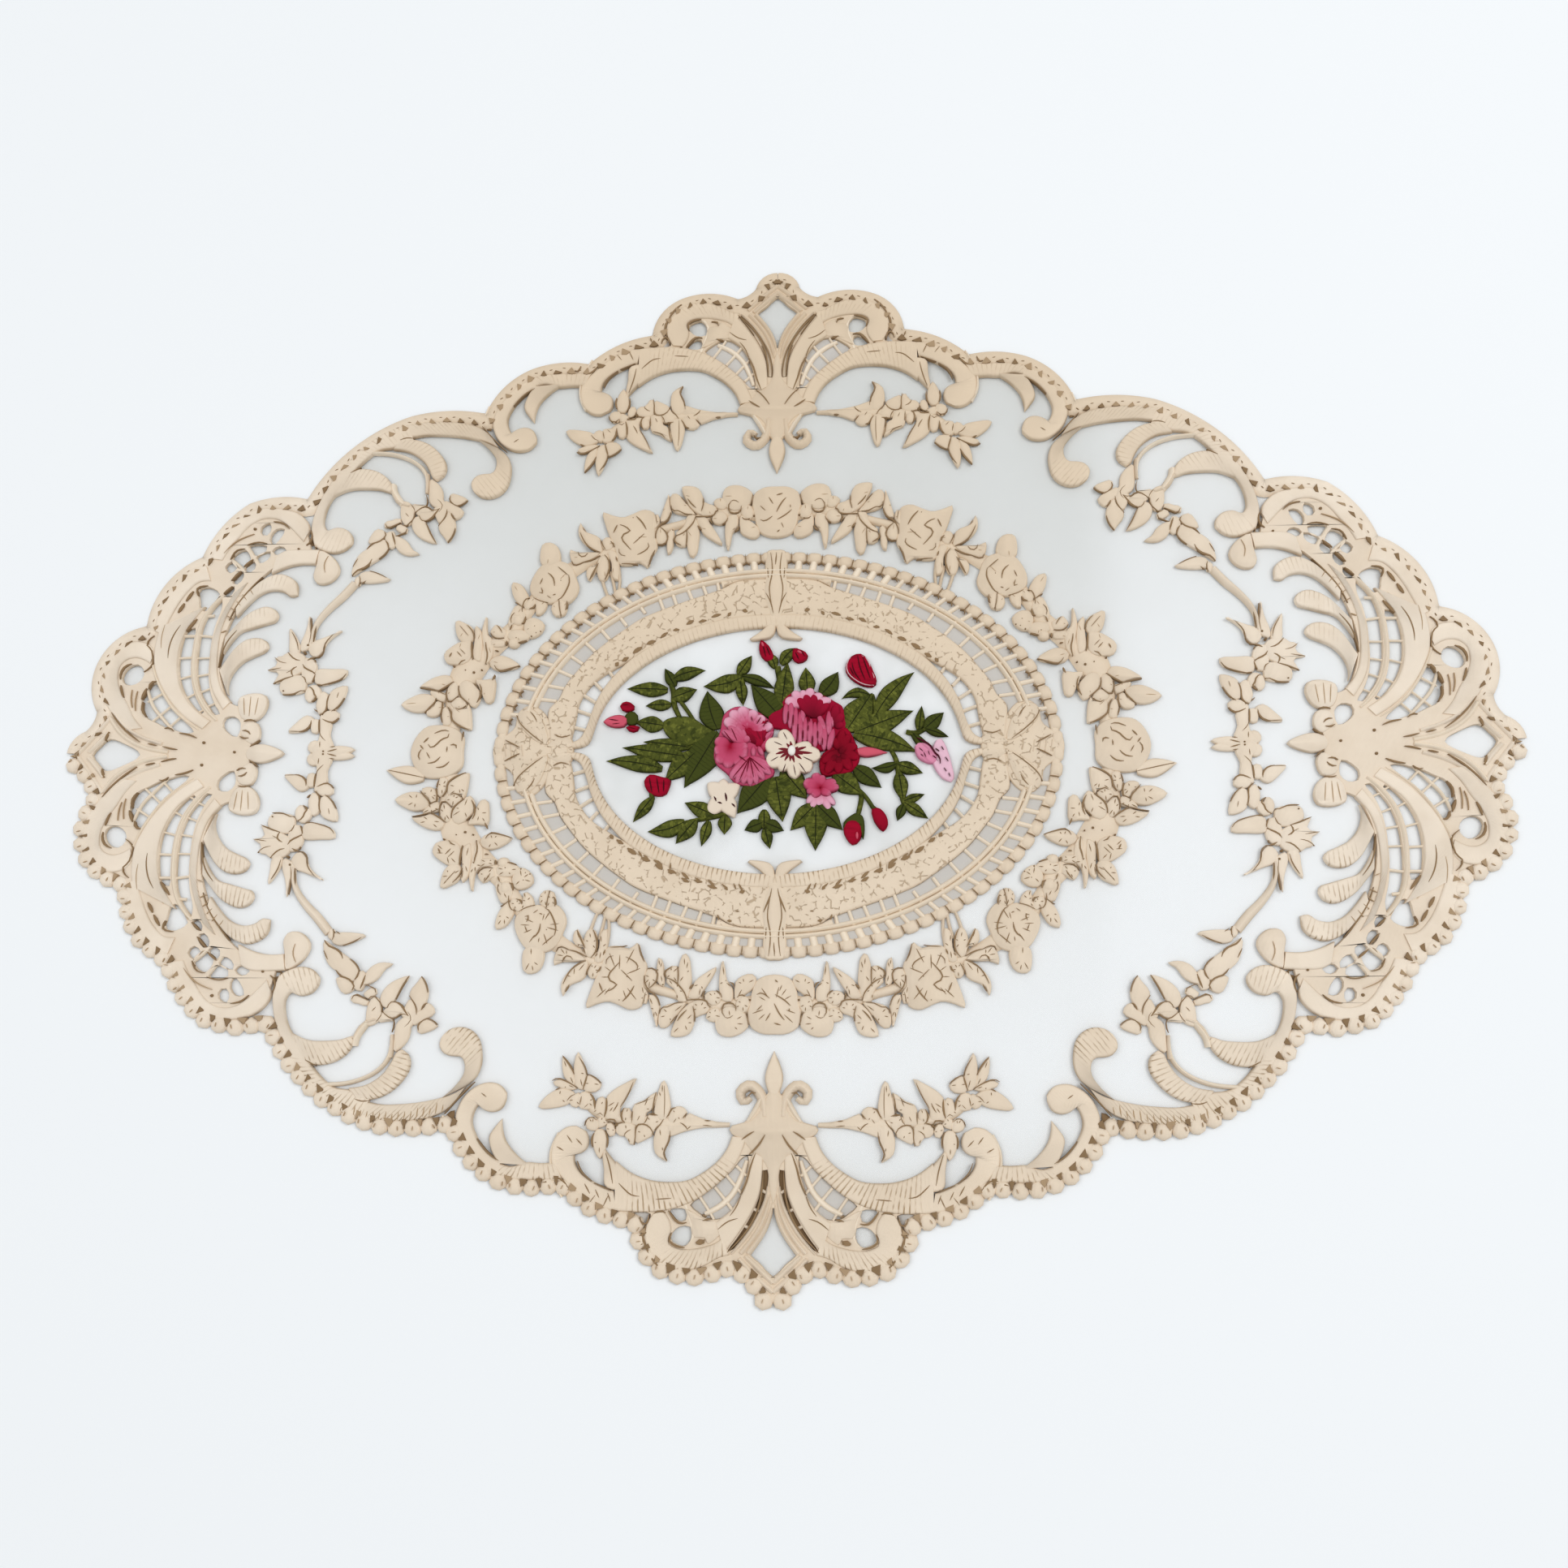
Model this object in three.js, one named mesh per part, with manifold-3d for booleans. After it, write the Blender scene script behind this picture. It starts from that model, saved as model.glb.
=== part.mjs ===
// Oval lace doily: a sheer organza panel with a scalloped edge, an openwork scroll border,
// a medallion ring inside a wreath of roses, four flower sprigs, two garlands and a bouquet
// worked in coloured thread in the middle.  Millimetres, +Z up, lying flat.
// Origin: the middle of the underside.  +X is the long way, +Y the short way.
import * as THREE from "three";
import { mergeVertices } from "three/addons/utils/BufferGeometryUtils.js";
import Module from "manifold-3d";

const wasm = await Module();
wasm.setup();

// ---- driving dimensions -------------------------------------------------------------
const HALF_LENGTH = 200;
const HALF_WIDTH = 145.5;
const PANEL = { low: 0, high: 1.0 }; // sheer ground
const LACE = { low: 1.3, high: 2.7 }; // ecru relief, 0.3 above the ground
const LEAVES = { low: 1.3, high: 2.1 }; // green relief
const FLOWERS = { low: 2.4, high: 3.6 }; // petals, on top of the leaves
const CLEARANCE = 0.4; // between neighbouring pieces
const EDGE_CHORD = 9; // longest chord on the scalloped edge
const RIM_CHORD = 18; // longest chord on the inner edge of the rim band
const SCROLL_CHORD = 7.8; // chord along a scroll, stem or slot
const BALL_SIDES = 7; // sides of a scroll's round end and of an eyelet
const PETAL_SIDES = 2; // chords on each petal of a bloom
const FEWEST_SIDES = 8; // of a bloom with few petals
const CUT_PAST = 1; // how far a cutting plate passes the faces that it cuts
const MERGE_WITHIN = 1e-4; // corners nearer than this are one corner
const FLATNESS = 0.001; // points nearer than this to a straight line or a plane are dropped
const MEDALLION = { outer: [78.3, 57.8], inner: [51, 35], sides: 38 };

// Scalloped edge of one quarter, from the tip on +Y to the tip on +X.
// Each row is an arc that leaves the row above, passes `by` and ends at `to`.
const EDGE_START = [0, HALF_WIDTH];
const EDGE = [
  { part: "tip lobe", by: [4.2, 144.2], to: [6.5, 140.4] },
  { part: "tip neck", by: [8.6, 138.4], to: [11.8, 137.2] },
  { part: "curl lobe", by: [20.5, 139.3], to: [28.5, 137.8] },
  { part: "curl lobe", by: [34.3, 133.3], to: [37, 126] },
  { part: "shoulder", by: [47, 123.2], to: [55.5, 117.3] },
  { part: "first scallop", by: [65, 117.9], to: [72, 116.3] },
  { part: "first scallop", by: [80.5, 110.5], to: [85.5, 102.2] },
  { part: "great scallop", by: [96, 103.4], to: [108, 101.8] },
  { part: "great scallop", by: [125, 91.8], to: [136.8, 76.4] },
  { part: "second scallop", by: [146, 77.2], to: [154, 75.3] },
  { part: "second scallop", by: [161.5, 68.3], to: [166.4, 59] },
  { part: "third scallop", by: [175.5, 52.2], to: [180.8, 38.2] },
  { part: "end curl", by: [191.5, 32], to: [192.6, 12.8] },
  { part: "end neck", by: [193.3, 9.8], to: [195.2, 7.2] },
  { part: "end lobe", by: [199, 4], to: [HALF_LENGTH, 0] },
];

// Inner edge of the rim band of one quarter, from +Y to +X.
const RIM_INNER_START = [0, 114];
const RIM_INNER = [
  { by: [22, 117], to: [43, 115.2] },
  { by: [47.6, 113], to: [51, 109] },
  { by: [62, 110.8], to: [71, 108.4] },
  { by: [77, 103.6], to: [83, 95.5] },
  { by: [95, 97], to: [106, 95] },
  { by: [120, 86], to: [129.6, 72] },
  { by: [133, 66], to: [139, 62] },
  { by: [156, 52], to: [164, 34] },
  { by: [170, 20], to: [172, 0] },
];

// Top cartouche and end cartouche: half outlines that close on their own axis.
const TOP_CARTOUCHE = [
  [0, 82], [2.8, 87], [2.4, 91], [4.4, 97], [11.2, 99.4], [8.2, 104], [10, 110],
  [15, 116.5], [23, 120], [37, 120], [37, 123], [28, 134], [12, 135], [0, 141],
];
const END_CARTOUCHE = [
  [137, 0], [146, 2.6], [147, 6.5], [155, 13], [157.5, 24], [160, 34], [159, 44],
  [152, 54], [145, 58.6], [135.4, 60.6], [135, 70], [152, 72], [166, 56], [176, 40],
  [186, 30], [188, 12], [197, 0],
];

// Scrolls of one quarter: stations of x, y and half width, then an end ball or none.
const SCROLLS = [
  { name: "crescent", ball: null, stations: [[9, 101, 2], [13, 109.5, 3.2], [21, 116.3, 3.2],
    [31, 117.6, 3.6], [39, 113.8, 3], [43, 108.4, 1]] },
  { name: "shoulder hook", ball: [51, 104, 3.4], stations: [[44, 120, 3.6], [50.5, 115.4, 4],
    [53.8, 109.5, 3], [52.5, 105, 2.6]] },
  { name: "thorn", ball: null, stations: [[62, 113.5, 3], [68, 110, 2.6], [71, 105, 1.8],
    [71.2, 100.6, 0.5]] },
  { name: "first scroll", ball: [73.6, 93, 3.9], stations: [[72, 113, 3], [78, 108, 3],
    [81, 101.5, 2.8], [80, 95.5, 2.6], [75, 92.8, 3.2]] },
  { name: "great scroll", ball: [84, 78.6, 4.1], stations: [[102, 99, 2.6], [94, 97.4, 2.6],
    [86.5, 94, 2.8], [81, 89, 2.5], [79.3, 83, 2.3], [81, 79.4, 2.6]] },
  { name: "upper leaf", ball: null, stations: [[118, 93, 3], [110, 92.3, 2.2], [103, 89.8, 3.2],
    [98.8, 85.3, 3], [98.8, 81.8, 1]] },
  { name: "lower leaf", ball: null, stations: [[130, 80, 3], [122, 81.6, 3.2], [115.5, 80.4, 2.4],
    [111.4, 78.2, 0.8]] },
  { name: "side scroll", ball: [126.3, 63, 4.3], stations: [[131.5, 78, 2.6], [133, 71, 2.4],
    [131.5, 65, 2.4], [128, 62.6, 2.6]] },
  { name: "fan arm", ball: [129.4, 54.4, 3.8], stations: [[130, 57.2, 2], [137, 58.2, 2.3],
    [145.5, 56.6, 2.6], [151.5, 51.8, 3]] },
  { name: "upper finger", ball: [139.4, 49, 2.8], stations: [[139.6, 49.4, 2.6], [145, 50, 2.4],
    [151, 46.6, 2.4], [156.5, 39, 1.6]] },
  { name: "middle finger", ball: [144, 40.6, 2.4], stations: [[144.4, 40.6, 2.4], [149, 39.8, 2.5],
    [154, 35.2, 2], [158, 28, 1.4]] },
  { name: "lower finger", ball: [146.8, 31, 2.2], stations: [[147, 31, 2.2], [151, 29.6, 2.5],
    [155.4, 24, 2.2], [157, 16, 1.8]] },
  { name: "hub ball", ball: [147, 13.4, 3.9], stations: [[148.5, 13, 2.4], [152, 12, 2.2],
    [157, 12, 2]] },
];
const SIDE_CURL = { at: [5.8, 92.2], radius: 3.5 }; // beside the finial, top and bottom
const END_CURL = { at: [147.6, 4.4], radius: 2.6 }; // beside the finial at each end

// Largest gaps of the border, one quarter.  The two diamonds straddle the axes.
const TOP_DIAMOND = [[0, 136.8], [5.6, 131.8], [3.2, 127], [0, 120.8]];
const END_DIAMOND = [[192.2, 0], [188, 4.8], [183, 3.6], [177.4, 0]];
const EYELETS = [
  { name: "top curl", at: [23.6, 127.4], size: [2.6, 2.2] },
  { name: "end curl", at: [182.3, 23], size: [2.6, 2.8] },
];
const FAN_SLOTS = [
  { name: "inner ladder", stations: [[158.4, 12, 0.8], [161.6, 19, 1.4], [162.5, 28, 1.5],
    [162, 37, 1.4], [160.2, 43.5, 0.8]] },
  { name: "outer ladder", stations: [[163, 13, 0.8], [166.6, 20, 1.6], [167.8, 28, 1.8],
    [166.8, 36, 1.4], [164.6, 41, 0.7]] },
];

// Leaves and petals are rows of base x, base y, tip x, tip y and width.
const WREATH_VINE = [
  [0, 68.5, 5.5], [12.5, 69.5, 5.5], [24, 66.5, 4.5], [33, 63, 4], [41.5, 60.5, 6],
  [50, 57, 4], [58, 51.5, 4.5], [65, 46.5, 6], [72.5, 39, 4.5], [80, 32, 4.5],
  [86, 24, 6], [90, 13, 5.5], [93, 0, 7],
];
const MEDALLION_TIPS = [[0.6, 36, 8.4, 31, 3.4], [52, 0.6, 49, 5, 3]];
const LEAF_SHAPE = [[-0.04, 0.36], [0.45, 1]]; // share of the length, share of the half width
const WREATH_LEAVES = [
  [13, 72, 13, 77, 6], [23, 69, 28, 77.5, 6], [24, 68, 24, 55.8, 3], [31, 65, 31.5, 74.5, 4],
  [43, 63, 50, 69, 5], [49, 58, 57, 67, 5], [49, 58, 46.4, 49, 3], [64.5, 50, 68.4, 62.4, 6],
  [67, 46, 74.6, 49.4, 5], [74, 38, 65.4, 34, 5], [86, 30, 91, 37, 5], [83, 27, 73.8, 26, 4],
  [90, 17, 98, 20, 5], [90, 14, 104.4, 13.6, 7], [88, 14, 79, 14, 4],
];
const SPRIG_STEM = [[12, 100.2, 0.6], [19, 100.2, 1.1], [26, 99.6, 2.4], [33, 100, 3.4],
  [40, 99.4, 3.4], [46, 98, 3], [52, 93.4, 2.2]];
const SPRIG_LEAVES = [
  [30, 101, 29, 109.4, 4.4], [36, 101, 37.6, 106, 3.6], [45.6, 100, 46, 108, 3.6],
  [28, 98, 29, 89.4, 4], [42, 97, 36.4, 89.6, 5], [49, 95, 45.2, 89.6, 4],
  [52, 93, 61, 95.8, 4.6], [52, 94, 55.6, 83.2, 4], [51, 94, 52, 80.6, 4],
];
const GARLAND_STEM = [
  [95.5, 72, 4], [107, 68.6, 3.2], [113, 63, 2.8], [120.5, 51.6, 1.6], [130.4, 38.4, 1],
  [133.6, 26.6, 3.4], [127.6, 15, 3.2], [125, 4, 2], [126.4, 0, 3.2],
];
const GARLAND_LEAVES = [
  [97, 73, 99.6, 79.6, 4.4], [96.4, 71, 94.2, 62, 4.4],
  [101, 70, 98.4, 62, 4], [110, 66, 102.6, 58.6, 3.4], [119, 54, 110.4, 50.8, 4],
  [132.4, 28, 126.2, 35.2, 3.6], [134.4, 27, 138.6, 37, 3],
  [133, 26, 143.4, 24, 3.6], [131, 21.6, 121.4, 24, 4],
  [126, 13, 121.2, 19.6, 3.6], [126, 9.6, 135.4, 6.8, 3.8],
];

const BOUQUET_LEAVES = [
  // left sprays
  [-16, 5, -32, 6, 8], [-22, -1, -42.4, 1, 5], [-26, -4, -46.8, -3, 5],
  [-18, 0, -25, -10.6, 7], [-20, -1, -35, -7.6, 7], [-28, 16.4, -41.4, 17.4, 4.4],
  [-28.6, 17.6, -31, 23.4, 2.6], [-28, 19, -19.6, 22.6, 4], [-28, 14, -22, 17.4, 4.6],
  [-28, 12.6, -36.4, 12.6, 3.6], [-11, 4, -19, 16.8, 7], [-10.6, 20, -20, 18.6, 5],
  [-10.8, 20, -6.8, 26.8, 4], [-10.4, 21, -9.4, 12.4, 3], [-1, 9, -7, 19, 6.4],
  [-31, 6.6, -40, 8, 4],
  // top and right sprays
  [1, 12, 1, 26, 6], [8, 7, 8.4, 23.2, 4], [11, 6, 17, 21.8, 5], [26.6, 13, 18, 14.4, 4],
  [26.6, 8, 38, 21.6, 5.4], [19, 3, 27, 17, 9], [21, 3, 37.4, 10.4, 6], [21, 3, 37, -0.6, 7],
  [40.6, 4.4, 46, 9.8, 3.4],
  [31.6, -4, 39.8, -7, 3.6], [33, -6, 33, -14.6, 4],
  [36, -14.6, 41, -19.6, 3], [36, -14.6, 33, -20.4, 2.6],
  [18, -6, 28.6, -10.8, 5], [15, -8, 25, -13.4, 5],
  // bottom sprays
  [3, -5, -10, -18, 7], [3.6, -6, 2.4, -20.6, 6], [11, -6, 10.8, -28.4, 5.4],
  [11, -16, 4.2, -22.6, 4.4], [11, -16, 18, -22.8, 4.4], [-3, -19, -8.2, -22.4, 4],
  [-3, -19.6, 2.2, -22.6, 3.6], [-3, -20, -1.6, -27.8, 4], [-25, -20, -34.6, -21.8, 4.6],
  [-23, -19.6, -27, -26, 4], [-19, -19, -20, -27, 3.8],
  [-17, -19, -24.8, -14.8, 4], [-33, -12, -38.8, -20, 4],
];
const BOUQUET_STEMS = [
  [[-18, 6, 0.7], [-25, 11, 0.6], [-28, 16.6, 0.7], [-30, 19, 0.5]],
  [[-25, 11, 0.6], [-28, 12.8, 0.7]],
  [[-11, 20.4, 0.7], [-4, 19.2, 0.8], [0, 14, 1]],
  [[-2.6, 24.6, 0.7], [0.4, 22, 0.8], [4, 26.2, 0.7]],
  [[23, 17.6, 0.7], [25.6, 13, 0.8]],
  [[25, 3.4, 1.2], [33, 4.6, 1], [40.4, 4.4, 0.9], [44, -3.6, 0.8]],
  [[30, 1, 1.2], [32, -3.4, 0.9], [33, -9, 0.8], [36, -15, 0.8]],
  [[22, -11, 0.9], [23, -14, 0.8], [22.4, -19, 0.7]],
  [[23, -12, 0.9], [25, -14.4, 0.8], [27, -17.4, 0.7]],
  [[2, -12, 1], [-1, -16, 0.9], [-3, -20, 0.9]],
  [[-25.4, -20, 0.9], [-18, -19.4, 0.9], [-9, -16.4, 1]],
  [[-20, -6, 1.6], [-29, -7.6, 1.4], [-34, -12.6, 0.9]],
  [[-36, 8, 1], [-43, 9, 1.2]],
];
const HEART = { at: [2, 0], size: [21, 9], sides: 16 }; // leaf ground hidden under the blooms

// Blooms: `lobes` round petals of depth `cut` on an ellipse, turned by `turn` degrees.
// A bloom makes way for those above it in the table.
const BLOOMS = [
  { name: "pansy_cream", thread: "cream", at: [4.6, -1.8], size: [7.6, 6.9],
    lobes: 5, cut: 0.14, turn: 90 },
  { name: "rose_pink_left", thread: "pink", at: [-8.6, 0.8], size: [8.6, 10.8],
    lobes: 7, cut: 0.08, turn: 20 },
  { name: "rose_pink_top", thread: "pink", at: [8.6, 8.4], size: [9.6, 8.6],
    lobes: 7, cut: 0.08, turn: 60 },
  { name: "blossom_pink", thread: "pink", at: [12.2, -12.2], size: [5.4, 5],
    lobes: 5, cut: 0.16, turn: 90 },
  { name: "rose_red_right", thread: "red", at: [17.6, -0.8], size: [7.6, 8.4],
    lobes: 6, cut: 0.08, turn: 0 },
  { name: "blossom_cream", thread: "cream", at: [-14.4, -14], size: [4.6, 5.4],
    lobes: 4, cut: 0.16, turn: 45 },
  { name: "blossom_pale", thread: "pale", at: [45, -4], size: [3.6, 6], lobes: 3, cut: 0.2, turn: 30 },
  { name: "bud_top_left", thread: "red", at: [-3, 27.8], size: [2, 3.2], lobes: 2, cut: 0.02, turn: 100 },
  { name: "bud_top_right", thread: "red", at: [6.4, 26.8], size: [2.8, 2.4],
    lobes: 2, cut: 0.02, turn: 0 },
  { name: "bud_upper_right", thread: "red", at: [23.4, 22], size: [4.2, 4.8],
    lobes: 5, cut: 0.06, turn: 30 },
  { name: "bud_left", thread: "red", at: [-33, -9.8], size: [3.8, 3.4], lobes: 3, cut: 0.06, turn: 90 },
  { name: "buds_far_left", thread: "red", at: [-42, 8.8], size: [5, 4.6], lobes: 4, cut: 0.2, turn: 45 },
  { name: "bud_lower", thread: "red", at: [21.2, -23.2], size: [2.8, 3.8],
    lobes: 2, cut: 0.02, turn: 90 },
  { name: "bud_lower_right", thread: "red", at: [28.2, -19.6], size: [2.4, 3.4],
    lobes: 2, cut: 0.02, turn: 60 },
];

const THREADS = {
  sheer: { color: 0xe9ecee, roughness: 0.6 },
  ecru: { color: 0xe2cdb2, roughness: 0.85 },
  green: { color: 0x55611f, roughness: 0.8 },
  pink: { color: 0xcf6f88, roughness: 0.75 },
  pale: { color: 0xdfa6b4, roughness: 0.75 },
  red: { color: 0x9e1024, roughness: 0.7 },
  cream: { color: 0xeadfcb, roughness: 0.8 },
};

// ---- solids -------------------------------------------------------------------------
/** A three.js geometry as a solid that can be joined and cut. */
function solidOf(geometry) {
  const bare = new THREE.BufferGeometry().setAttribute("position", geometry.getAttribute("position"));
  if (geometry.index) bare.setIndex(geometry.index);
  const merged = mergeVertices(bare, MERGE_WITHIN);
  const mesh = new wasm.Mesh({
    numProp: 3,
    vertProperties: merged.getAttribute("position").array,
    triVerts: new Uint32Array(merged.index.array),
  });
  return new wasm.Manifold(mesh);
}

/** A joined solid back as a three.js geometry. */
function geometryOf(solid) {
  const mesh = solid.getMesh();
  const geometry = new THREE.BufferGeometry();
  geometry.setAttribute("position", new THREE.BufferAttribute(mesh.vertProperties, 3));
  geometry.setIndex(new THREE.BufferAttribute(mesh.triVerts, 1));
  geometry.computeVertexNormals();
  return geometry;
}

/** Points as an anticlockwise loop of plane vectors. */
function loopOf(outline) {
  const points = outline.map(([x, y]) => new THREE.Vector2(x, y));
  return THREE.ShapeUtils.isClockWise(points) ? points.reverse() : points;
}

/** Flat plate of an outline between two heights, with holes. */
function plate(outline, layer, holes = []) {
  const shape = new THREE.Shape(loopOf(outline));
  shape.holes = holes.map((hole) => new THREE.Path(loopOf(hole)));
  const geometry = new THREE.ExtrudeGeometry(shape, { depth: layer.high - layer.low, bevelEnabled: false });
  return solidOf(geometry.translate(0, 0, layer.low));
}

/** A joined or cut solid with its flat faces made whole again. */
const tidied = (solid) => solid.asOriginal().simplify(FLATNESS);
/** Plates of many outlines in one layer, joined into one solid. */
const plates = (outlines, layer) =>
  tidied(outlines.map((outline) => plate(outline, layer)).reduce((sum, solid) => sum.add(solid)));
/** A layer that passes both faces of the one that it cuts. */
const through = ({ low, high }) => ({ low: low - CUT_PAST, high: high + CUT_PAST });

// ---- outlines -----------------------------------------------------------------------
/** Points of the arc from `from` through `by` to `to`, without its first point. */
function arc(from, by, to, chord) {
  const [[ax, ay], [px, py], [cx, cy]] = [from, by, to];
  const twist = 2 * (ax * (py - cy) + px * (cy - ay) + cx * (ay - py));
  const [sa, sb, sc] = [from, by, to].map(([x, y]) => x * x + y * y);
  const ox = (sa * (py - cy) + sb * (cy - ay) + sc * (ay - py)) / twist;
  const oy = (sa * (cx - px) + sb * (ax - cx) + sc * (px - ax)) / twist;
  const radius = Math.hypot(ax - ox, ay - oy);
  const start = Math.atan2(ay - oy, ax - ox);
  const side = Math.sign(twist);
  let sweep = Math.atan2(cy - oy, cx - ox) - start;
  while (sweep * side < 0) sweep += side * 2 * Math.PI;
  const steps = Math.max(1, Math.round(Math.abs(sweep * radius) / chord));
  return Array.from({ length: steps }, (_, i) => {
    const angle = start + (sweep * (i + 1)) / steps;
    return [ox + radius * Math.cos(angle), oy + radius * Math.sin(angle)];
  });
}

/** Outline of one quarter as points, from its start on +Y to its end on +X. */
function quarter(start, rows, chord) {
  const points = [start];
  for (const { by, to } of rows) points.push(...arc(points.at(-1), by, to, chord));
  return points;
}

/** The four quarters of a closed outline. */
function fourQuarters(points) {
  const inner = points.slice(1, -1);
  const turned = (list, sx, sy) => list.map(([x, y]) => [sx * x, sy * y]);
  return [
    ...turned(points.slice(0, -1), 1, 1),
    ...turned(points.slice(1).reverse(), 1, -1),
    ...turned(points.slice(0, -1), -1, -1),
    ...turned([points.at(-1), ...inner.reverse()], -1, 1),
  ];
}

/** Oval of given half sizes. */
function oval([cx, cy], [rx, ry], sides) {
  return Array.from({ length: sides }, (_, i) => {
    const angle = (2 * Math.PI * i) / sides;
    return [cx + rx * Math.cos(angle), cy + ry * Math.sin(angle)];
  });
}

/** Outline that swells and narrows along a smooth route of [x, y, half width] stations. */
function ribbon(stations, grow = 0) {
  const route = new THREE.CatmullRomCurve3(
    stations.map(([x, y, half]) => new THREE.Vector3(x, y, half)), false, "centripetal");
  const points = route.getSpacedPoints(Math.max(2, Math.round(route.getLength() / SCROLL_CHORD)));
  const left = [];
  const right = [];
  points.forEach(({ x, y, z: half }, i) => {
    const before = points[Math.max(0, i - 1)];
    const after = points[Math.min(points.length - 1, i + 1)];
    const length = Math.hypot(after.x - before.x, after.y - before.y);
    const [nx, ny] = [-(after.y - before.y) / length, (after.x - before.x) / length];
    left.push([x + nx * (half + grow), y + ny * (half + grow)]);
    right.unshift([x - nx * (half + grow), y - ny * (half + grow)]);
  });
  return [...left, ...right];
}

/** Pointed leaf from its base to its tip. */
function leaf([bx, by, tx, ty, width], grow = 0) {
  const [dx, dy] = [tx - bx, ty - by];
  const length = Math.hypot(dx, dy);
  const [ux, uy] = [dx / length, dy / length];
  const side = (sign) => LEAF_SHAPE.map(([along, share]) => {
    const half = sign * ((share * width) / 2 + grow);
    return [bx + dx * along - uy * half, by + dy * along + ux * half];
  });
  return [...side(1), [tx + ux * grow, ty + uy * grow], ...side(-1).reverse()];
}

/** Round bloom with lobed petals. */
function bloom({ at, size, lobes, cut, turn }, grow = 0) {
  const sides = Math.max(FEWEST_SIDES, lobes * PETAL_SIDES);
  const turned = THREE.MathUtils.degToRad(turn);
  return Array.from({ length: sides }, (_, i) => {
    const angle = (2 * Math.PI * i) / sides;
    const swell = 1 - cut * (1 - Math.abs(Math.cos((lobes * angle - turned) / 2)));
    const [rx, ry] = size.map((half) => half * swell + grow);
    return [at[0] + rx * Math.cos(angle), at[1] + ry * Math.sin(angle)];
  });
}

const QUARTERS = [[1, 1], [1, -1], [-1, -1], [-1, 1]];
const mirrored = (outline, [sx, sy]) => outline.map(([x, y]) => [sx * x, sy * y]);
const inQuarters = (outline) => QUARTERS.map((signs) => mirrored(outline, signs));

/** Half outline on the Y axis closed by its mirror image. */
const closedOnY = (half) => [...half, ...half.slice(1, -1).reverse().map(([x, y]) => [-x, y])];
/** Half outline on the X axis closed by its mirror image. */
const closedOnX = (half) => [...half, ...half.slice(1, -1).reverse().map(([x, y]) => [x, -y])];

// ---- pieces -------------------------------------------------------------------------
const edge = fourQuarters(quarter(EDGE_START, EDGE, EDGE_CHORD));

/** Outlines of every scroll, ball and curl of the border. */
function scrollOutlines(grow = 0) {
  const outlines = [];
  for (const { stations, ball } of SCROLLS) {
    outlines.push(...inQuarters(ribbon(stations, grow)));
    if (ball) outlines.push(...inQuarters(oval(ball, [ball[2] + grow, ball[2] + grow], BALL_SIDES)));
  }
  for (const { at, radius } of [SIDE_CURL, END_CURL])
    outlines.push(...inQuarters(oval(at, [radius + grow, radius + grow], BALL_SIDES)));
  return outlines;
}

const ends = closedOnX(END_CARTOUCHE);
const tops = closedOnY(TOP_CARTOUCHE);
const cartouches = [tops, mirrored(tops, [1, -1]), ends, mirrored(ends, [-1, 1])];
const borderRoom = plates([...scrollOutlines(CLEARANCE), ...cartouches], through(LACE));

/** Rim band, four cartouches and scrolls, with the diamonds, eyelets and ladder slots cut out. */
function makeBorder() {
  const rim = plate(edge, LACE, [fourQuarters(quarter(RIM_INNER_START, RIM_INNER, RIM_CHORD))]);
  const relief = plates([...cartouches, ...scrollOutlines()], LACE);
  const [top, end] = [closedOnY(TOP_DIAMOND), closedOnX(END_DIAMOND)];
  const gaps = [
    top, mirrored(top, [1, -1]), end, mirrored(end, [-1, 1]),
    ...EYELETS.flatMap(({ at, size }) => inQuarters(oval(at, size, BALL_SIDES))),
    ...FAN_SLOTS.flatMap(({ stations }) => inQuarters(ribbon(stations))),
  ];
  return tidied(rim.add(relief).subtract(plates(gaps, through(LACE))));
}

/** Oval ring with two leaf tips curling into it at each end of both axes. */
function makeMedallion() {
  const { outer, inner, sides } = MEDALLION;
  const ring = plate(oval([0, 0], outer, sides), LACE, [oval([0, 0], inner, sides)]);
  return tidied(ring.add(plates(MEDALLION_TIPS.flatMap((row) => inQuarters(leaf(row))), LACE)));
}

/** Closed vine with a leaf at every row of its table, cut clear of the medallion. */
function makeWreath() {
  const vine = [[1, 1], [1, -1], [-1, -1], [-1, 1]].flatMap(([sx, sy], turn) => {
    const run = WREATH_VINE.map(([x, y, half]) => [sx * x, sy * y, half]);
    return (turn % 2 ? run.reverse() : run).slice(0, -1);
  });
  const offset = (sign) => vine.map(([x, y, half], i) => {
    const [bx, by] = vine.at(i - 1);
    const [ax, ay] = vine[(i + 1) % vine.length];
    const length = Math.hypot(ax - bx, ay - by);
    return [x - (sign * half * (ay - by)) / length, y + (sign * half * (ax - bx)) / length];
  });
  const ring = plate(offset(1), LACE, [offset(-1)]);
  const leaves = plates(WREATH_LEAVES.flatMap((row) => inQuarters(leaf(row))), LACE);
  const room = MEDALLION.outer.map((half) => half + CLEARANCE);
  return tidied(ring.add(leaves).subtract(plate(oval([0, 0], room, MEDALLION.sides), through(LACE))));
}

/** Flower sprig of one quarter, cut clear of the border. */
function makeSprig(signs) {
  const outlines = [ribbon(SPRIG_STEM), ...SPRIG_LEAVES.map((row) => leaf(row))];
  return tidied(plates(outlines.map((outline) => mirrored(outline, signs)), LACE).subtract(borderRoom));
}

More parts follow.
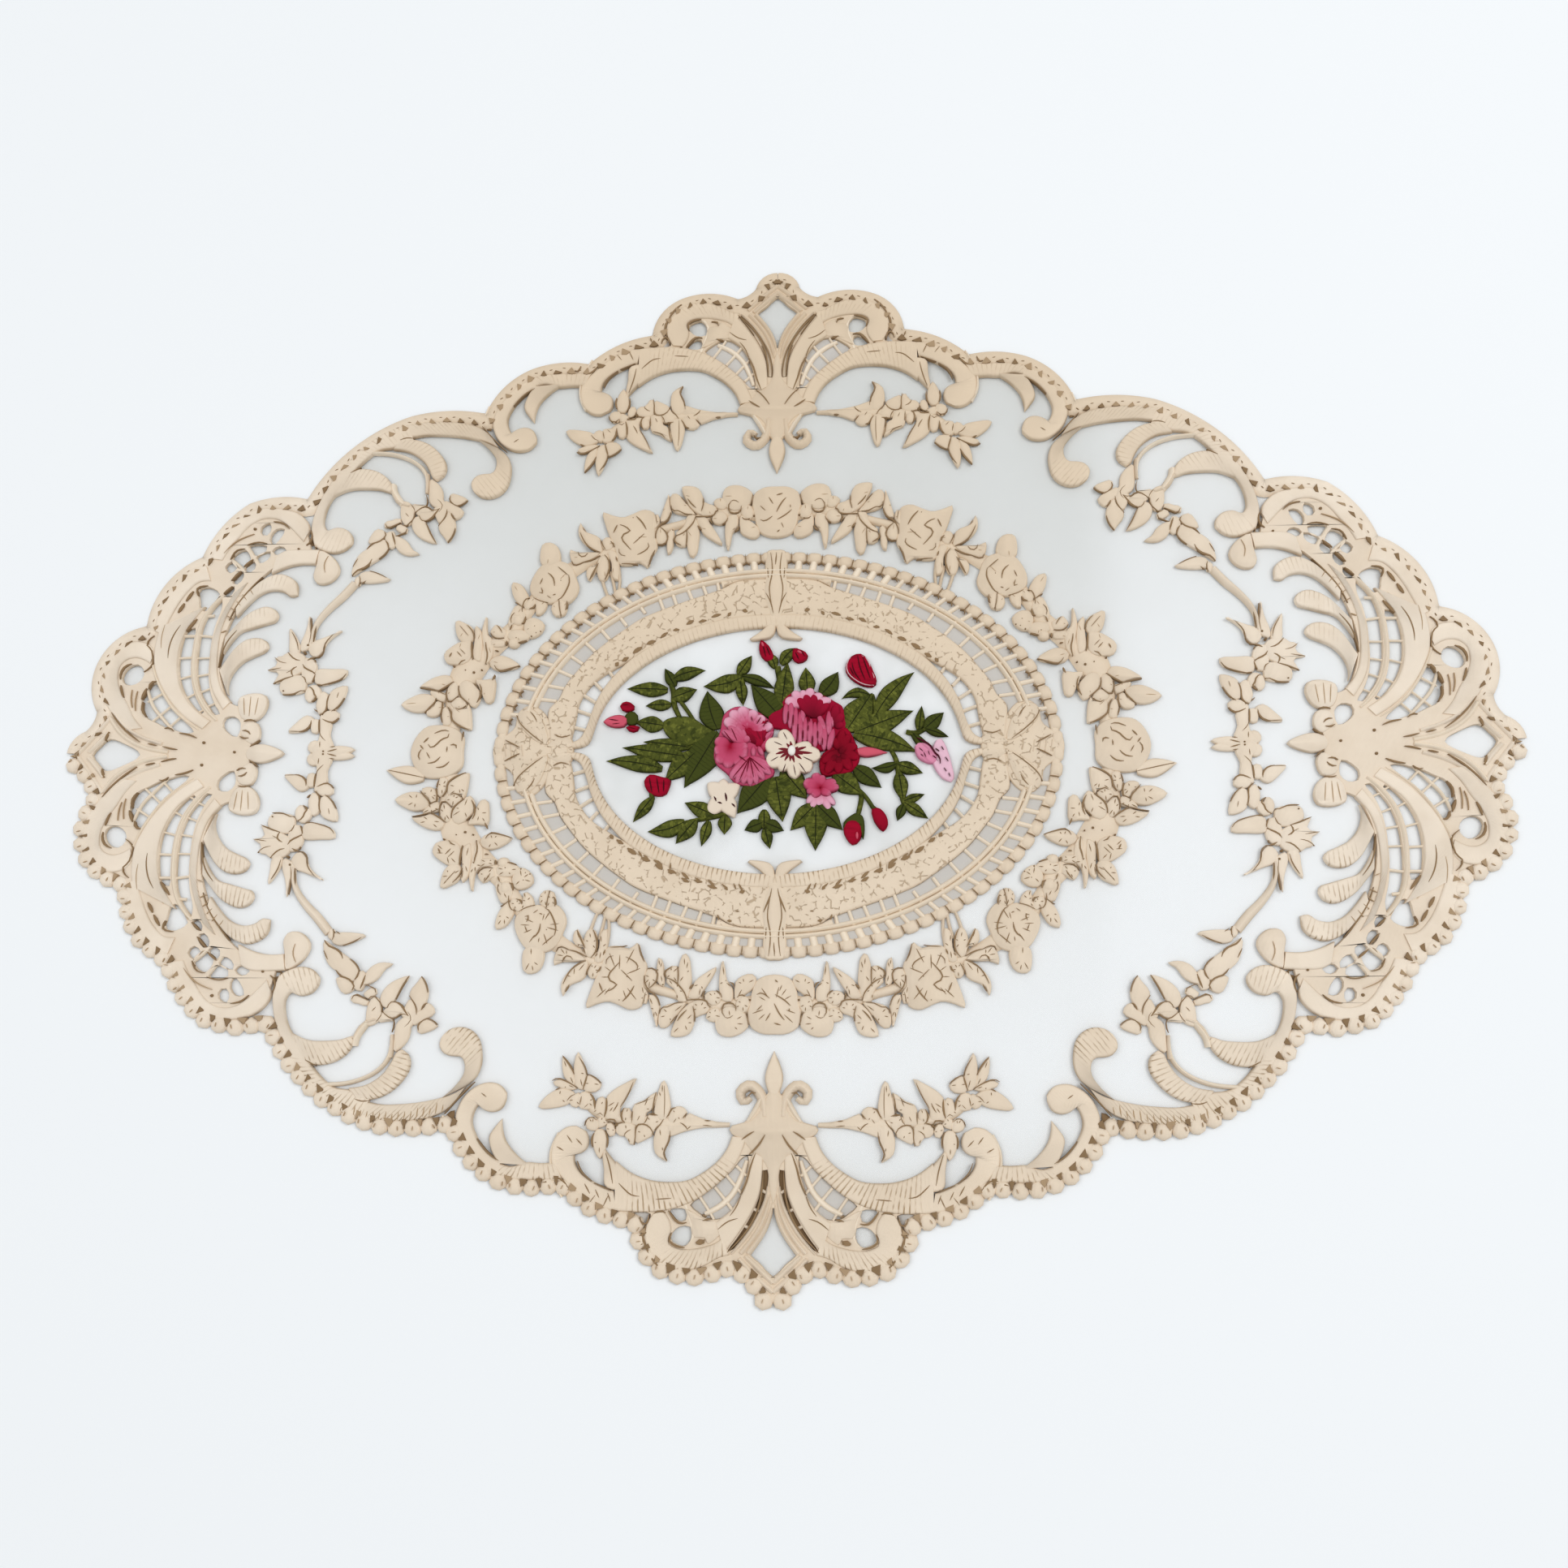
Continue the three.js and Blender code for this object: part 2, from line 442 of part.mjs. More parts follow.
/** Garland down one end of the doily, cut clear of the border. */
function makeGarland(side) {
  const half = [ribbon(GARLAND_STEM), ...GARLAND_LEAVES.map((row) => leaf(row))];
  const outlines = half.flatMap((outline) => [1, -1].map((sign) => mirrored(outline, [side, sign])));
  return tidied(plates(outlines, LACE).subtract(borderRoom));
}

/** All the green of the bouquet: leaves and stems round a heart under the blooms. */
function makeBouquetLeaves() {
  return plates([
    oval(HEART.at, HEART.size, HEART.sides),
    ...BOUQUET_LEAVES.map((row) => leaf(row)),
    ...BOUQUET_STEMS.map((stations) => ribbon(stations)),
  ], LEAVES);
}

/** One bloom, cut clear of the blooms above it in the table. */
function makeBloom(row, index) {
  const above = BLOOMS.slice(0, index).map((other) => bloom(other, CLEARANCE));
  const solid = plate(bloom(row), FLOWERS);
  return above.length ? tidied(solid.subtract(plates(above, through(FLOWERS)))) : solid;
}

// ---- the doily ----------------------------------------------------------------------
const doily = new THREE.Group();

/** Adds one named piece in its thread. */
function place(name, solid, thread) {
  const material = new THREE.MeshStandardMaterial({ ...THREADS[thread], metalness: 0 });
  const mesh = new THREE.Mesh(geometryOf(solid), material);
  mesh.name = name;
  doily.add(mesh);
}

place("ground_panel", plate(edge, PANEL), "sheer");
place("border_lace", makeBorder(), "ecru");
place("medallion_lace", makeMedallion(), "ecru");
place("wreath_lace", makeWreath(), "ecru");
for (const [side, sx] of [["left", -1], ["right", 1]]) {
  place(`garland_${side}`, makeGarland(sx), "ecru");
  for (const [end, sy] of [["top", 1], ["bottom", -1]])
    place(`sprig_${end}_${side}`, makeSprig([sx, sy]), "ecru");
}
place("bouquet_leaves", makeBouquetLeaves(), "green");
BLOOMS.forEach((row, index) => place(row.name, makeBloom(row, index), row.thread));

export default doily;
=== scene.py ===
"""Looks of an oval lace doily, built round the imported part.

Lengths in the tables are millimetres in the part's own frame: the origin is the middle of the
underside, +X the long way, +Y the short way, +Z up out of the raised face.  Most of the lace is
the same in all four quarters, so its tables hold one quarter and are drawn four times.
"""
import logging
import math
from collections.abc import Iterator
from dataclasses import dataclass
from enum import Enum

import bpy
import numpy as np
from mathutils import Matrix, Vector
from mathutils.geometry import tessellate_polygon


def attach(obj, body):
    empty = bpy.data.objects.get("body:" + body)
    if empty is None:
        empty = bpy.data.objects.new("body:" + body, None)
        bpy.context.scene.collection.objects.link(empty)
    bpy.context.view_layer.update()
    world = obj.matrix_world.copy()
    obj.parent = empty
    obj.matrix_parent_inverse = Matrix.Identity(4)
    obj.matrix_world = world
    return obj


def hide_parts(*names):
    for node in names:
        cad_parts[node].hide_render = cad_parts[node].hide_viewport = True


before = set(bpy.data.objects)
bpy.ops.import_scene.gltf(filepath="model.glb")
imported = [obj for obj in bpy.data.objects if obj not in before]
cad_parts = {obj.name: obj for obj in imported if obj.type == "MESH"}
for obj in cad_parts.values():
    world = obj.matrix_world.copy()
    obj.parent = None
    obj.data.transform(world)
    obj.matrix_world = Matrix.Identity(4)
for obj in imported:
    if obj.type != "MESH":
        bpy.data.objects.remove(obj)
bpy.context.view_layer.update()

log = logging.getLogger("doily")

MM = 0.001
ROOT = "root"
Points = list[tuple[float, ...]]


class Sides(Enum):
    """Signs of X and Y that a motif is drawn with."""

    ONCE = ((1, 1),)
    QUARTERS = ((1, 1), (1, -1), (-1, -1), (-1, 1))
    FAR = ((1, 1), (-1, 1))
    NEAR = ((1, -1), (-1, -1))
    TOP_LEFT = ((-1, 1),)
    BOTTOM_LEFT = ((-1, -1),)
    BOTTOM_RIGHT = ((1, -1),)
    LEFT_END = ((-1, 1), (-1, -1))
    TOP_BOTTOM = ((1, 1), (1, -1))
    RIGHT_LEFT = ((1, 1), (-1, 1))


class Tone(Enum):
    """How deep in the threadwork a surface lies, which sets its colour: in ecru thread the tones
    past BODY are painted shade, in coloured thread they pick its dyed shades.
    """

    # painted shade of the ground seen through an opening; on crimson thread, a painted glint
    GROUND_SHADE_AND_GLINT = -1.0
    LIGHT = -0.5
    BODY = 0.0
    # a little darker, as painted shade on wide flat pads
    SLIGHTLY_DARKER = 0.07
    WARM = 0.2
    SHADE = 0.6
    FOLD = 0.95
    DEEP = 1.0


class Level(Enum):
    """Lowest and highest point of a layer of threadwork, in millimetres."""

    FOOTING = (0.45, 0.7)
    BODY = (0.45, 1.5)
    PAD = (0.45, 1.8)
    BAND = (0.45, 1.95)
    CORD = (0.5, 2.15)
    BOBBLE = (0.45, 2.2)
    BAR = (0.8, 1.6)
    PETAL = (0.45, 1.9)
    UPPER = (1.0, 2.4)
    LEAF = (0.5, 1.5)
    BLOOM = (0.6, 2.6)
    TOP = (1.4, 2.9)
    HEART = (2.4, 3.6)


# ---- curves -------------------------------------------------------------------------
def length_of(points: Points | np.ndarray) -> float:
    """Length of the straight runs between points."""
    p = np.asarray(points, float)[:, :2]
    return float(np.linalg.norm(np.diff(p, axis=0), axis=1).sum())


def along_of(points: np.ndarray) -> np.ndarray:
    """Distance from the first point to each of the others, along the line."""
    return np.concatenate([[0], np.cumsum(np.linalg.norm(np.diff(points[:, :2], axis=0), axis=1))])


def smooth_line(points: Points | np.ndarray, count: int) -> np.ndarray:
    """A smooth curve through given points, at evenly spaced places.

    Args:
        points: Rows of x, y and any further values that run along with them.
        count: How many points the curve is returned with.

    Returns:
        An array of count rows.
    """
    p = np.asarray(points, float)
    if len(p) > 2:
        gaps = np.linalg.norm(np.diff(p[:, :2], axis=0), axis=1) ** 0.5
        slope = np.diff(p, axis=0) / gaps[:, None]
        back, ahead = gaps[:-1, None], gaps[1:, None]
        inner = (slope[:-1] * ahead + slope[1:] * back) / (back + ahead)
        first, last = 1.5 * slope[:1] - 0.5 * inner[:1], 1.5 * slope[-1:] - 0.5 * inner[-1:]
        tangent = np.vstack([first, inner, last])
        s = np.linspace(0, 1, 15)[1:, None]
        runs = [p[:1]]
        for i, gap in enumerate(gaps):
            runs.append((2 * s**3 - 3 * s**2 + 1) * p[i] + (s**3 - 2 * s**2 + s) * gap * tangent[i]
                        + (3 * s**2 - 2 * s**3) * p[i + 1] + (s**3 - s**2) * gap * tangent[i + 1])
        p = np.vstack(runs)
    along = along_of(p)
    return np.stack([np.interp(np.linspace(0, along[-1], count), along, column) for column in p.T], 1)


def smooth_loop(points: Points, step: float) -> np.ndarray:
    """A smooth closed outline through given points, anticlockwise, about step apart."""
    lead = min(3, len(points))
    wrapped = list(points[-lead:]) + list(points) + list(points[:lead])
    dense = smooth_line(wrapped, 40 * len(wrapped))
    starts = [int(np.argmin(np.linalg.norm(dense - wrapped[i], axis=1) + 1e3 * far))
              for i, far in ((lead, np.arange(len(dense)) > len(dense) / 2),
                             (lead + len(points), np.arange(len(dense)) < len(dense) / 2))]
    run = dense[starts[0]:starts[1] + 1]
    loop = smooth_line(run, max(6, round(length_of(run) / step)) + 1)[:-1]
    return loop if signed_area(loop) > 0 else loop[::-1]


def signed_area(loop: np.ndarray) -> float:
    """Area inside a loop, positive when it runs anticlockwise."""
    x, y = loop[:, 0], loop[:, 1]
    return float(0.5 * np.sum(x * np.roll(y, -1) - np.roll(x, -1) * y))


def left_of(line: np.ndarray, closed: bool = False) -> np.ndarray:
    """Unit vectors to the left of a line, one for each point."""
    p = line[:, :2]
    ahead = np.roll(p, -1, 0) - np.roll(p, 1, 0) if closed else np.gradient(p, axis=0)
    ahead = ahead / np.maximum(np.linalg.norm(ahead, axis=1), 1e-9)[:, None]
    return np.stack([-ahead[:, 1], ahead[:, 0]], 1)


def arc_points(start: tuple, by: tuple, end: tuple, step: float) -> Points:
    """Points of the arc from start through by to end, without its start."""
    (ax, ay), (px, py), (cx, cy) = start, by, end
    twist = 2 * (ax * (py - cy) + px * (cy - ay) + cx * (ay - py))
    sa, sb, sc = (x * x + y * y for x, y in (start, by, end))
    ox = (sa * (py - cy) + sb * (cy - ay) + sc * (ay - py)) / twist
    oy = (sa * (cx - px) + sb * (ax - cx) + sc * (px - ax)) / twist
    radius, first = math.hypot(ax - ox, ay - oy), math.atan2(ay - oy, ax - ox)
    side = math.copysign(1, twist)
    sweep = math.atan2(cy - oy, cx - ox) - first
    while sweep * side < 0:
        sweep += side * math.tau
    steps = max(1, round(abs(sweep * radius) / step))
    angles = [first + sweep * (i + 1) / steps for i in range(steps)]
    return [(ox + radius * math.cos(a), oy + radius * math.sin(a)) for a in angles]


def four_quarters(quarter: Points) -> Points:
    """A closed outline from its quarter, which runs from +Y to +X."""
    inner = quarter[1:-1]
    return ([*quarter[:-1]] + [(x, -y) for x, y in reversed(quarter[1:])]
            + [(-x, -y) for x, y in quarter[:-1]] + [(-quarter[-1][0], quarter[-1][1])]
            + [(-x, y) for x, y in reversed(inner)])


def closed_on_y(half: Points) -> Points:
    """A half outline that starts and ends on the Y axis, closed by its mirror image."""
    return list(half) + [(-x, y) for x, y in reversed(half[1:-1])]


def closed_on_x(half: Points) -> Points:
    """A half outline that starts and ends on the X axis, closed by its mirror image."""
    return list(half) + [(x, -y) for x, y in reversed(half[1:-1])]


def both_sides(*outlines: Points) -> list[Points]:
    """Outlines and their mirror images across the Y axis."""
    return [*outlines, *[[(-x, y) for x, y in outline] for outline in outlines]]


def both_ends(*outlines: Points) -> list[Points]:
    """Outlines and their mirror images across the X axis."""
    return [*outlines, *[[(x, -y) for x, y in outline] for outline in outlines]]


# ---- threadwork ---------------------------------------------------------------------
class Relief:
    """Raised threadwork gathered into one mesh.

    Every stroke is a closed shape of its own.  Four values ride on its points: edge is 1 at a
    stroke's border, where shade is painted, stitch is how strongly satin stitches show, tone is how
    deep it lies, which in ecru thread sets its painted shade, and crust how knotty it is.  Strokes
    that follow each other lie a hair apart in height, so that no two faces share a plane.
    """

    FAR_STITCH = 0.4  # how much of a mirrored motif's stitches shows on the +Y side
    LIFTS, LIFT = 7, 0.004  # how many heights strokes take in turn, and the step between them
    SIDE_LIFT = 0.007  # the step between a motif's mirror images
    NO_WIDTH = 0.05  # a stroke's end that is narrower is closed to a point

    def __init__(self) -> None:
        """Starts empty."""
        self.points: list[np.ndarray] = []
        self.faces: list[tuple[int, ...]] = []
        self.values: list[np.ndarray] = []
        self.total = 0
        self.sides = Sides.ONCE
        self.lift = 0.0

    def work(self, strokes: list["Stroke"], sides: Sides = Sides.ONCE) -> None:
        """Draws strokes on each of the sides."""
        self.sides = sides
        for number, stroke in enumerate(strokes):
            self.lift = number % self.LIFTS * self.LIFT
            stroke.draw(self)

    def add(self, points: np.ndarray, faces: list, values: np.ndarray) -> None:
        """Adds a closed shape on every side.

        Args:
            points: Rows of x, y, z in millimetres.
            faces: Corner numbers, anticlockwise from outside.
            values: Rows of u, v, edge, stitch, tone and crust.
        """
        lifted = points + (0, 0, self.lift)
        for number, (sx, sy) in enumerate(self.sides.value):
            self.points.append(lifted * (sx, sy, 1) + (0, 0, number * self.SIDE_LIFT))
            faint = sy > 0 and len(self.sides.value) > 1
            self.values.append(values * (1, 1, 1, self.FAR_STITCH if faint else 1, 1, 1))
            order = 1 if sx * sy > 0 else -1
            self.faces += [tuple(i + self.total for i in face[::order]) for face in faces]
            self.total += len(points)

    def tube(self, points: np.ndarray, values: np.ndarray, width: np.ndarray) -> None:
        """Closes rows of a section into a shape with a flat underside.

        Args:
            points: Rows of section points, from the left side over the top to the right side.
            values: What add takes, for each point.
            width: Width of each row; an end of no width is closed to a point.
        """
        rows, across = points.shape[:2]
        sharp = (width[0] < self.NO_WIDTH, width[-1] < self.NO_WIDTH)
        first, last = int(sharp[0]), rows - int(sharp[1])
        grid, kept = points[first:last].reshape(-1, 3), values[first:last].reshape(-1, 6)
        faces: list[tuple[int, ...]] = []
        for a in range(0, (last - first - 1) * across, across):
            b = a + across
            faces += [(a + j, a + j + 1, b + j + 1, b + j) for j in range(across - 1)]
            faces.append((a + across - 1, a, b, b + across - 1))
        end = (last - first - 1) * across
        for is_sharp, row, start, order in ((sharp[0], 0, 0, -1), (sharp[1], -1, end, 1)):
            if not is_sharp:
                faces.append(tuple(start + j for j in range(across))[::order])
                continue
            tip = len(grid)
            grid = np.vstack([grid, points[row].mean(0) * (1, 1, 0) + (0, 0, points[row, 0, 2])])
            kept = np.vstack([kept, values[row].mean(0)])
            faces += [(tip, start + j, start + j + 1)[::order] for j in range(across - 1)]
            faces.append((tip, start + across - 1, start)[::order])
        self.add(grid, faces, kept)

    def build(self, name: str, finish: bpy.types.Material, slot: str,
              nodes: tuple[str, ...]) -> bpy.types.Object:
        """Makes the mesh, dresses it and sets it in the frame.

        Args:
            name: The piece's name.
            finish: Its material.
            slot: The record's material slot, not used.
            nodes: The solids that it stands for.

        Returns:
            The finished piece.
        """
        values = np.vstack(self.values)
        mesh = bpy.data.meshes.new(name)
        mesh.from_pydata((np.vstack(self.points) * MM).tolist(), [], self.faces)
        corners = np.zeros(len(mesh.loops), np.int32)
        mesh.loops.foreach_get("vertex_index", corners)
        layer = mesh.uv_layers.new(name="stitches")
        layer.uv.foreach_set("vector", values[corners, :2].astype(np.float32).ravel())
        for column, title in ((2, "edge"), (3, "stitch"), (4, "tone"), (5, "crust")):
            attribute = mesh.attributes.new(title, "FLOAT", "POINT")
            attribute.data.foreach_set("value", values[:, column].astype(np.float32))
        return set_in_frame(name, mesh, finish, slot, nodes)


def set_in_frame(name: str, mesh: bpy.types.Mesh, finish: bpy.types.Material, slot: str,
                 nodes: tuple[str, ...], sharp: float = 50) -> bpy.types.Object:
    """Makes a piece of a mesh, smooth up to an angle of sharp degrees, in place of its solids."""
    mesh.materials.append(finish)
    mesh.update()
    piece = bpy.data.objects.new(name, mesh)
    bpy.context.scene.collection.objects.link(piece)
    bpy.ops.object.select_all(action="DESELECT")
    piece.select_set(True)
    bpy.context.view_layer.objects.active = piece
    bpy.ops.object.shade_smooth_by_angle(angle=math.radians(sharp))
    piece.select_set(False)
    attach(piece, ROOT)
    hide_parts(*nodes)
    return piece


class Stroke:
    """One worked shape of the threadwork."""

    def draw(self, relief: Relief) -> None:
        """Adds the shape to the relief."""
        raise NotImplementedError


@dataclass(frozen=True)
class Band(Stroke):
    """A raised band between two curves, rounded at its sides.

    stitch is how strongly stitches show at the left and at the right curve, and span the share
    of the length over which they show.  The tone runs into end_tone, if there is one.
    """

    left: Points
    right: Points
    stitch: tuple[float, float] = (0, 0)
    span: tuple[float, float] = (0, 1)
    tone: Tone = Tone.BODY
    level: Level = Level.BAND
    edge: float = 1.0
    step: float = 1.2
    crust: float = 0.0
    end_tone: Tone | None = None

    SECTION = ((0, 0, 1), (0.12, 0.72, 0.7), (0.5, 0.94, 0.1), (1, 0.99, 0))  # share, rise, edge
    ROUNDING, ROUNDING_SHARE = 0.9, 0.42  # the most that a side is rounded, in mm and of the width
    FULL_WIDTH = 2.2  # a narrower band lies lower
    FADE = 0.1  # share of the length over which stitches come and go

    def draw(self, relief: Relief) -> None:
        """Adds the band to the relief."""
        count = max(3, math.ceil(max(length_of(self.left), length_of(self.right)) / self.step) + 1)
        a, b, stitch = smooth_line(self.left, count), smooth_line(self.right, count), self.stitch
        if signed_area(np.vstack([a[:, :2], b[::-1, :2]])) > 0:
            a, b, stitch = b, a, stitch[::-1]
        width = np.maximum(np.linalg.norm(b - a, axis=1), 1e-6)
        rounding = np.minimum(self.ROUNDING, self.ROUNDING_SHARE * width) / width
        half = [share * rounding for share, _, _ in self.SECTION]
        shares = np.stack([*half, 0.5 + 0 * rounding, *[1 - s for s in reversed(half)]], 1)
        rise = np.array([r for _, r, _ in self.SECTION] + [1] + [r for _, r, _ in reversed(self.SECTION)])
        edge = np.array([e for _, _, e in self.SECTION] + [0] + [e for _, _, e in reversed(self.SECTION)])
        low, high = self.level.value
        top = (high - low) * np.minimum(1, width / self.FULL_WIDTH) ** 0.6
        xy = a[:, None, :2] * (1 - shares[..., None]) + b[:, None, :2] * shares[..., None]
        points = np.concatenate([xy, (low + rise[None] * top[:, None])[..., None]], 2)
        along = along_of((a + b) / 2)
        share = along / max(along[-1], 1e-6)
        shown = np.clip(np.minimum(share - self.span[0], self.span[1] - share) / self.FADE + 0.5, 0, 1)
        values = np.zeros((count, len(rise), 6))
        values[..., 0] = along[:, None]
        values[..., 1] = (shares - 0.5) * width[:, None]
        values[..., 2] = edge * self.edge
        values[..., 3] = (stitch[0] * (1 - shares) + stitch[1] * shares) * shown[:, None]
        end = (self.end_tone or self.tone).value
        values[..., 4] = (self.tone.value + (end - self.tone.value) * share ** 0.8)[:, None]
        values[..., 5] = self.crust
        relief.tube(points, values, width)


@dataclass(frozen=True)
class Cord(Stroke):
    """A narrow round cord along a route of x, y and half width."""

    route: Points
    level: Level = Level.CORD
    tone: Tone = Tone.BODY
    stitch: float = 0.0
    edge: float = 0.7
    step: float = 1.2

    ACROSS, RISE = (-1, -0.62, 0, 0.62, 1), (0, 0.74, 1, 0.74, 0)
    FULL_HALF = 0.7  # a narrower cord lies lower

    def draw(self, relief: Relief) -> None:
        """Adds the cord to the relief."""
        count = max(2, math.ceil(length_of(self.route) / self.step) + 1)
        route = smooth_line(self.route, count)
        half = route[:, 2]
        across, rise = np.array(self.ACROSS), np.array(self.RISE)
        low, high = self.level.value
        top = (high - low) * np.minimum(1, half / self.FULL_HALF) ** 0.5
        xy = route[:, None, :2] - left_of(route)[:, None] * (across[None] * half[:, None])[..., None]
        points = np.concatenate([xy, (low + rise[None] * top[:, None])[..., None]], 2)
        values = np.zeros((count, len(across), 6))
        values[..., 0] = along_of(route)[:, None]
        values[..., 1] = across[None] * half[:, None]
        values[..., 2] = np.abs(across) ** 3 * self.edge
        values[..., 3] = self.stitch
        values[..., 4] = self.tone.value
        relief.tube(points, values, 2 * half)


@dataclass(frozen=True)
class Bar(Stroke):
    """A straight bar of wrapped thread across a gap."""

    start: tuple[float, float]
    end: tuple[float, float]
    half: float = 0.35
    tone: Tone = Tone.LIGHT
    level: Level = Level.BAR

    def draw(self, relief: Relief) -> None:
        """Adds the bar to the relief."""
        route = [(*self.start, self.half), (*self.end, self.half)]
        Cord(route, self.level, self.tone, edge=0.4, step=3).draw(relief)


@dataclass(frozen=True)
class Crease(Stroke):
    """A thin dark line, narrowing to its ends: painted shade in a crease or between strokes, and on the
    pansy a dyed streak.
    """

    points: Points
    half: float = 0.17
    level: Level = Level.BAND
    tone: Tone = Tone.DEEP

    STEP = 1.2
    SLIM = 0.9  # drawn width for each width that is set
    TAPER = 0.75  # share of the width that is lost at the ends
    PROUD = 0.09  # how far the line stands over its layer, so that it shows

    def draw(self, relief: Relief) -> None:
        """Adds the crease to the relief."""
        count = max(3, math.ceil(length_of(self.points) / self.STEP) + 1)
        line = smooth_line(self.points, count)[:, :2]
        narrowing = 1 - self.TAPER * np.abs(np.linspace(-1, 1, count)) ** 3
        side = left_of(line) * (self.SLIM * self.half * narrowing)[:, None]
        low, top = Level.FOOTING.value[1], self.level.value[1] + self.PROUD
        rows = [np.column_stack([line + sign * side, np.full(count, z)])
                for sign, z in ((1, low), (1, top), (-1, top), (-1, low))]
        values = np.zeros((count, 4, 6))
        values[..., 4] = self.tone.value
        relief.tube(np.stack(rows, 1), values, np.full(count, 1.0))


@dataclass(frozen=True)
class Pad(Stroke):
    """A flat raised piece of any outline, with holes, rounded at its borders.

    sharp keeps the corners of the outline as they are set.
    """

    outline: Points
    holes: tuple[Points, ...] = ()
    tone: Tone = Tone.BODY
    level: Level = Level.PAD
    rounding: float = 0.45
    edge: float = 1.0
    sharp: bool = False
    step: float = 1.3
    crust: float = 0.0

    SECTION = ((0, 0, 1), (0.2, 0.72, 0.6), (1, 1, 0))  # share of the rounding, rise, edge

    def draw(self, relief: Relief) -> None:
        """Adds the pad to the relief."""
        loops = []
        for number, points in enumerate([self.outline, *self.holes]):
            loop = np.asarray(points, float) if self.sharp else smooth_loop(points, self.step)
            loop = loop if signed_area(loop) > 0 else loop[::-1]
            loops.append(loop[::-1] if number else loop)
        flat = np.vstack(loops)
        low, high = self.level.value
        count = len(flat)
        rings = [np.vstack([loop + left_of(loop, True) * share * self.rounding for loop in loops])
                 for share, _, _ in self.SECTION]
        heights = [low + rise * (high - low) for _, rise, _ in self.SECTION]
        points = np.column_stack([np.vstack(rings), np.repeat(heights, count)])
        values = np.zeros((len(points), 6))
        values[:, :2] = points[:, :2]
        values[:, 2] = np.repeat([edge for _, _, edge in self.SECTION], count) * self.edge
        values[:, 4] = self.tone.value
        values[:, 5] = self.crust
        faces, start, top = [], 0, (len(self.SECTION) - 1) * count
        for loop in loops:
            for i in range(len(loop)):
                a, b = start + i, start + (i + 1) % len(loop)
                faces += [(a + ring, b + ring, b + ring + count, a + ring + count)
                          for ring in range(0, top, count)]
            start += len(loop)
        for a, b, c in tessellate_polygon([[Vector((*p, 0)) for p in loop] for loop in loops]):
            if signed_area(flat[[a, b, c]]) < 0:
                b, c = c, b
            faces += [(a + top, b + top, c + top), (a, c, b)]
        relief.add(points, faces, values)


@dataclass(frozen=True)
class Knob(Stroke):
    """A round knob of thread; size is half its length and half its width, turn is in degrees.

    square is 2 for an ellipse and more for fuller corners.
    """

    at: tuple[float, float]
    size: tuple[float, float]
    turn: float = 0.0
    tone: Tone = Tone.BODY
    level: Level = Level.BOBBLE
    square: float = 2.4
    edge: float = 0.8
    sides: int = 12

    RINGS = ((1.0, 0.0, 1.0), (0.93, 0.5, 0.4), (0.62, 0.88, 0.0))  # reach, rise, edge

    def draw(self, relief: Relief) -> None:
        """Adds the knob to the relief."""
        low, high = self.level.value
        angle = np.arange(self.sides) * math.tau / self.sides
        c, s = np.cos(angle), np.sin(angle)
        reach = (np.abs(c) ** self.square + np.abs(s) ** self.square) ** (-1 / self.square)
        ring = np.stack([c * reach * self.size[0], s * reach * self.size[1]], 1)
        t = math.radians(self.turn)
        way = np.array([[math.cos(t), math.sin(t)], [-math.sin(t), math.cos(t)]])
        points = [np.column_stack([ring * share @ way + self.at,
                                   np.full(self.sides, low + rise * (high - low))])
                  for share, rise, _ in self.RINGS] + [np.array([[*self.at, high]])]
        points = np.vstack(points)
        values = np.zeros((len(points), 6))
        values[:, :2] = points[:, :2]
        values[:-1, 2] = np.repeat([edge for _, _, edge in self.RINGS], self.sides) * self.edge
        values[:, 4] = self.tone.value
        n = self.sides
        faces = [tuple(range(n - 1, -1, -1))]
        faces += [(k + i, k + (i + 1) % n, k + n + (i + 1) % n, k + n + i) for k in (0, n)
                  for i in range(n)]
        faces += [(2 * n + i, 2 * n + (i + 1) % n, 3 * n) for i in range(n)]
        relief.add(points, faces, values)


@dataclass(frozen=True)
class Leaf(Stroke):
    """A leaf or petal; bend pushes its middle to the left, blunt is up to 1 for a round tip."""

    base: tuple[float, float]
    tip: tuple[float, float]
    width: float
    bend: float = 0.0
    blunt: float = 0.0
    vein: bool = False
    tone: Tone = Tone.BODY
    level: Level = Level.PETAL
    stitch: tuple[float, float] = (0, 0)
    edge: float = 1.0
    end_tone: Tone | None = None

    SHARES = (0, 0.14, 0.4, 0.7, 0.9, 1)
    VEIN = 0.15  # half width of the vein

    def draw(self, relief: Relief) -> None:
        """Adds the leaf to the relief."""
        b, t = np.array(self.base, float), np.array(self.tip, float)
        length = float(np.linalg.norm(t - b))
        u = (t - b) / length
        n = np.array([-u[1], u[0]])
        swell = (0.34, 0.72, 1, 0.64 + 0.32 * self.blunt, 0.2 + 0.5 * self.blunt, 0)
        middle = [b + u * length * s + n * 4 * s * (1 - s) * self.bend for s in self.SHARES]
        sides = [[tuple(m + n * sign * w * self.width / 2) for m, w in zip(middle, swell)]
                 for sign in (1, -1)]
        Band(sides[0], sides[1], self.stitch, tone=self.tone, level=self.level, edge=self.edge,
             step=max(0.7, length / 8), end_tone=self.end_tone).draw(relief)
        if self.vein:
            Crease([tuple(m) for m in middle[:-1]], self.VEIN, self.level).draw(relief)


def in_pairs(numbers: tuple[float, ...]) -> Points:
    """Points from a row of x, y, x, y and so on."""
    return list(zip(numbers[::2], numbers[1::2]))


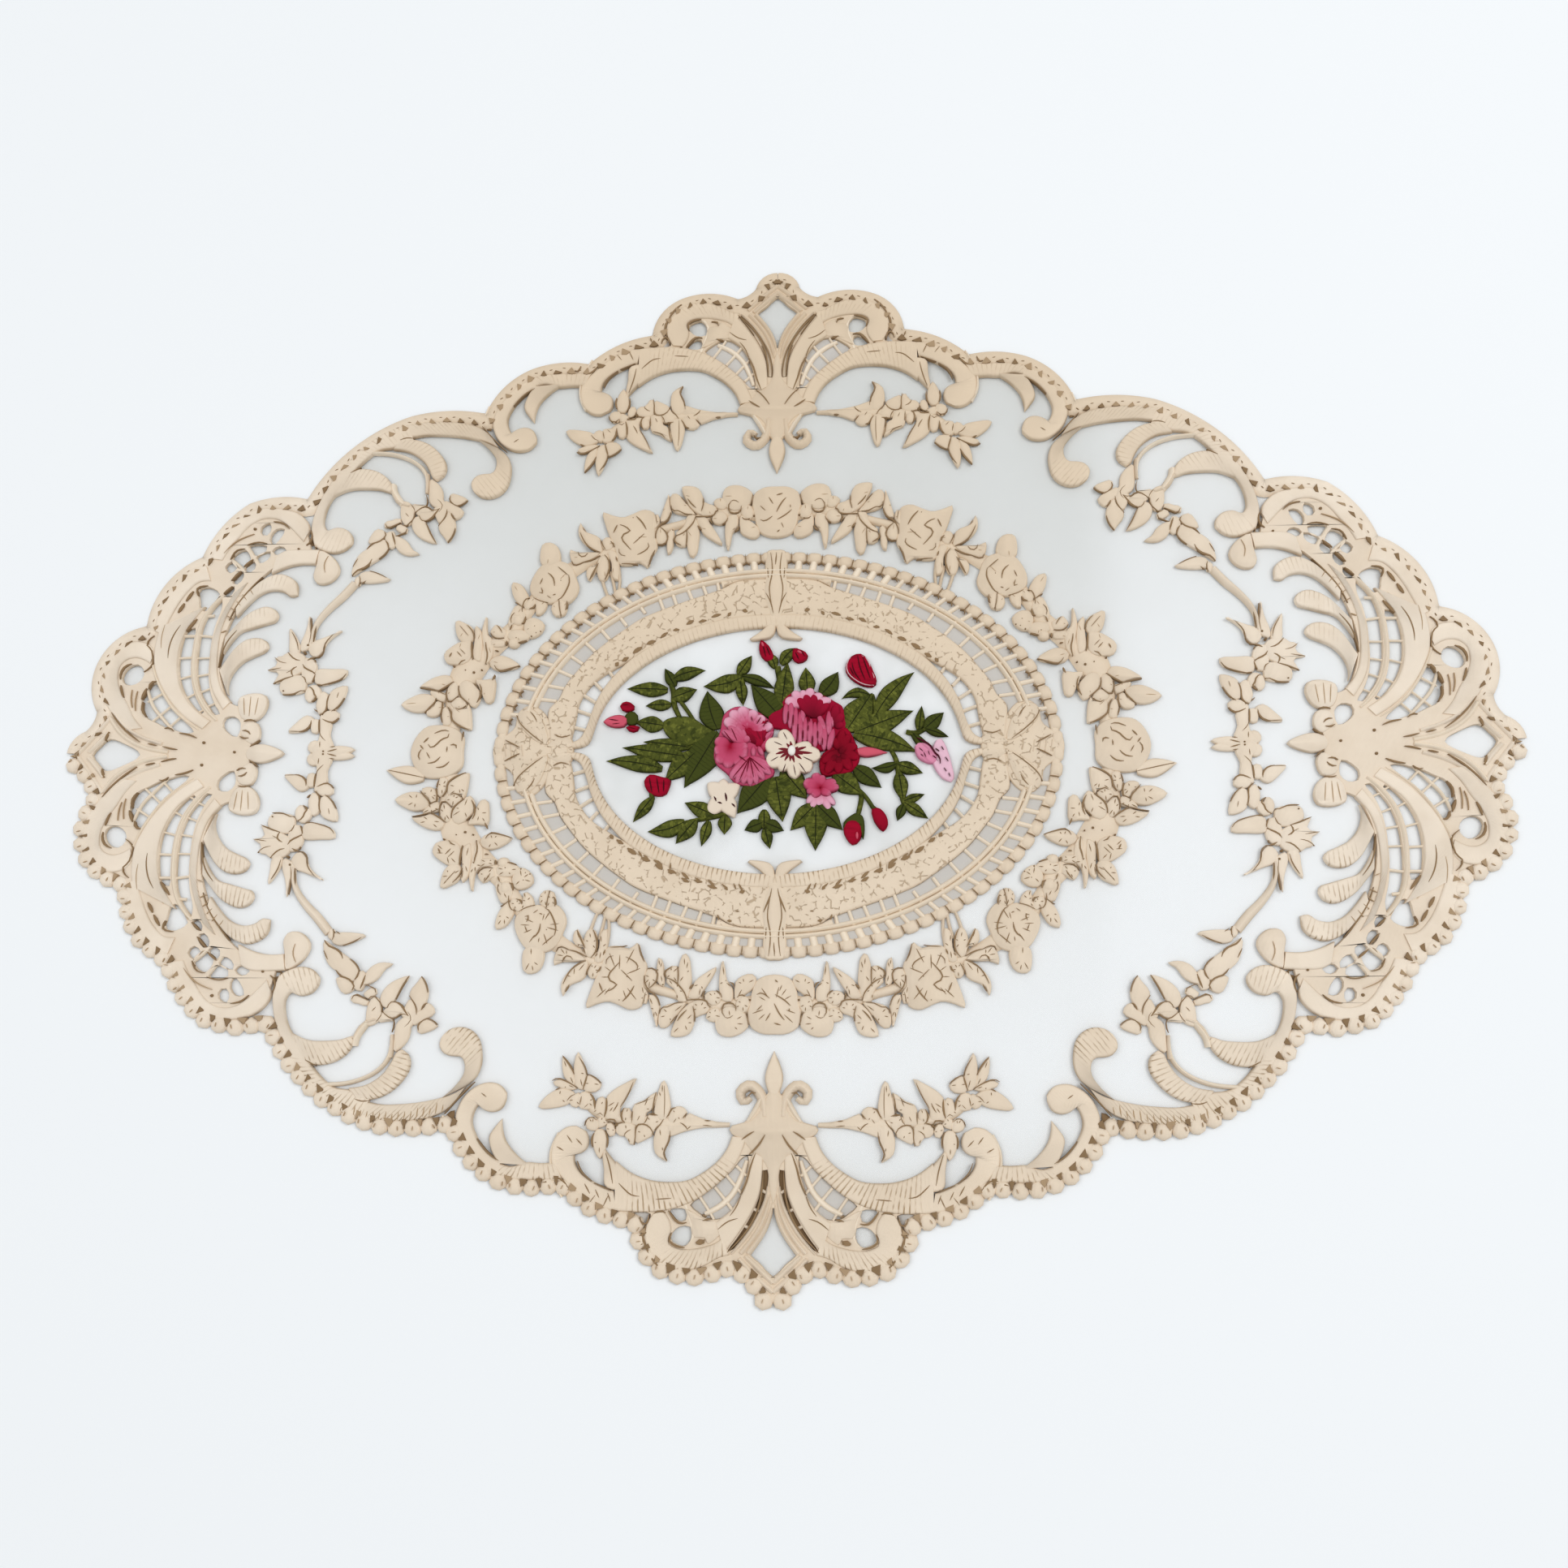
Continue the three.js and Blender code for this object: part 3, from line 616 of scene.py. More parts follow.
def creases(*rows: tuple[float, ...], level: Level = Level.BAND, tone: Tone = Tone.DEEP,
            share: float = 1) -> list[Stroke]:
    """Creases, each given by its half width, which share thins, and the x and y of its points."""
    return [Crease(in_pairs(row[1:]), row[0] * share, level, tone) for row in rows]


def folds(*rows: tuple[float, ...], level: Level = Level.PETAL) -> list[Stroke]:
    """Creases of painted shade that are thinner and less dark than their rows say."""
    return creases(*rows, level=level, tone=Tone.FOLD, share=0.75)


def bars(*rows: tuple[float, ...], level: Level = Level.BAR) -> list[Stroke]:
    """Bars, each given by the x and y of its ends and its half width."""
    return [Bar(row[:2], row[2:4], row[4], level=level) for row in rows]


def petals(*rows: tuple[float, ...], level: Level = Level.PETAL) -> list[Stroke]:
    """Flat raised petals, each given by the x and y of its outline points."""
    return [Pad(in_pairs(row), level=level, edge=0.35) for row in rows]


def veins(shapes: list[Pad], count: int, half: float = 0.1, tone: Tone = Tone.SHADE) -> list[Stroke]:
    """Short hairlines that run outward over each petal, count of them on each."""
    draw, strokes = np.random.default_rng(count), []
    for shape in shapes:
        loop = np.array(shape.outline, float)
        middle = loop.mean(axis=0)
        for tip in loop[draw.permutation(len(loop))[:count]]:
            start, end = 0.25 + 0.2 * draw.random(), 0.6 + 0.2 * draw.random()
            strokes.append(Crease([tuple(middle + (tip - middle) * share) for share in (start, end)],
                                  half, shape.level, tone))
    return strokes


def dots(*places: tuple[float, float, float]) -> list[Stroke]:
    """Small pits painted dark with shade, each given by x, y and half width."""
    return [Knob((x, y), (half, half), tone=Tone.DEEP, level=Level.BAND, edge=0) for x, y, half in places]


def sprout(*rows: tuple[float, ...], **look: object) -> list[Stroke]:
    """Leaves given by the x, y of base and tip, and width, and any bend."""
    return [Leaf(row[:2], row[2:4], row[4], row[5] if len(row) > 5 else 0, **look) for row in rows]


# ---- shading ------------------------------------------------------------------------
Rgb = tuple[int, int, int]


def linear(colour: Rgb) -> tuple[float, float, float, float]:
    """A display colour, 0 to 255, as the renderer counts light."""
    parts = [c / 255 for c in colour]
    return (*[c / 12.92 if c <= 0.04045 else ((c + 0.055) / 1.055) ** 2.4 for c in parts], 1.0)


class Wire:
    """A shader socket that can be reckoned with."""

    def __init__(self, shading: "Shading", socket: bpy.types.NodeSocket) -> None:
        """Wraps a socket of the shading's tree."""
        self.shading, self.socket = shading, socket

    def maths(self, operation: str, *terms: "Wire | float") -> "Wire":
        """The result of a Math node over the terms."""
        return self.shading.node("ShaderNodeMath", {"operation": operation}, dict(enumerate(terms)))

    def __add__(self, other: "Wire | float") -> "Wire":
        """Sum."""
        return self.maths("ADD", self, other)

    def __sub__(self, other: "Wire | float") -> "Wire":
        """Difference."""
        return self.maths("SUBTRACT", self, other)

    def __rsub__(self, other: "Wire | float") -> "Wire":
        """Difference, the other way round."""
        return self.maths("SUBTRACT", other, self)

    def __mul__(self, other: "Wire | float") -> "Wire":
        """Product."""
        return self.maths("MULTIPLY", self, other)

    def __truediv__(self, other: "Wire | float") -> "Wire":
        """Quotient."""
        return self.maths("DIVIDE", self, other)

    def __pow__(self, other: "Wire | float") -> "Wire":
        """Power."""
        return self.maths("POWER", self, other)

    def sine(self) -> "Wire":
        """Sine of a value in radians."""
        return self.maths("SINE", self)

    def ramp(self, low: float, high: float, start: float = 0.0, end: float = 1.0) -> "Wire":
        """A smooth climb from start to end while the value runs from low to high."""
        limits = {"From Min": low, "From Max": high, "To Min": start, "To Max": end}
        return self.shading.node("ShaderNodeMapRange", {"interpolation_type": "SMOOTHSTEP"},
                                 {"Value": self, **limits})


class Shading:
    """One material's node tree."""

    def __init__(self, name: str) -> None:
        """Starts a material with an empty tree."""
        self.material = bpy.data.materials.new(name)
        self.material.use_nodes = True
        self.tree = self.material.node_tree
        self.tree.nodes.clear()

    def node(self, kind: str, settings: dict | None = None, inputs: dict | None = None,
             output: int | str = 0) -> Wire:
        """Makes any node.

        Args:
            kind: Its type.
            settings: Its options, set first.
            inputs: Values or wires for its sockets, by number or name.
            output: Which of its outputs is returned.

        Returns:
            The wrapped output.
        """
        made = self.tree.nodes.new(kind)
        for key, value in (settings or {}).items():
            setattr(made, key, value)
        for key, value in (inputs or {}).items():
            if isinstance(value, Wire):
                self.tree.links.new(value.socket, made.inputs[key])
            else:
                made.inputs[key].default_value = value
        return Wire(self, made.outputs[output])

    def mix(self, share: Wire | float, first: Wire | tuple, second: Wire | tuple) -> Wire:
        """A colour between two, by share."""
        settings = {"data_type": "RGBA", "clamp_factor": True}
        return self.node("ShaderNodeMix", settings, {0: share, 6: first, 7: second}, 2)

    def value(self, title: str) -> Wire:
        """One of the values that ride on the points."""
        return self.node("ShaderNodeAttribute", {"attribute_name": title}, output="Fac")

    def across(self) -> tuple[Wire, Wire]:
        """How far along and how far across its stroke a point is, in millimetres."""
        at = self.node("ShaderNodeUVMap", {"uv_map": "stitches"})
        split = [self.node("ShaderNodeSeparateXYZ", inputs={0: at}, output=i) for i in (0, 1)]
        return split[0], split[1]

    def place(self) -> Wire:
        """Where a point of the piece is, in metres."""
        return self.node("ShaderNodeTexCoord", output="Object")

    def noise(self, scale: float, detail: float = 2.0) -> Wire:
        """Even noise, from 0 to 1, with scale spots to the metre."""
        return self.node("ShaderNodeTexNoise",
                         inputs={"Vector": self.place(), "Scale": scale, "Detail": detail})

    def surface(self, colour: Wire | tuple, height: Wire | None = None, depth: float = 0.0,
                links: dict | None = None, **constants: float) -> bpy.types.Material:
        """Ends the tree in one surface.

        Args:
            colour: Base colour.
            height: Relief that turns the light, from 0 to 1.
            depth: How deep that relief is, in metres.
            links: Further sockets that vary.
            constants: Further sockets that don't, by name with spaces as underscores.

        Returns:
            The finished material.
        """
        inputs = {"Base Color": colour, **(links or {})}
        inputs.update({key.replace("_", " "): value for key, value in constants.items()})
        if height is not None:
            inputs["Normal"] = self.node("ShaderNodeBump", inputs={"Height": height, "Distance": depth})
        shader = self.node("ShaderNodeBsdfPrincipled", inputs=inputs)
        self.node_output(shader)
        return self.material

    def node_output(self, shader: Wire) -> None:
        """Joins a shader to the material's output."""
        out = self.tree.nodes.new("ShaderNodeOutputMaterial")
        self.tree.links.new(shader.socket, out.inputs["Surface"])


@dataclass(frozen=True)
class Thread:
    """Finish of raised threadwork, coloured by how deep each part lies, which in ecru thread is painted
    shade.

    light, warm, shade, deep and ground_shade_and_glint are the colours of Tone,
    ends_and_lit_near_body is the body away from the far middle: paler towards both ends, and lit by
    painted light towards the near side.  border is the painted shade at a stroke's side and tick the
    colour of the shadow between satin stitches, which lie pitch millimetres apart.  grain is how far
    the warm colour clouds the body, speckle and fleck how far spots of pale and of dark thread show
    in it, and streak how far the shade runs along a stroke.  outline is the least and the most that
    border shows.
    """

    name: str
    light: Rgb
    body: Rgb
    warm: Rgb
    shade: Rgb
    deep: Rgb
    border: Rgb
    tick: Rgb
    ground_shade_and_glint: Rgb = (208, 205, 200)
    ends_and_lit_near_body: Rgb | None = None
    pitch: float = 1.3
    grain: float = 0.35
    speckle: float = 0.0
    fleck: float = 0.0
    streak: float = 0.0
    outline: tuple[float, float] = (0.2, 0.8)
    roughness: float = 0.75
    sheen: float = 0.05
    gloss: float = 0.25

    MIDDLE_X = (0.002, 0.025)  # square metres: where the body turns paler towards both ends, by x squared
    MIDDLE_Y = (-0.11, 0.13)  # metres: and from the far to the near side, where painted light makes it paler
    BUMP = 0.00025  # metres

    def make(self) -> bpy.types.Material:
        """Builds the material."""
        s = Shading(self.name)
        along, across = s.across()
        tone, edge, shown, crust = (s.value(title) for title in ("tone", "edge", "stitch", "crust"))
        cloudy, fine = s.noise(90, 3), s.noise(420, 1)
        x, y = (s.node("ShaderNodeSeparateXYZ", inputs={0: s.place()}, output=i) for i in (0, 1))
        # paler towards both ends, and painted light: paler towards the near side
        kept = (x * x).ramp(*self.MIDDLE_X, 1, 0) * y.ramp(*self.MIDDLE_Y, 0.5, 1)
        body = s.mix(kept, linear(self.ends_and_lit_near_body or self.body), linear(self.body))
        body = s.mix(cloudy.ramp(0.35, 0.75) * self.grain, body, linear(self.warm))
        if self.speckle:
            body = s.mix(s.noise(700, 2).ramp(0.5, 0.66) * self.speckle, body, linear(self.light))
        if self.fleck:
            body = s.mix(s.noise(560, 2).ramp(0.55, 0.62) * self.fleck, body, linear(self.shade))
        if self.streak:
            run = s.node("ShaderNodeCombineXYZ", inputs={0: along * 0.16, 1: across * 1.1, 2: cloudy * 2.0})
            veined = s.node("ShaderNodeTexNoise", inputs={"Vector": run, "Scale": 1.0, "Detail": 2.0})
            body = s.mix(veined.ramp(0.48, 0.68) * self.streak, body, linear(self.shade))
        light, warm, shade = Tone.LIGHT.value, Tone.WARM.value, Tone.SHADE.value
        # tones past BODY paint shade in ecru thread; ground_shade_and_glint paints the shaded ground in an
        # opening, or a glint
        colour = s.mix(tone.ramp(light, 0), linear(self.light), body)
        colour = s.mix(tone.ramp(Tone.GROUND_SHADE_AND_GLINT.value, -0.9), linear(self.ground_shade_and_glint), colour)
        colour = s.mix(tone.ramp(0, warm), colour, linear(self.warm))
        colour = s.mix(tone.ramp(warm, shade), colour, linear(self.shade))
        colour = s.mix(tone.ramp(shade, Tone.DEEP.value), colour, linear(self.deep))
        shallow = 1 - tone.ramp(warm, shade)
        stripe = ((along / self.pitch + across * 0.1 + cloudy * 0.6) * math.tau).sine()
        strand = ((along * 4.1 + cloudy * 2.5) * math.tau).sine()
        tick = stripe.ramp(0.45, 1.0) * shown * shallow * fine.ramp(0.3, 0.6)
        gaps = s.node("ShaderNodeTexVoronoi", {"feature": "DISTANCE_TO_EDGE"},
                      {"Vector": s.place(), "Scale": 430.0, "Randomness": 1.0})
        crack = gaps.ramp(0.02, 0.09, 1, 0) * s.noise(520, 2).ramp(0.5, 0.57) * crust * shallow
        colour = s.mix(tick, colour, linear(self.tick))
        # painted shade along each stroke's border
        colour = s.mix(edge * shallow * s.noise(160, 2).ramp(0.3, 0.7, *self.outline), colour,
                       linear(self.border))
        colour = s.mix(crack * 0.7, colour, linear(self.shade))
        height = strand * 0.12 + cloudy * 0.5 - tick * 0.8 - edge * 0.2 - crack * 0.6 + crust * fine * 0.8
        return s.surface(colour, height, self.BUMP, Roughness=self.roughness, Sheen_Weight=self.sheen,
                         Specular_IOR_Level=self.gloss)


@dataclass(frozen=True)
class Sheer:
    """Finish of the organza: a fine plain weave that the table shows through.

    far and near are its colours towards the +Y and the -Y side, the far one greyed by painted
    shade, cover how much of what lies below it hides in each.  The cloth inside the wreath is
    clouded with painted shade instead.
    """

    name: str
    far: Rgb
    near: Rgb
    cover: tuple[float, float]
    threads_per_metre: float = 2600

    OVAL = (0.062, 0.042)  # half length and half width of the clouded part, in metres

    def make(self) -> bpy.types.Material:
        """Builds the material."""
        s = Shading(self.name)
        place = s.place()
        x, y = (s.node("ShaderNodeSeparateXYZ", inputs={0: place}, output=i) for i in (0, 1))
        inside = ((x / self.OVAL[0]) ** 2.0 + (y / self.OVAL[1]) ** 2.0).ramp(0.9, 1.2, 1, 0)
        # painted shade: greyer towards the far side and the near edge, whiter towards both ends
        far = y.ramp(-0.1, 0.115, 0.04) - x.ramp(-0.15, -0.05, 0.25, 0) + y.ramp(-0.13, -0.085, 0.55, 0)
        far = far - x.ramp(0.08, 0.105, 0, 0.45)
        # inside the wreath, clouds of painted shade in place of that
        far = far * (1 - inside) + inside * s.noise(55, 2).ramp(0.35, 0.65, 0.1, 0.6)
        colour = s.mix(far, linear(self.near), linear(self.far))
        turns = math.tau * self.threads_per_metre
        weave = (x * turns).sine() * (y * turns).sine()
        alpha = far * (self.cover[0] - self.cover[1]) + self.cover[1] + s.noise(40, 2) * 0.06 + weave * 0.03
        return s.surface(colour, links={"Alpha": alpha}, Roughness=0.6, Sheen_Weight=0.1)


@dataclass(frozen=True)
class Plain:
    """An even finish."""

    name: str
    colour: Rgb
    roughness: float = 0.8

    def make(self) -> bpy.types.Material:
        """Builds the material."""
        return Shading(self.name).surface(linear(self.colour), Roughness=self.roughness)


# ---- the doily ----------------------------------------------------------------------
# Its tones past the body and its border are painted shade; ground_shade_and_glint is the shaded ground
# under openings.
ECRU = Thread("ecru thread", light=(249, 234, 212), body=(229, 209, 182), warm=(220, 200, 174),
              shade=(176, 150, 118), deep=(138, 112, 80), border=(184, 157, 121), tick=(176, 146, 108),
              ends_and_lit_near_body=(248, 234, 215), outline=(0.15, 0.7))

# Quarter of the scalloped edge, from the top middle to the right end: each arc's middle and end.
EDGE_START = (0, 145.5)
EDGE_ARCS = (
    ((4.2, 144.2), (6.5, 140.4)), ((8.6, 138.4), (11.8, 137.2)), ((20.5, 139.3), (28.5, 137.8)),
    ((34.3, 133.3), (37, 126)), ((47, 123.2), (55.5, 117.3)), ((65, 117.9), (72, 116.3)),
    ((80.5, 110.5), (85.5, 102.2)), ((96, 103.4), (108, 101.8)), ((125, 91.8), (136.8, 76.4)),
    ((146, 77.2), (154, 75.3)), ((161.5, 68.3), (166.4, 59)), ((175.5, 52.2), (180.8, 38.2)),
    ((191.5, 32), (192.6, 12.8)), ((193.3, 9.8), (195.2, 7.2)), ((199, 4), (200, 0)),
)


def edge_quarter(step: float) -> Points:
    """The quarter of the scalloped edge, with points about step apart."""
    quarter = [EDGE_START]
    for by, end in EDGE_ARCS:
        quarter += arc_points(quarter[-1], by, end, step)
    return quarter


@dataclass(frozen=True)
class Ground:
    """The sheer organza that everything is worked on."""

    low: float = 0.1
    high: float = 0.45
    inset: float = 1.3

    def build(self) -> Iterator[bpy.types.Object]:
        """Makes the sheet."""
        loop = np.array(four_quarters(edge_quarter(1.2)))
        loop = loop if signed_area(loop) > 0 else loop[::-1]
        loop = loop + left_of(loop, True) * self.inset
        count = len(loop)
        points = np.vstack([np.column_stack([loop, np.full(count, z)]) for z in (self.low, self.high)])
        faces = [(i, (i + 1) % count, (i + 1) % count + count, i + count) for i in range(count)]
        for a, b, c in tessellate_polygon([[Vector((*p, 0)) for p in loop]]):
            if signed_area(loop[[a, b, c]]) < 0:
                b, c = c, b
            faces += [(a + count, b + count, c + count), (a, c, b)]
        mesh = bpy.data.meshes.new("organza")
        mesh.from_pydata((points * MM).tolist(), [], faces)
        # the far colour is greyed by painted shade
        finish = Sheer("organza", far=(212, 212, 206), near=(248, 248, 247), cover=(0.21, 0.13))
        piece = set_in_frame("organza", mesh, finish.make(), "sheer_organza", ("ground_panel",), sharp=30)
        yield piece


class Border:
    """The openwork border: edge row, cartouches, scallops and leaf fingers."""

    PITCH = 4.3  # along the edge, from bobble to bobble
    ROW_INSET = 2.85  # from the edge to the middle of the bobbles
    DASHED_FROM = 154  # the x from which the gaps between bobbles are smaller
    MARK = 0.13  # half width of a thread line on a bobble
    SEED = 5
    TICKS = (86.6, 110, 15)  # first and last x of the near scallop's stitch lines, and their count

    # Openings of the top cartouche, to the right of the Y axis: slot, net lens, eyelets, cells.
    SLOT = [(1.6, 111), (2.6, 111), (2.9, 115.5), (4.3, 119.5), (6.4, 123.6), (9, 127.6), (11.4, 130.8),
            (9.5, 129.6), (6.3, 126), (3.9, 122), (2.2, 118), (1.6, 115)]
    LENS = [(6.6, 107.4), (8.4, 108.4), (10.4, 110.9), (15, 115), (19.6, 118.4), (21.2, 119.6), (19, 121.6),
            (16.4, 123), (13.6, 123), (10.8, 121.8), (9, 119), (8, 115.8), (7, 112.6)]
    EYELET_OUTER = [(20.2, 126), (21.2, 128.8), (22.4, 129.7), (24.4, 129.3), (26.1, 128.2), (25.4, 126.2),
                    (23.4, 124.9), (21.4, 125)]
    EYELET_INNER = [(22.3, 120.9), (22.6, 123.6), (24.4, 123.4), (26.6, 121), (24.4, 120.6)]
    CELLS = [(31.4, 122), (36.4, 122), (37, 124), (35.6, 126), (34, 127.8), (33, 127.6), (32.4, 125.4)]
    DIAMOND = closed_on_y([(0, 136.8), (3.1, 133.9), (6, 131.1), (4, 128), (2, 124.8), (.6, 121.4),
                           (0, 119.8)])
    BODY_HALF = [(0, 142.6), (4, 140.8), (7, 138), (12, 135.5), (20.5, 136.6), (27, 135.4), (32, 132),
                 (35, 127.5), (37.4, 124.6), (38, 121), (30, 119), (22, 116.4), (14.6, 112.2), (10, 107),
                 (9.4, 103), (8.4, 100), (5, 96.6), (3, 93), (0, 91.4)]

    # Strokes of the top cartouche that lie to the right of the Y axis.
    TOP = [
        Cord([(0, 138.2, .95), (3.2, 135.4, .95), (7, 131.9, .8)]),
        Cord([(0, 140.4, 1), (3.6, 137.4, 1), (8.6, 132.6, .8)]),
        Cord([(.35, 119, .3), (.9, 122, .6), (2.6, 126, .8), (6.4, 131.2, .9)]),
        Cord([(.9, 117, .4), (1.8, 121, .7), (4, 125.8, .8), (8.2, 131.2, .9)]),
        Cord([(1.4, 115, .4), (2.2, 119, .6), (4.2, 123.2, .75), (6.6, 126.9, .75), (10.6, 131.4, .5)]),
        Band([(2.6, 108), (2.7, 111.5), (3.2, 116), (5, 120.6), (8, 125.6), (12.2, 131.2)],
             [(5.2, 106.5), (6.2, 108.6), (6.7, 112.5), (8.2, 116.8), (10.8, 120.8), (14.6, 123.6)]),
        Band([(11, 131.8), (14, 132.6), (17, 134.3), (21, 135.5), (25, 135.6), (28.5, 134.2), (31.2, 131.6),
              (32.8, 128.5), (32.6, 125), (30.8, 121.8)],
             [(12.5, 127), (14.5, 128.6), (17.3, 129.6), (20.5, 130.2), (24, 130.1), (26.4, 128.9),
              (26.4, 127.6), (25.8, 126), (26.2, 123.6), (27.6, 121.4)], (1, .1), (0, .6)),
        Pad([(12, 124.8), (14.6, 128.2), (17, 129.4), (17.2, 127.9), (20.3, 127.6), (21, 124),
             (22.4, 120.4), (19.6, 121.6), (17, 123), (14.5, 123.4)]),
        Crease([(9, 122.8), (11.5, 123.6), (14, 125.5)]),
        Band([(24, 114.5), (21.9, 119.6), (20.6, 123), (19.6, 126.8), (20.6, 129.6), (22, 130.4)],
             [(25.4, 114.5), (23.1, 119.6), (21.8, 123), (20.8, 127), (21.6, 129), (23, 129.9)],
             tone=Tone.LIGHT),
        *folds((.3, 17.3, 127.9, 17.6, 128.8, 19.4, 129.1),
               (.36, 22.4, 130, 24.6, 129.6, 26.3, 128.4, 25.8, 126.4), (.4, 22, 123.9, 24, 124, 26.7, 121),
               (.3, 31.6, 122, 32.4, 124.4, 33.4, 124.2, 34, 122.6), (.22, 33, 129, 33.2, 126.4),
               (.34, 28.4, 135, 30.6, 132.8, 32, 130.6), (.36, 31.6, 131, 32.6, 129, 33, 127.2),
               (.3, 32.9, 127, 32.4, 124.6), (.24, 34.2, 117.6, 36.4, 117.2, 38.4, 115.6, 39.6, 114.4),
               (.2, 26, 118, 30, 118.3), (.3, 36.8, 123, 37.4, 124.4),
               (.16, 41.6, 116.2, 44, 115.2, 46, 114.4), (.18, 46.6, 114, 49.4, 111.6, 50.6, 109),
               (.22, 27.9, 121.2, 28.6, 121), (.34, 52.6, 115.6, 54.8, 113.4, 56.8, 113.3),
               (.3, 57.6, 115.8, 58.4, 114.2, 59.4, 114.4), (.2, 42.2, 117.4, 43.4, 120),
               (.16, 45.6, 117.4, 47, 119.2), (.36, 15.8, 122.9, 17.9, 123.4),
               (.34, 4.6, 106.8, 5.8, 110, 7, 114.2, 8.4, 117), (.2, 8.4, 117.4, 9.4, 120, 11, 122.2),
               level=Level.BAND),
        Cord([(54.4, 118, .4), (57.2, 112, .5), (57.6, 106.6, .5), (55.8, 102, .4)], Level.BAND,
             Tone.LIGHT),
        Band([(6.9, 103.2), (8, 106.4), (10, 110.2), (14.6, 114.8), (20, 118.6), (24.5, 120.4), (29, 121.4),
              (35, 121.6), (40.5, 121.3)],
             [(10.8, 102.6), (12.2, 106), (14.6, 109), (18, 111.6), (22, 113.6), (26.5, 114.1),
              (31.5, 113.7), (36.4, 112), (40.6, 109)], (1, .5), (.2, .9)),
        Band([(40.5, 116.2), (43.2, 115.4), (43.7, 111), (44.2, 107.4), (43.6, 105.8)],
             [(39.6, 110.4), (41.2, 108.8), (42.6, 107.2), (43.4, 106.2), (43.6, 105.8)]),
        Crease([(41.2, 114.5), (42, 110.6), (43.2, 107)]),
        Band([(40, 121.4), (44.5, 120.6), (48.6, 118.6), (52.4, 115.4), (55.4, 112.4), (57.4, 109.6)],
             [(41, 116.4), (44, 115.2), (47.2, 113.6), (49.8, 111.6), (51.2, 109.4), (51.4, 107.4)]),
        Band([(57.4, 109.6), (57.6, 106.4), (56.6, 103), (54, 100.6), (51.4, 100.2)],
             [(51.4, 107.4), (49.6, 107), (48.2, 105.8), (47.8, 103.6), (48.6, 101.6)]),
        Cord([(2.4, 97.6, 1.1), (3.4, 92.4, 1.4), (6.2, 89.9, 1.45), (8.7, 91.6, 1.35), (7.8, 94, 1.15),
              (6, 93, .8)]),
        Crease([(4.6, 91.8), (5.8, 91.7), (6.6, 92.5)], .25),
        # a paler strap, a painted highlight
        Cord([(6.8, 99, .5), (4.8, 96, .7), (3, 92.4, .6)], tone=Tone.LIGHT),
        Cord([(6.9, 108.6, .5), (8.2, 112.6, .7), (10.2, 116.6, .75), (13.2, 119.6, .75),
              (17.4, 121.9, .6)],
             level=Level.BAR, tone=Tone.LIGHT),
        *[Cord(line, level=Level.BAR, tone=Tone.LIGHT)
          for line in ([(9.8, 121.8, .4), (12.2, 118.6, .45), (15, 115.3, .4)],
                       [(15.2, 123.2, .4), (16.8, 120.6, .4), (18.9, 117.6, .4)],
                       [(8.1, 116.8, .4), (9.6, 115.2, .4), (12.6, 111.8, .4)],
                       [(7, 112.4, .4), (9.6, 110, .4)])],
    ]
    TOP_MIDDLE = [
        Pad(closed_on_y(BODY_HALF), (DIAMOND, *both_sides(SLOT, LENS, EYELET_OUTER, EYELET_INNER, CELLS)),
            tone=Tone.SLIGHTLY_DARKER, level=Level.BODY, rounding=.2),
        Pad(closed_on_y([(0, 119.5), (1.2, 116), (1.6, 111), (2.6, 109), (5.4, 106.9), (7.5, 104.4),
                         (11.2, 101.8), (11.4, 100.4), (8.6, 99.4), (5.8, 98.4), (3.6, 96), (2.2, 93),
                         (1.2, 91), (0, 90.6)]), tone=Tone.SLIGHTLY_DARKER, edge=.7),
        *creases((.17, 6.2, 107, 4, 104.8, 2.2, 102.2), (.17, -6.2, 107, -4, 104.8, -2.2, 102.2)),
        Leaf((0, 92.6), (0, 81), 4.8),
        *[Crease(line, .24) for line in both_sides(
            [(8.2, 103.5), (6.4, 102.2), (5, 101.4)],
            [(11.6, 131), (7, 126.2), (4.2, 121.4), (3, 116.4), (2.6, 111)])],
        # sheets of painted shade under the net lens and the cells
        *[Pad(hole, tone=Tone.GROUND_SHADE_AND_GLINT, level=Level.FOOTING, rounding=.1) for hole in both_sides(LENS, CELLS)],
    ]
    # What fills the slots: threads along the +Y side, a dark pad of painted shade under small bars along
    # the -Y side.
    FAR_SLOT = [
        Pad(SLOT, tone=Tone.WARM, level=Level.BODY, rounding=.1, edge=.5),
        *folds((.28, 1.5, 111, 1.9, 116, 3.6, 121.4, 6.2, 126, 10.8, 130.8),
               (.22, 2.5, 111.6, 2.9, 116, 4.6, 121), (.2, 6.8, 124.4, 9.2, 128, 11, 130.4),
               level=Level.PAD),
    ]
    NEAR_SLOT = [
        Pad(SLOT, tone=Tone.DEEP, level=Level.FOOTING, rounding=.1),
        *[Cord([(a, b, .4), (c, d, .45)], Level.BAR, Tone.LIGHT, step=3)
          for a, b, c, d in ((1, 117, 3.8, 115.6), (2.6, 121.6, 5.4, 120.4), (4.8, 125.8, 8, 124.4))],
        Cord([(3.6, 121.8, .25), (5.4, 124.8, .3), (9.4, 129.6, .2)], Level.BAR),
    ]
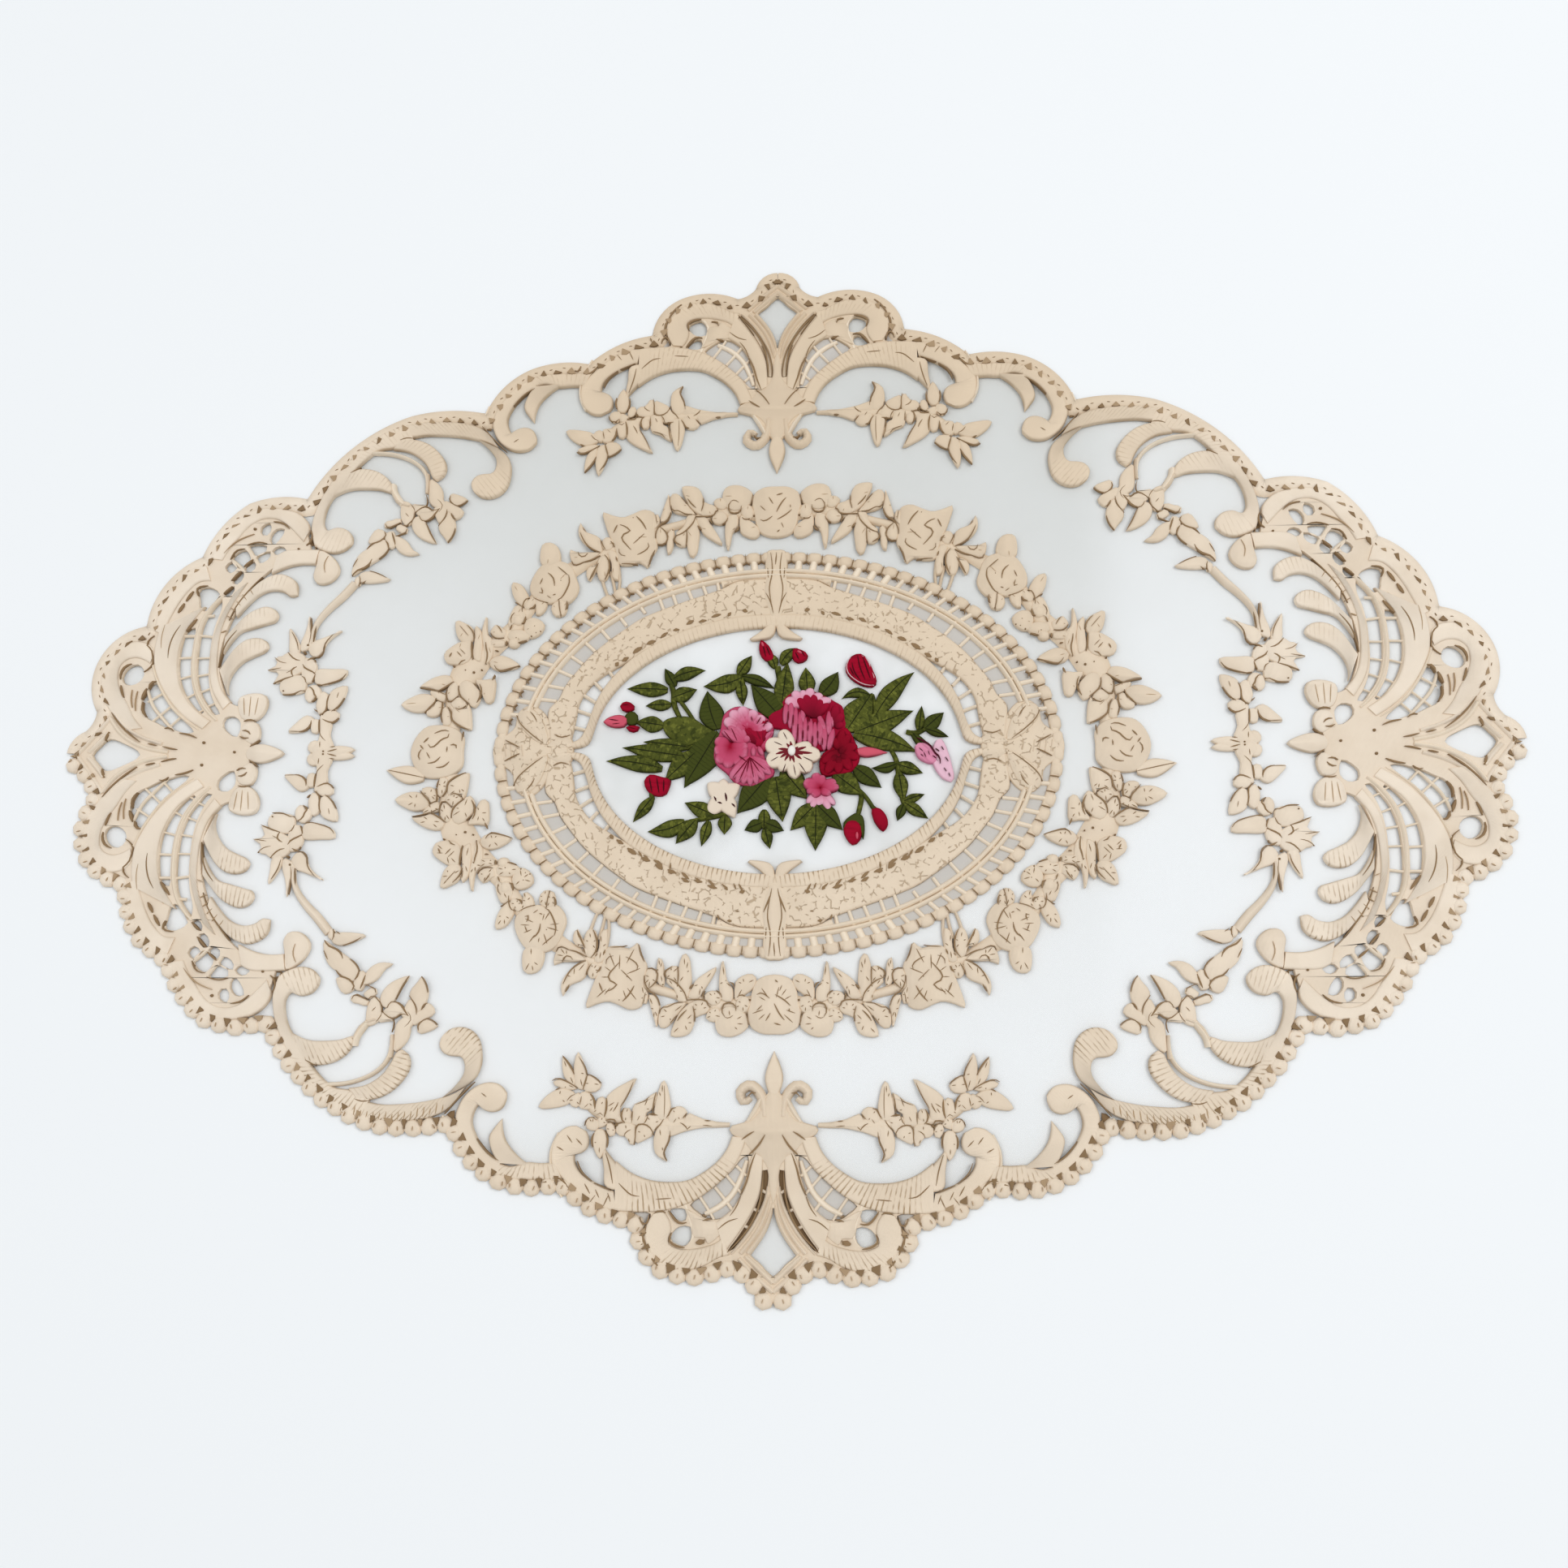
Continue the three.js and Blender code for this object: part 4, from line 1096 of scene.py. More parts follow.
    # dark marks of painted shade round the cells of the near half
    NEAR_MARKS = folds((.34, 2.2, 102.2, 4, 105, 6.2, 107.2), (.9, 17.6, 128.2, 19.6, 128.8),
                       (.3, 17, 122.5, 18, 121.9), (.3, 27.4, 121.6, 29, 121.1, 30.4, 121.8),
                       (.5, 32.2, 126.4, 34, 127.2), (.4, 33, 129.2, 34.4, 129.2),
                       (.22, 41.6, 119, 42.4, 116.8), (.22, 44.6, 118, 45.6, 116),
                       (.22, 47, 117, 48.4, 114.6), (.25, 49.4, 105, 51, 103.4),
                       (.25, 52, 104.4, 53.4, 102.6), (.25, 54.2, 106.4, 56, 105.4),
                       level=Level.BAND)
    # Scallops and scrolls between the top cartouche and the end.
    SHOULDER = [
        Band([(54, 114.2), (60, 113.8), (66, 113.8), (71, 113), (75, 111)],
             [(56.5, 109.4), (60.5, 109.6), (64, 109.4), (68, 110.4), (71.5, 109.2)], (.9, .2)),
        Band([(71.5, 109.6), (73.4, 106), (74, 103), (72.6, 100.6), (70.8, 98.4)],
             [(63, 110.2), (66.6, 107.6), (69.6, 104), (70.6, 100.8), (70.8, 98.4)]),
        Band([(71, 113), (76, 110.4), (80, 106), (82.7, 101), (83, 97), (80.6, 92.4)],
             [(70.6, 109.2), (74, 107), (77, 103.4), (78.6, 99.4), (78, 96.4), (77, 94.9)]),
        Band([(83, 97), (81.6, 93.6), (79, 90.8), (75.5, 89.3), (72, 89.8), (69.9, 92)],
             [(78.4, 97), (77.2, 95), (75.5, 96.4), (73.2, 96.9), (71, 96), (69.9, 93.6)]),
        *creases((.17, 71, 109, 74, 107, 77, 103.5), (.17, 75, 93, 76.4, 92)),
        # a dark pad of painted shade in the opening
        Pad([(83.6, 96.4), (85.6, 97.4), (86, 101), (84.6, 102), (83.8, 99.4)], tone=Tone.DEEP,
            level=Level.FOOTING),
        Bar((84.4, 104), (86.6, 97.8)),
        Band([(84, 95.2), (87, 97.2), (91, 98.6), (97, 99.3), (103, 99.3), (108, 98.6), (113, 96.8)],
             [(80.6, 90.2), (84, 92.2), (88, 93.4), (93, 94.4), (98, 94.9), (103, 95), (109, 93.8)],
             (1, .2), (.2, .8)),
        Band([(108, 98.7), (114, 96.8), (119.6, 93), (124.6, 88), (128.6, 82.6), (131.8, 77), (133.8, 71.4),
              (134.4, 66), (133, 61)], [(106, 93.4), (111, 91.4), (116, 90.6), (120, 87.6), (122.6, 84.6),
                                        (126, 79.6), (129.4, 75), (130.8, 70.6), (130.8, 67.6),
                                        (129.6, 66)], (1, .2), (0, .5)),
        Band([(109, 94), (104.6, 93.6), (101, 92), (97.8, 89), (96, 85.6), (96.4, 82.6), (98.6, 80.8)],
             [(112, 90.8), (107, 89.8), (103, 87), (101, 84), (100, 81.8), (98.6, 80.8)], (.9, .1)),
        Cord([(118, 90, .6), (111, 89.2, .6), (105, 86.5, .6), (102, 83, .6), (101.4, 79, .5)],
             tone=Tone.LIGHT),
        Cord([(101.5, 83, .6), (101.3, 80, .6), (101.4, 77, .5)]),
        Crease([(106, 94), (108, 94.2), (110, 93.6)]),
        Band([(124, 84.6), (120, 85), (116, 84), (112.8, 81.6), (111.2, 78.4), (111, 77.2)],
             [(128.4, 76.6), (124, 78.4), (119, 78.6), (114.8, 78.2), (112.6, 77.4), (111, 77.2)],
             (.9, .1)),
        Crease([(121, 85.2), (124, 83.6)]), Cord([(111.5, 78, .6), (109.5, 74.5, .6), (106, 73, .5)]),
        Band([(80.6, 90.2), (78.2, 88), (77, 85), (77, 81.6), (77.8, 78.4), (79.6, 76.2), (82.4, 75),
              (85.4, 75.4), (87.8, 77.4)],
             [(87, 93.3), (83.4, 90), (81.4, 86.8), (81.6, 84), (82.6, 82.8), (85, 82.6), (87, 82),
              (88.4, 80), (87.8, 77.4)], (.9, .2), (.45, 1)),
        Crease([(86, 97.4), (82, 92.8), (78.4, 89.2)]),
        Band([(130.8, 67.8), (129.6, 66), (127, 66.9), (124, 66.2), (122.2, 64), (122.1, 62)],
             [(134.2, 66), (133, 61.4), (130.4, 59.8), (127, 59), (124, 60), (122.1, 62)], (.3, .5)),
        # a dark pad of painted shade in the opening
        Pad([(132.6, 60.5), (134.3, 64), (135.8, 60.3)], tone=Tone.DEEP, level=Level.FOOTING),
        Pad([(131.5, 60), (128.6, 58.8), (126.2, 56.4), (125.2, 53.6), (126.4, 51.2), (129, 49.6),
             (131.6, 49.9), (132.8, 52), (132.2, 55.4)]),
        Crease([(128.6, 58), (129.6, 55.6), (129.2, 53)], .12, tone=Tone.SHADE),
        Band([(131.5, 60.2), (137, 60.4), (141, 60.2), (143.5, 59)],
             [(132.4, 55.6), (137, 55.7), (141, 54.8), (145, 53)]),
    ]
    # Openings of the end cartouche above the X axis.
    LADDER_IN = [(156.4, 11.6), (158, 14), (159.8, 18), (160.8, 23), (161, 28), (160.9, 33), (160.2, 38),
                 (158.8, 43.4), (159.4, 46.4), (161.4, 43.6), (162.6, 41), (163.8, 37), (164.3, 33),
                 (164.4, 28), (163.9, 22.6), (162, 17), (159.6, 13.6), (157.8, 11.4)]
    LADDER_OUT = [(165.9, 37), (166.1, 33.6), (166.3, 28), (165.9, 23), (164.6, 18), (162.4, 14),
                  (160.8, 11.6), (162.6, 12.4), (165.6, 15.6), (167.8, 19), (169.2, 23), (169.7, 27.4),
                  (169.4, 32), (168.2, 36.2)]
    LADDER_ROW = [(163.4, 6.4), (166.4, 9.4), (170, 12.6), (173, 16.6), (175, 20.8), (176.8, 20.4),
                  (177.8, 18.8), (179.2, 16), (178.8, 13.8), (177.4, 10.8), (174.6, 9.4), (171.4, 7.8),
                  (168.6, 7), (166, 6.2)]
    LOBE_CELLS = (
        [(142.4, 66.6), (144.8, 66.6), (146.4, 64), (145.4, 62), (143.8, 63.4)],
        [(146.9, 68.6), (149.1, 67.6), (149.2, 65.4), (147.4, 65), (146.4, 66.6)],
        [(141.4, 60.2), (143, 61.4), (145.4, 60.2), (144, 58.8), (142.4, 59.2)],
        [(146, 59.8), (149.2, 58.8), (150.3, 57.4), (148.8, 56.4), (146.2, 58)],
        [(150.6, 57), (153.2, 55), (152, 53.6), (150, 55)],
        [(153.3, 53.6), (154.6, 53.8), (156.4, 51), (155.4, 50), (153.6, 51.4)],
        [(155.7, 49.4), (157, 48.8), (158.4, 47), (157.2, 46.4), (155.8, 47.6)],
        [(147.2, 61.5), (149.6, 62), (152.6, 61.5), (150.7, 58.9), (147.8, 59.5)],
        [(153.3, 60.4), (155.5, 59.8), (157.1, 57.6), (154.2, 54.8), (151.6, 57)],
        [(157, 57), (158.8, 55.3), (157.4, 53.6), (155.4, 55)],
        [(163, 49.2), (166, 48.5), (165.6, 46), (164.7, 42.4), (162.8, 42.4), (160.8, 45.4), (159.8, 47.2)],
        [(179.7, 24.6), (181.3, 26.2), (183.5, 25.9), (185.1, 24.4), (185.7, 22), (184, 20.4),
         (181.3, 20.9), (179.7, 22.6)],
        [(150.2, 8.8), (152, 10.6), (154.7, 10.2), (155.1, 8), (153.2, 5.9), (150.9, 4.9)],
    )
    END_DIAMOND = closed_on_x([(178.2, 0), (183, 3.1), (187.6, 4.5), (190, 2.4), (191.8, 0)])
    END_BODY_HALF = [(196.8, 0), (193.4, 5), (190.2, 9.6), (190.4, 14), (190.8, 22), (188, 29), (182.6, 33),
                     (178.4, 35.6), (177, 41), (174, 48.5), (168.6, 53.8), (165.2, 58), (161, 63.4),
                     (156, 69), (149, 72), (142, 71.2), (136.8, 67.4), (134.6, 62.6), (134.4, 58.6),
                     (138, 56.2), (144, 55), (148.6, 51), (152.2, 46), (155.2, 40), (157.2, 33.4),
                     (157.8, 27.4), (156.6, 20.6), (153.8, 15), (149.6, 13), (147, 9), (147, 5), (146, 0)]

    # Dark creases and dark knobs in this table are painted shade in folds and small pits.
    END = [
        Band([(134.8, 66), (135.5, 68.5), (138.5, 71.5), (143, 73), (148, 73.4), (153, 72.5), (157, 69.5),
              (160, 65.5), (162.5, 61), (163.5, 58)],
             [(136.4, 62.4), (138.4, 64.6), (140.8, 67), (144.4, 69.4), (148, 69.8), (151, 68.8),
              (153.6, 66.6), (155.6, 63.8), (157.8, 60.8), (159.6, 57.4)]),
        Crease([(134.4, 66), (133.8, 64), (134.6, 62), (135.4, 61.4)], .25),
        Knob((151, 66.8), (.55, .5), tone=Tone.DEEP),
        *creases((.24, 140.8, 66.7, 142.8, 68.3, 145.6, 68.9), (.18, 147, 62.2, 149.6, 62.6, 152.8, 61.8),
                 (.18, 153.4, 60.7, 155.8, 60.1, 157.3, 57.5), (.3, 150.6, 57.4, 153.2, 55.2),
                 (.26, 153.8, 53.9, 156.5, 51), (.26, 156, 49.3, 158.4, 47.1)),
        *creases((.14, 151, 65.2, 156, 63, 159.4, 59.4), tone=Tone.SHADE),
        Knob((137.6, 60.4), (.4, .4), tone=Tone.DEEP),
        Cord([(153.4, 62.2, .5), (150.4, 57.8, .55), (148, 54, .5)], level=Level.BAR, tone=Tone.LIGHT),
        Cord([(158, 58.2, .5), (153.6, 54.4, .55), (151.4, 51, .5)], level=Level.BAR, tone=Tone.LIGHT),
        Band([(164.4, 56), (168, 55.4), (171.6, 52.6), (174.6, 49), (176.4, 45), (177.6, 40), (178, 36.6)],
             [(162.6, 51), (166, 50.6), (169, 47.8), (171.2, 44.4), (172.8, 41), (174, 38), (174.6, 35)]),
        *creases((.25, 163.2, 49.6, 166.2, 48.8, 165.8, 46.6), (.42, 167.3, 48, 168.2, 46.6, 169.2, 45),
                 (.46, 169.6, 44.4, 170.2, 43.2, 171.2, 41.6), (.4, 165.4, 39.6, 166.8, 37.8, 168.2, 36)),
        Band([(137, 47), (137.3, 50), (139.4, 52), (143, 53), (147.6, 51.2), (151, 48), (154.6, 44.4)],
             [(137, 46.4), (139, 46), (141, 47.4), (144.5, 47.9), (148, 46.6), (151, 43.8), (154, 40)],
             (.9, .1), (.1, .6)),
        Band([(142, 40.4), (143, 42.2), (145.6, 43.2), (148.6, 42.4), (151.6, 40.4), (154.6, 37),
              (156.6, 34.6)], [(142, 40.4), (142.6, 38.6), (145, 37.8), (149, 36.6), (152.6, 35.4),
                               (155, 32.6), (157, 29)], (.9, .2), (.05, .6)),
        Band([(144, 31), (144.8, 32.8), (147, 33.8), (150.5, 33.4), (153.6, 31), (156, 27.4),
              (157.6, 24.6)], [(144, 31), (145, 29.6), (148, 28.2), (151, 26.6), (153.6, 23.6), (154.8, 20),
                               (154.4, 17)], (.8, .1), (.05, .5)),
        Band([(151.5, 50.6), (154.6, 45.4), (157, 40), (158.2, 35), (158.4, 29), (158, 24), (156.4, 19),
              (153.4, 15)], [(155.6, 47), (158, 42), (159.6, 37), (160.6, 32), (160.6, 27), (160.2, 22),
                             (159, 18), (155.6, 12.6)], (.5, 0), (0, .4)),
        *creases((.2, 147.4, 52, 150.6, 48.4, 154, 43.6, 156, 39),
                 (.2, 153.4, 36, 156, 32.4, 157.4, 28, 157.8, 25)),
        *creases((.14, 149.6, 46.6, 150.8, 48.4), (.14, 151.4, 45, 152.8, 46.8),
                 (.14, 153, 43.4, 154.4, 44.8), (.14, 154.2, 41.6, 155.8, 42.8),
                 (.14, 155.2, 39.6, 156.8, 40.4), (.14, 156.6, 36, 158, 35.4), tone=Tone.SHADE),
        *bars((160.8, 40.8, 163.2, 40.6, .45), (160.6, 34.4, 164.4, 34.9, .4),
              (160.8, 28.2, 164.6, 28.1, .3), (160.6, 23.4, 164.2, 22.8, .3), (159.6, 19.2, 162.8, 18, .3),
              (158, 14.8, 160.8, 13.6, .3)),
        Cord([(158.6, 46.6, .6), (161.8, 43, .7), (163.8, 39.4, .7), (164.9, 35, .75), (165.3, 30, .8),
              (165.3, 26, .8), (164.7, 22, .75), (163.2, 17.4, .7), (160.6, 13.2, .7), (157, 9.6, .6)],
             tone=Tone.LIGHT),
        *bars((165.4, 34.8, 169.2, 34.8, .45), (166, 28.4, 169.8, 28.2, .35), (165.6, 23, 169.2, 22, .3),
              (163.6, 18, 166.6, 16.4, .3), (161.2, 13, 163, 12, .3)),
        Band([(163.4, 43.4), (166, 39.8), (168.4, 36), (169.6, 32), (169.9, 27.4), (169.4, 23), (168, 19),
              (165.8, 15.4), (162.4, 12.2), (158.6, 9.6)],
             [(176.4, 37), (177.2, 31), (176.8, 26), (175, 21.4), (172.2, 16.8), (169, 13), (165.4, 9.8),
              (161, 7)]),
        *creases((.2, 170, 37.8, 171.8, 34.6, 172.7, 31, 172.7, 28)),
        *creases((.12, 174.6, 38, 175.2, 34, 175, 31), tone=Tone.SHADE),
        Cord([(167, 42, .4), (170.8, 37, .5), (173.6, 31, .5), (173.6, 26, .4)], tone=Tone.LIGHT),
        Cord([(177.4, 26.6, .5), (175.4, 21.6, .6), (172.6, 16.8, .6), (169.6, 12.9, .6), (166, 9.7, .5),
              (162, 7, .4)],
             tone=Tone.LIGHT),
        Cord([(178.2, 19, .45), (176, 14, .5), (173.2, 10.8, .5), (169.6, 7, .4)], level=Level.BAR,
             tone=Tone.LIGHT),
        *bars((173.4, 18, 177.6, 15.4, .35), (170.6, 14.2, 175.6, 9.8, .35),
              (167.4, 11.2, 170.4, 8.2, .35)),
        *creases((.34, 175.2, 21.2, 176.8, 20.8, 177.4, 19), (.4, 178, 19.2, 178.6, 17.6, 179.2, 16),
                 (.26, 178.6, 15.2, 178.7, 13, 177.4, 10.9), (.26, 162.2, 4.6, 164.4, 5.5, 167.2, 6),
                 (.22, 169, 6.6, 170.4, 7.6, 171.6, 7.4)), Knob((160, 3.2), (.5, .5), tone=Tone.DEEP),
        Band([(177, 29), (177.6, 31.4), (180.6, 33.2), (185, 33), (189, 30.6), (191.4, 27), (192, 22),
              (190.8, 16.6), (188.4, 13), (187.4, 11.8), (183, 7)],
             [(178, 26.4), (180, 27.6), (182.4, 28.2), (184.8, 27.6), (186.4, 26), (186.8, 24),
              (186.6, 21.4), (185.2, 18), (183, 14.6), (181, 11), (178, 7.6)]),
        *creases((.32, 183.2, 26.5, 185.1, 25.5, 186, 23.8, 186, 22),
                 (.3, 185.6, 20.2, 185.1, 18.2, 184.4, 16.6),
                 (.2, 177.4, 34.8, 178.9, 33.4, 179.2, 32, 177.8, 30.6, 177.2, 28.4, 177, 26.4, 178, 25,
                  179.4, 24)),
        *creases((.13, 180.6, 18.4, 180.9, 15.6, 180.6, 12.6), (.13, 182.2, 18.8, 182.2, 16, 181.6, 13.6),
                 tone=Tone.SHADE),
        Cord([(187.6, 11, .9), (190.5, 7, .9), (196.2, 0, .9)]),
        Cord([(187.8, 6.4, .9), (190, 3.8, .9), (192.8, .8, .9)]),
        Cord([(170, .6, .9), (178, 2.4, .9), (184, 6, .9), (187.6, 10.6, .9)], tone=Tone.LIGHT),
        Cord([(172, 3, .8), (178, 5, .8), (183, 8, .8), (186.6, 12, .8)]),
        *creases((.24, 167.4, 1.3, 169.4, 1.6, 171.6, 2.2), (.22, 173.4, 2.5, 176, 3.1),
                 (.26, 178.4, 3.6, 182.4, 6.6, 185.6, 9.8, 187.4, 12.2),
                 (.34, 187.5, 6.6, 188.1, 5, 188.3, 4)),
        Pad([(142.8, 14.4), (143.6, 16.8), (146, 17.5), (149, 17.2), (151.2, 16), (151, 12), (149.6, 9.8),
             (146.6, 9.2), (144, 11)], level=Level.BAND),
        *creases((.13, 146, 11, 145.4, 16), (.13, 147.6, 10.6, 147.6, 16.4), (.13, 149, 11, 149.6, 16),
                 tone=Tone.SHADE),
        Pad([(144.6, 7.6), (146, 9.2), (148.6, 9), (150, 7), (149.4, 4.6), (147.4, 3), (146, 2.4),
             (144.4, 4)]),
        *creases((.26, 146.8, 5.4, 147.8, 6.4, 149.2, 6.5), (.24, 147.2, 4.4, 148.6, 4.3, 149.8, 4.9),
                 (.2, 144, 3.8, 145.2, 2.8, 146.6, 1.9), (.24, 146, 9.4, 147.6, 9.6, 149, 9.2)),
    ]
    END_MIDDLE = [
        Pad(closed_on_x(END_BODY_HALF),
            (END_DIAMOND, *both_ends(LADDER_IN, LADDER_OUT, LADDER_ROW, *LOBE_CELLS)),
            tone=Tone.SLIGHTLY_DARKER, level=Level.BODY, rounding=.2),
        Pad(closed_on_x([(137, 0), (140, 1.9), (144, 2.8), (147, 2), (148, 0)])),
        Band([(166, 4), (166.2, 0), (166, -4)], [(167, 4), (167.4, 0), (167, -4)], tone=Tone.LIGHT),
        # a small pit of painted shade
        Knob((151, .4), (.45, .45), tone=Tone.DEEP),
    ]

    def inset(self, distance: float) -> np.ndarray:
        """A quarter of the edge, moved inward and cleared of the loops that its corners make."""
        edge = np.array(edge_quarter(0.6))
        row = edge - left_of(edge) * distance
        clear = np.linalg.norm(row[:, None] - edge[None], axis=2).min(1) > distance - 0.05
        return row[clear & (row[:, 0] >= 0) & (row[:, 1] >= 0)]

    def row_frame(self) -> tuple[np.ndarray, np.ndarray, np.ndarray]:
        """Places two to a bobble along the row, with the unit vectors ahead and inward."""
        row = self.inset(self.ROW_INSET)
        places = smooth_line(row, 2 * round(length_of(row) / self.PITCH) + 1)
        ahead = np.gradient(places, axis=0)
        ahead /= np.linalg.norm(ahead, axis=1)[:, None]
        return places, ahead, np.stack([ahead[:, 1], -ahead[:, 0]], 1)

    def gap(self, corners: list[np.ndarray], shallow: bool) -> Pad:
        """A dark pad of painted shade in the gap between bobbles."""
        return Pad([tuple(corner) for corner in corners], tone=Tone.FOLD if shallow else Tone.SHADE,
                   level=Level.CORD, rounding=.05, sharp=True)

    def close_row(self) -> list[Stroke]:
        """A quarter of the row where bobbles lie close, with small gaps painted dark with shade on their
        inner side.
        """
        places, ahead, inward = self.row_frame()
        draw = np.random.default_rng(self.SEED)
        band = [(x, y, 2.75) for x, y in self.inset(self.ROW_INSET)]
        strokes: list[Stroke] = [Cord(band, Level.PAD, step=0.9, edge=0.4)]
        for i in range(0, len(places), 2):
            base = places[i] + inward[i] * (1.1 + 0.5 * draw.random())
            reach, turn = 0.85 + 0.6 * draw.random(), 0.8 * draw.random() - 0.4
            side = ahead[i] * reach + inward[i] * turn
            height = 1.5 if places[i][0] < self.DASHED_FROM else 1.0
            rise = inward[i] * height * (0.7 + 0.6 * draw.random())
            corners = [base + side, base - rise + side * (0.5 - draw.random()), base - side,
                       base + rise * 0.25]
            strokes.append(self.gap(corners, draw.random() < 0.45))
            spot = places[i] + ahead[i] * (1.3 + 0.8 * draw.random())
            line = [tuple(spot), tuple(spot + ahead[i] * 0.9 + inward[i] * turn)]
            strokes.append(Crease(line, self.MARK, Level.PAD))
        return strokes

    def open_row(self) -> list[Stroke]:
        """A quarter of the row where bobbles stand apart over gaps painted dark with shade."""
        places, ahead, inward = self.row_frame()
        draw = np.random.default_rng(self.SEED)
        strokes: list[Stroke] = []
        for i in range(1, len(places) - 1, 2):
            turn = math.degrees(math.atan2(ahead[i, 1], ahead[i, 0]))
            size = 2.4 + 0.3 * draw.random(), 2.3 + 0.3 * draw.random()
            base = places[i + 1] + inward[i + 1] * (1.5 + 0.4 * draw.random())
            reach = ahead[i + 1] * (0.6 + 0.8 * draw.random()) * (1 if base[0] < self.DASHED_FROM else 0.7)
            tip = places[i + 1] - inward[i + 1] * 0.8 * draw.random() + reach * (draw.random() - 0.5)
            flank = base - reach - inward[i + 1] * 1.1 * draw.random()
            strokes.append(self.gap([base + reach, tip, flank, base - reach * 0.8], draw.random() < 0.6))
            middle = tuple(places[i] - inward[i] * (0.3 + 0.3 * draw.random()))
            strokes.append(Knob(middle, size, turn + 60 * draw.random(), square=2.0, sides=7 + i // 2 % 3,
                                edge=.5))
            spot = places[i] + ahead[i] * (2.6 * draw.random() - 1.3)
            line = [tuple(spot), tuple(spot - inward[i] * 1.1 + ahead[i] * (draw.random() - .5))]
            strokes.append(Crease(line, self.MARK, Level.UPPER, Tone.SHADE))
        return strokes

    def near_ticks(self) -> list[Stroke]:
        """Lines of painted shade between the satin stitches of the second scallop, along the near half."""
        draw = np.random.default_rng(8)
        lines = []
        for x in np.linspace(*self.TICKS):
            top = 98.9 - 0.0115 * (x - 100) ** 2  # just inside the scallop's arc
            foot = top - 1.4 - 1.4 * draw.random()
            points = [(x, top), (x - 0.2, (top + foot) / 2), (x - 0.3, foot)]
            lines.append(Crease(points, 0.16, Level.BAND, Tone.SHADE))
        return lines

    def build(self) -> Iterator[bpy.types.Object]:
        """Makes the border in one piece."""
        relief = Relief()
        relief.work(self.close_row(), Sides.FAR)
        relief.work(self.open_row(), Sides.NEAR)
        relief.work(self.TOP + self.SHOULDER + self.END, Sides.QUARTERS)
        relief.work(self.TOP_MIDDLE, Sides.TOP_BOTTOM)
        relief.work(self.FAR_SLOT, Sides.FAR)
        relief.work(self.NEAR_SLOT + self.NEAR_MARKS + self.near_ticks(), Sides.NEAR)
        relief.work(self.END_MIDDLE, Sides.RIGHT_LEFT)
        yield relief.build("border", ECRU.make(), "ecru_lace", ("border_lace",))


def oval(reach: tuple[float, float], angles: np.ndarray) -> Points:
    """Points of the oval with the given half length and half width, at angles in radians."""
    return [(reach[0] * math.cos(t), reach[1] * math.sin(t)) for t in angles]


def even_angles(reach: tuple[float, float], count: int) -> np.ndarray:
    """Angles of a quarter of an oval, from +X to +Y, that part it into count equal lengths."""
    fine = np.linspace(0, math.pi / 2, 400)
    along = along_of(np.array(oval(reach, fine)))
    return np.interp(np.linspace(0, along[-1], count + 1), along, fine)


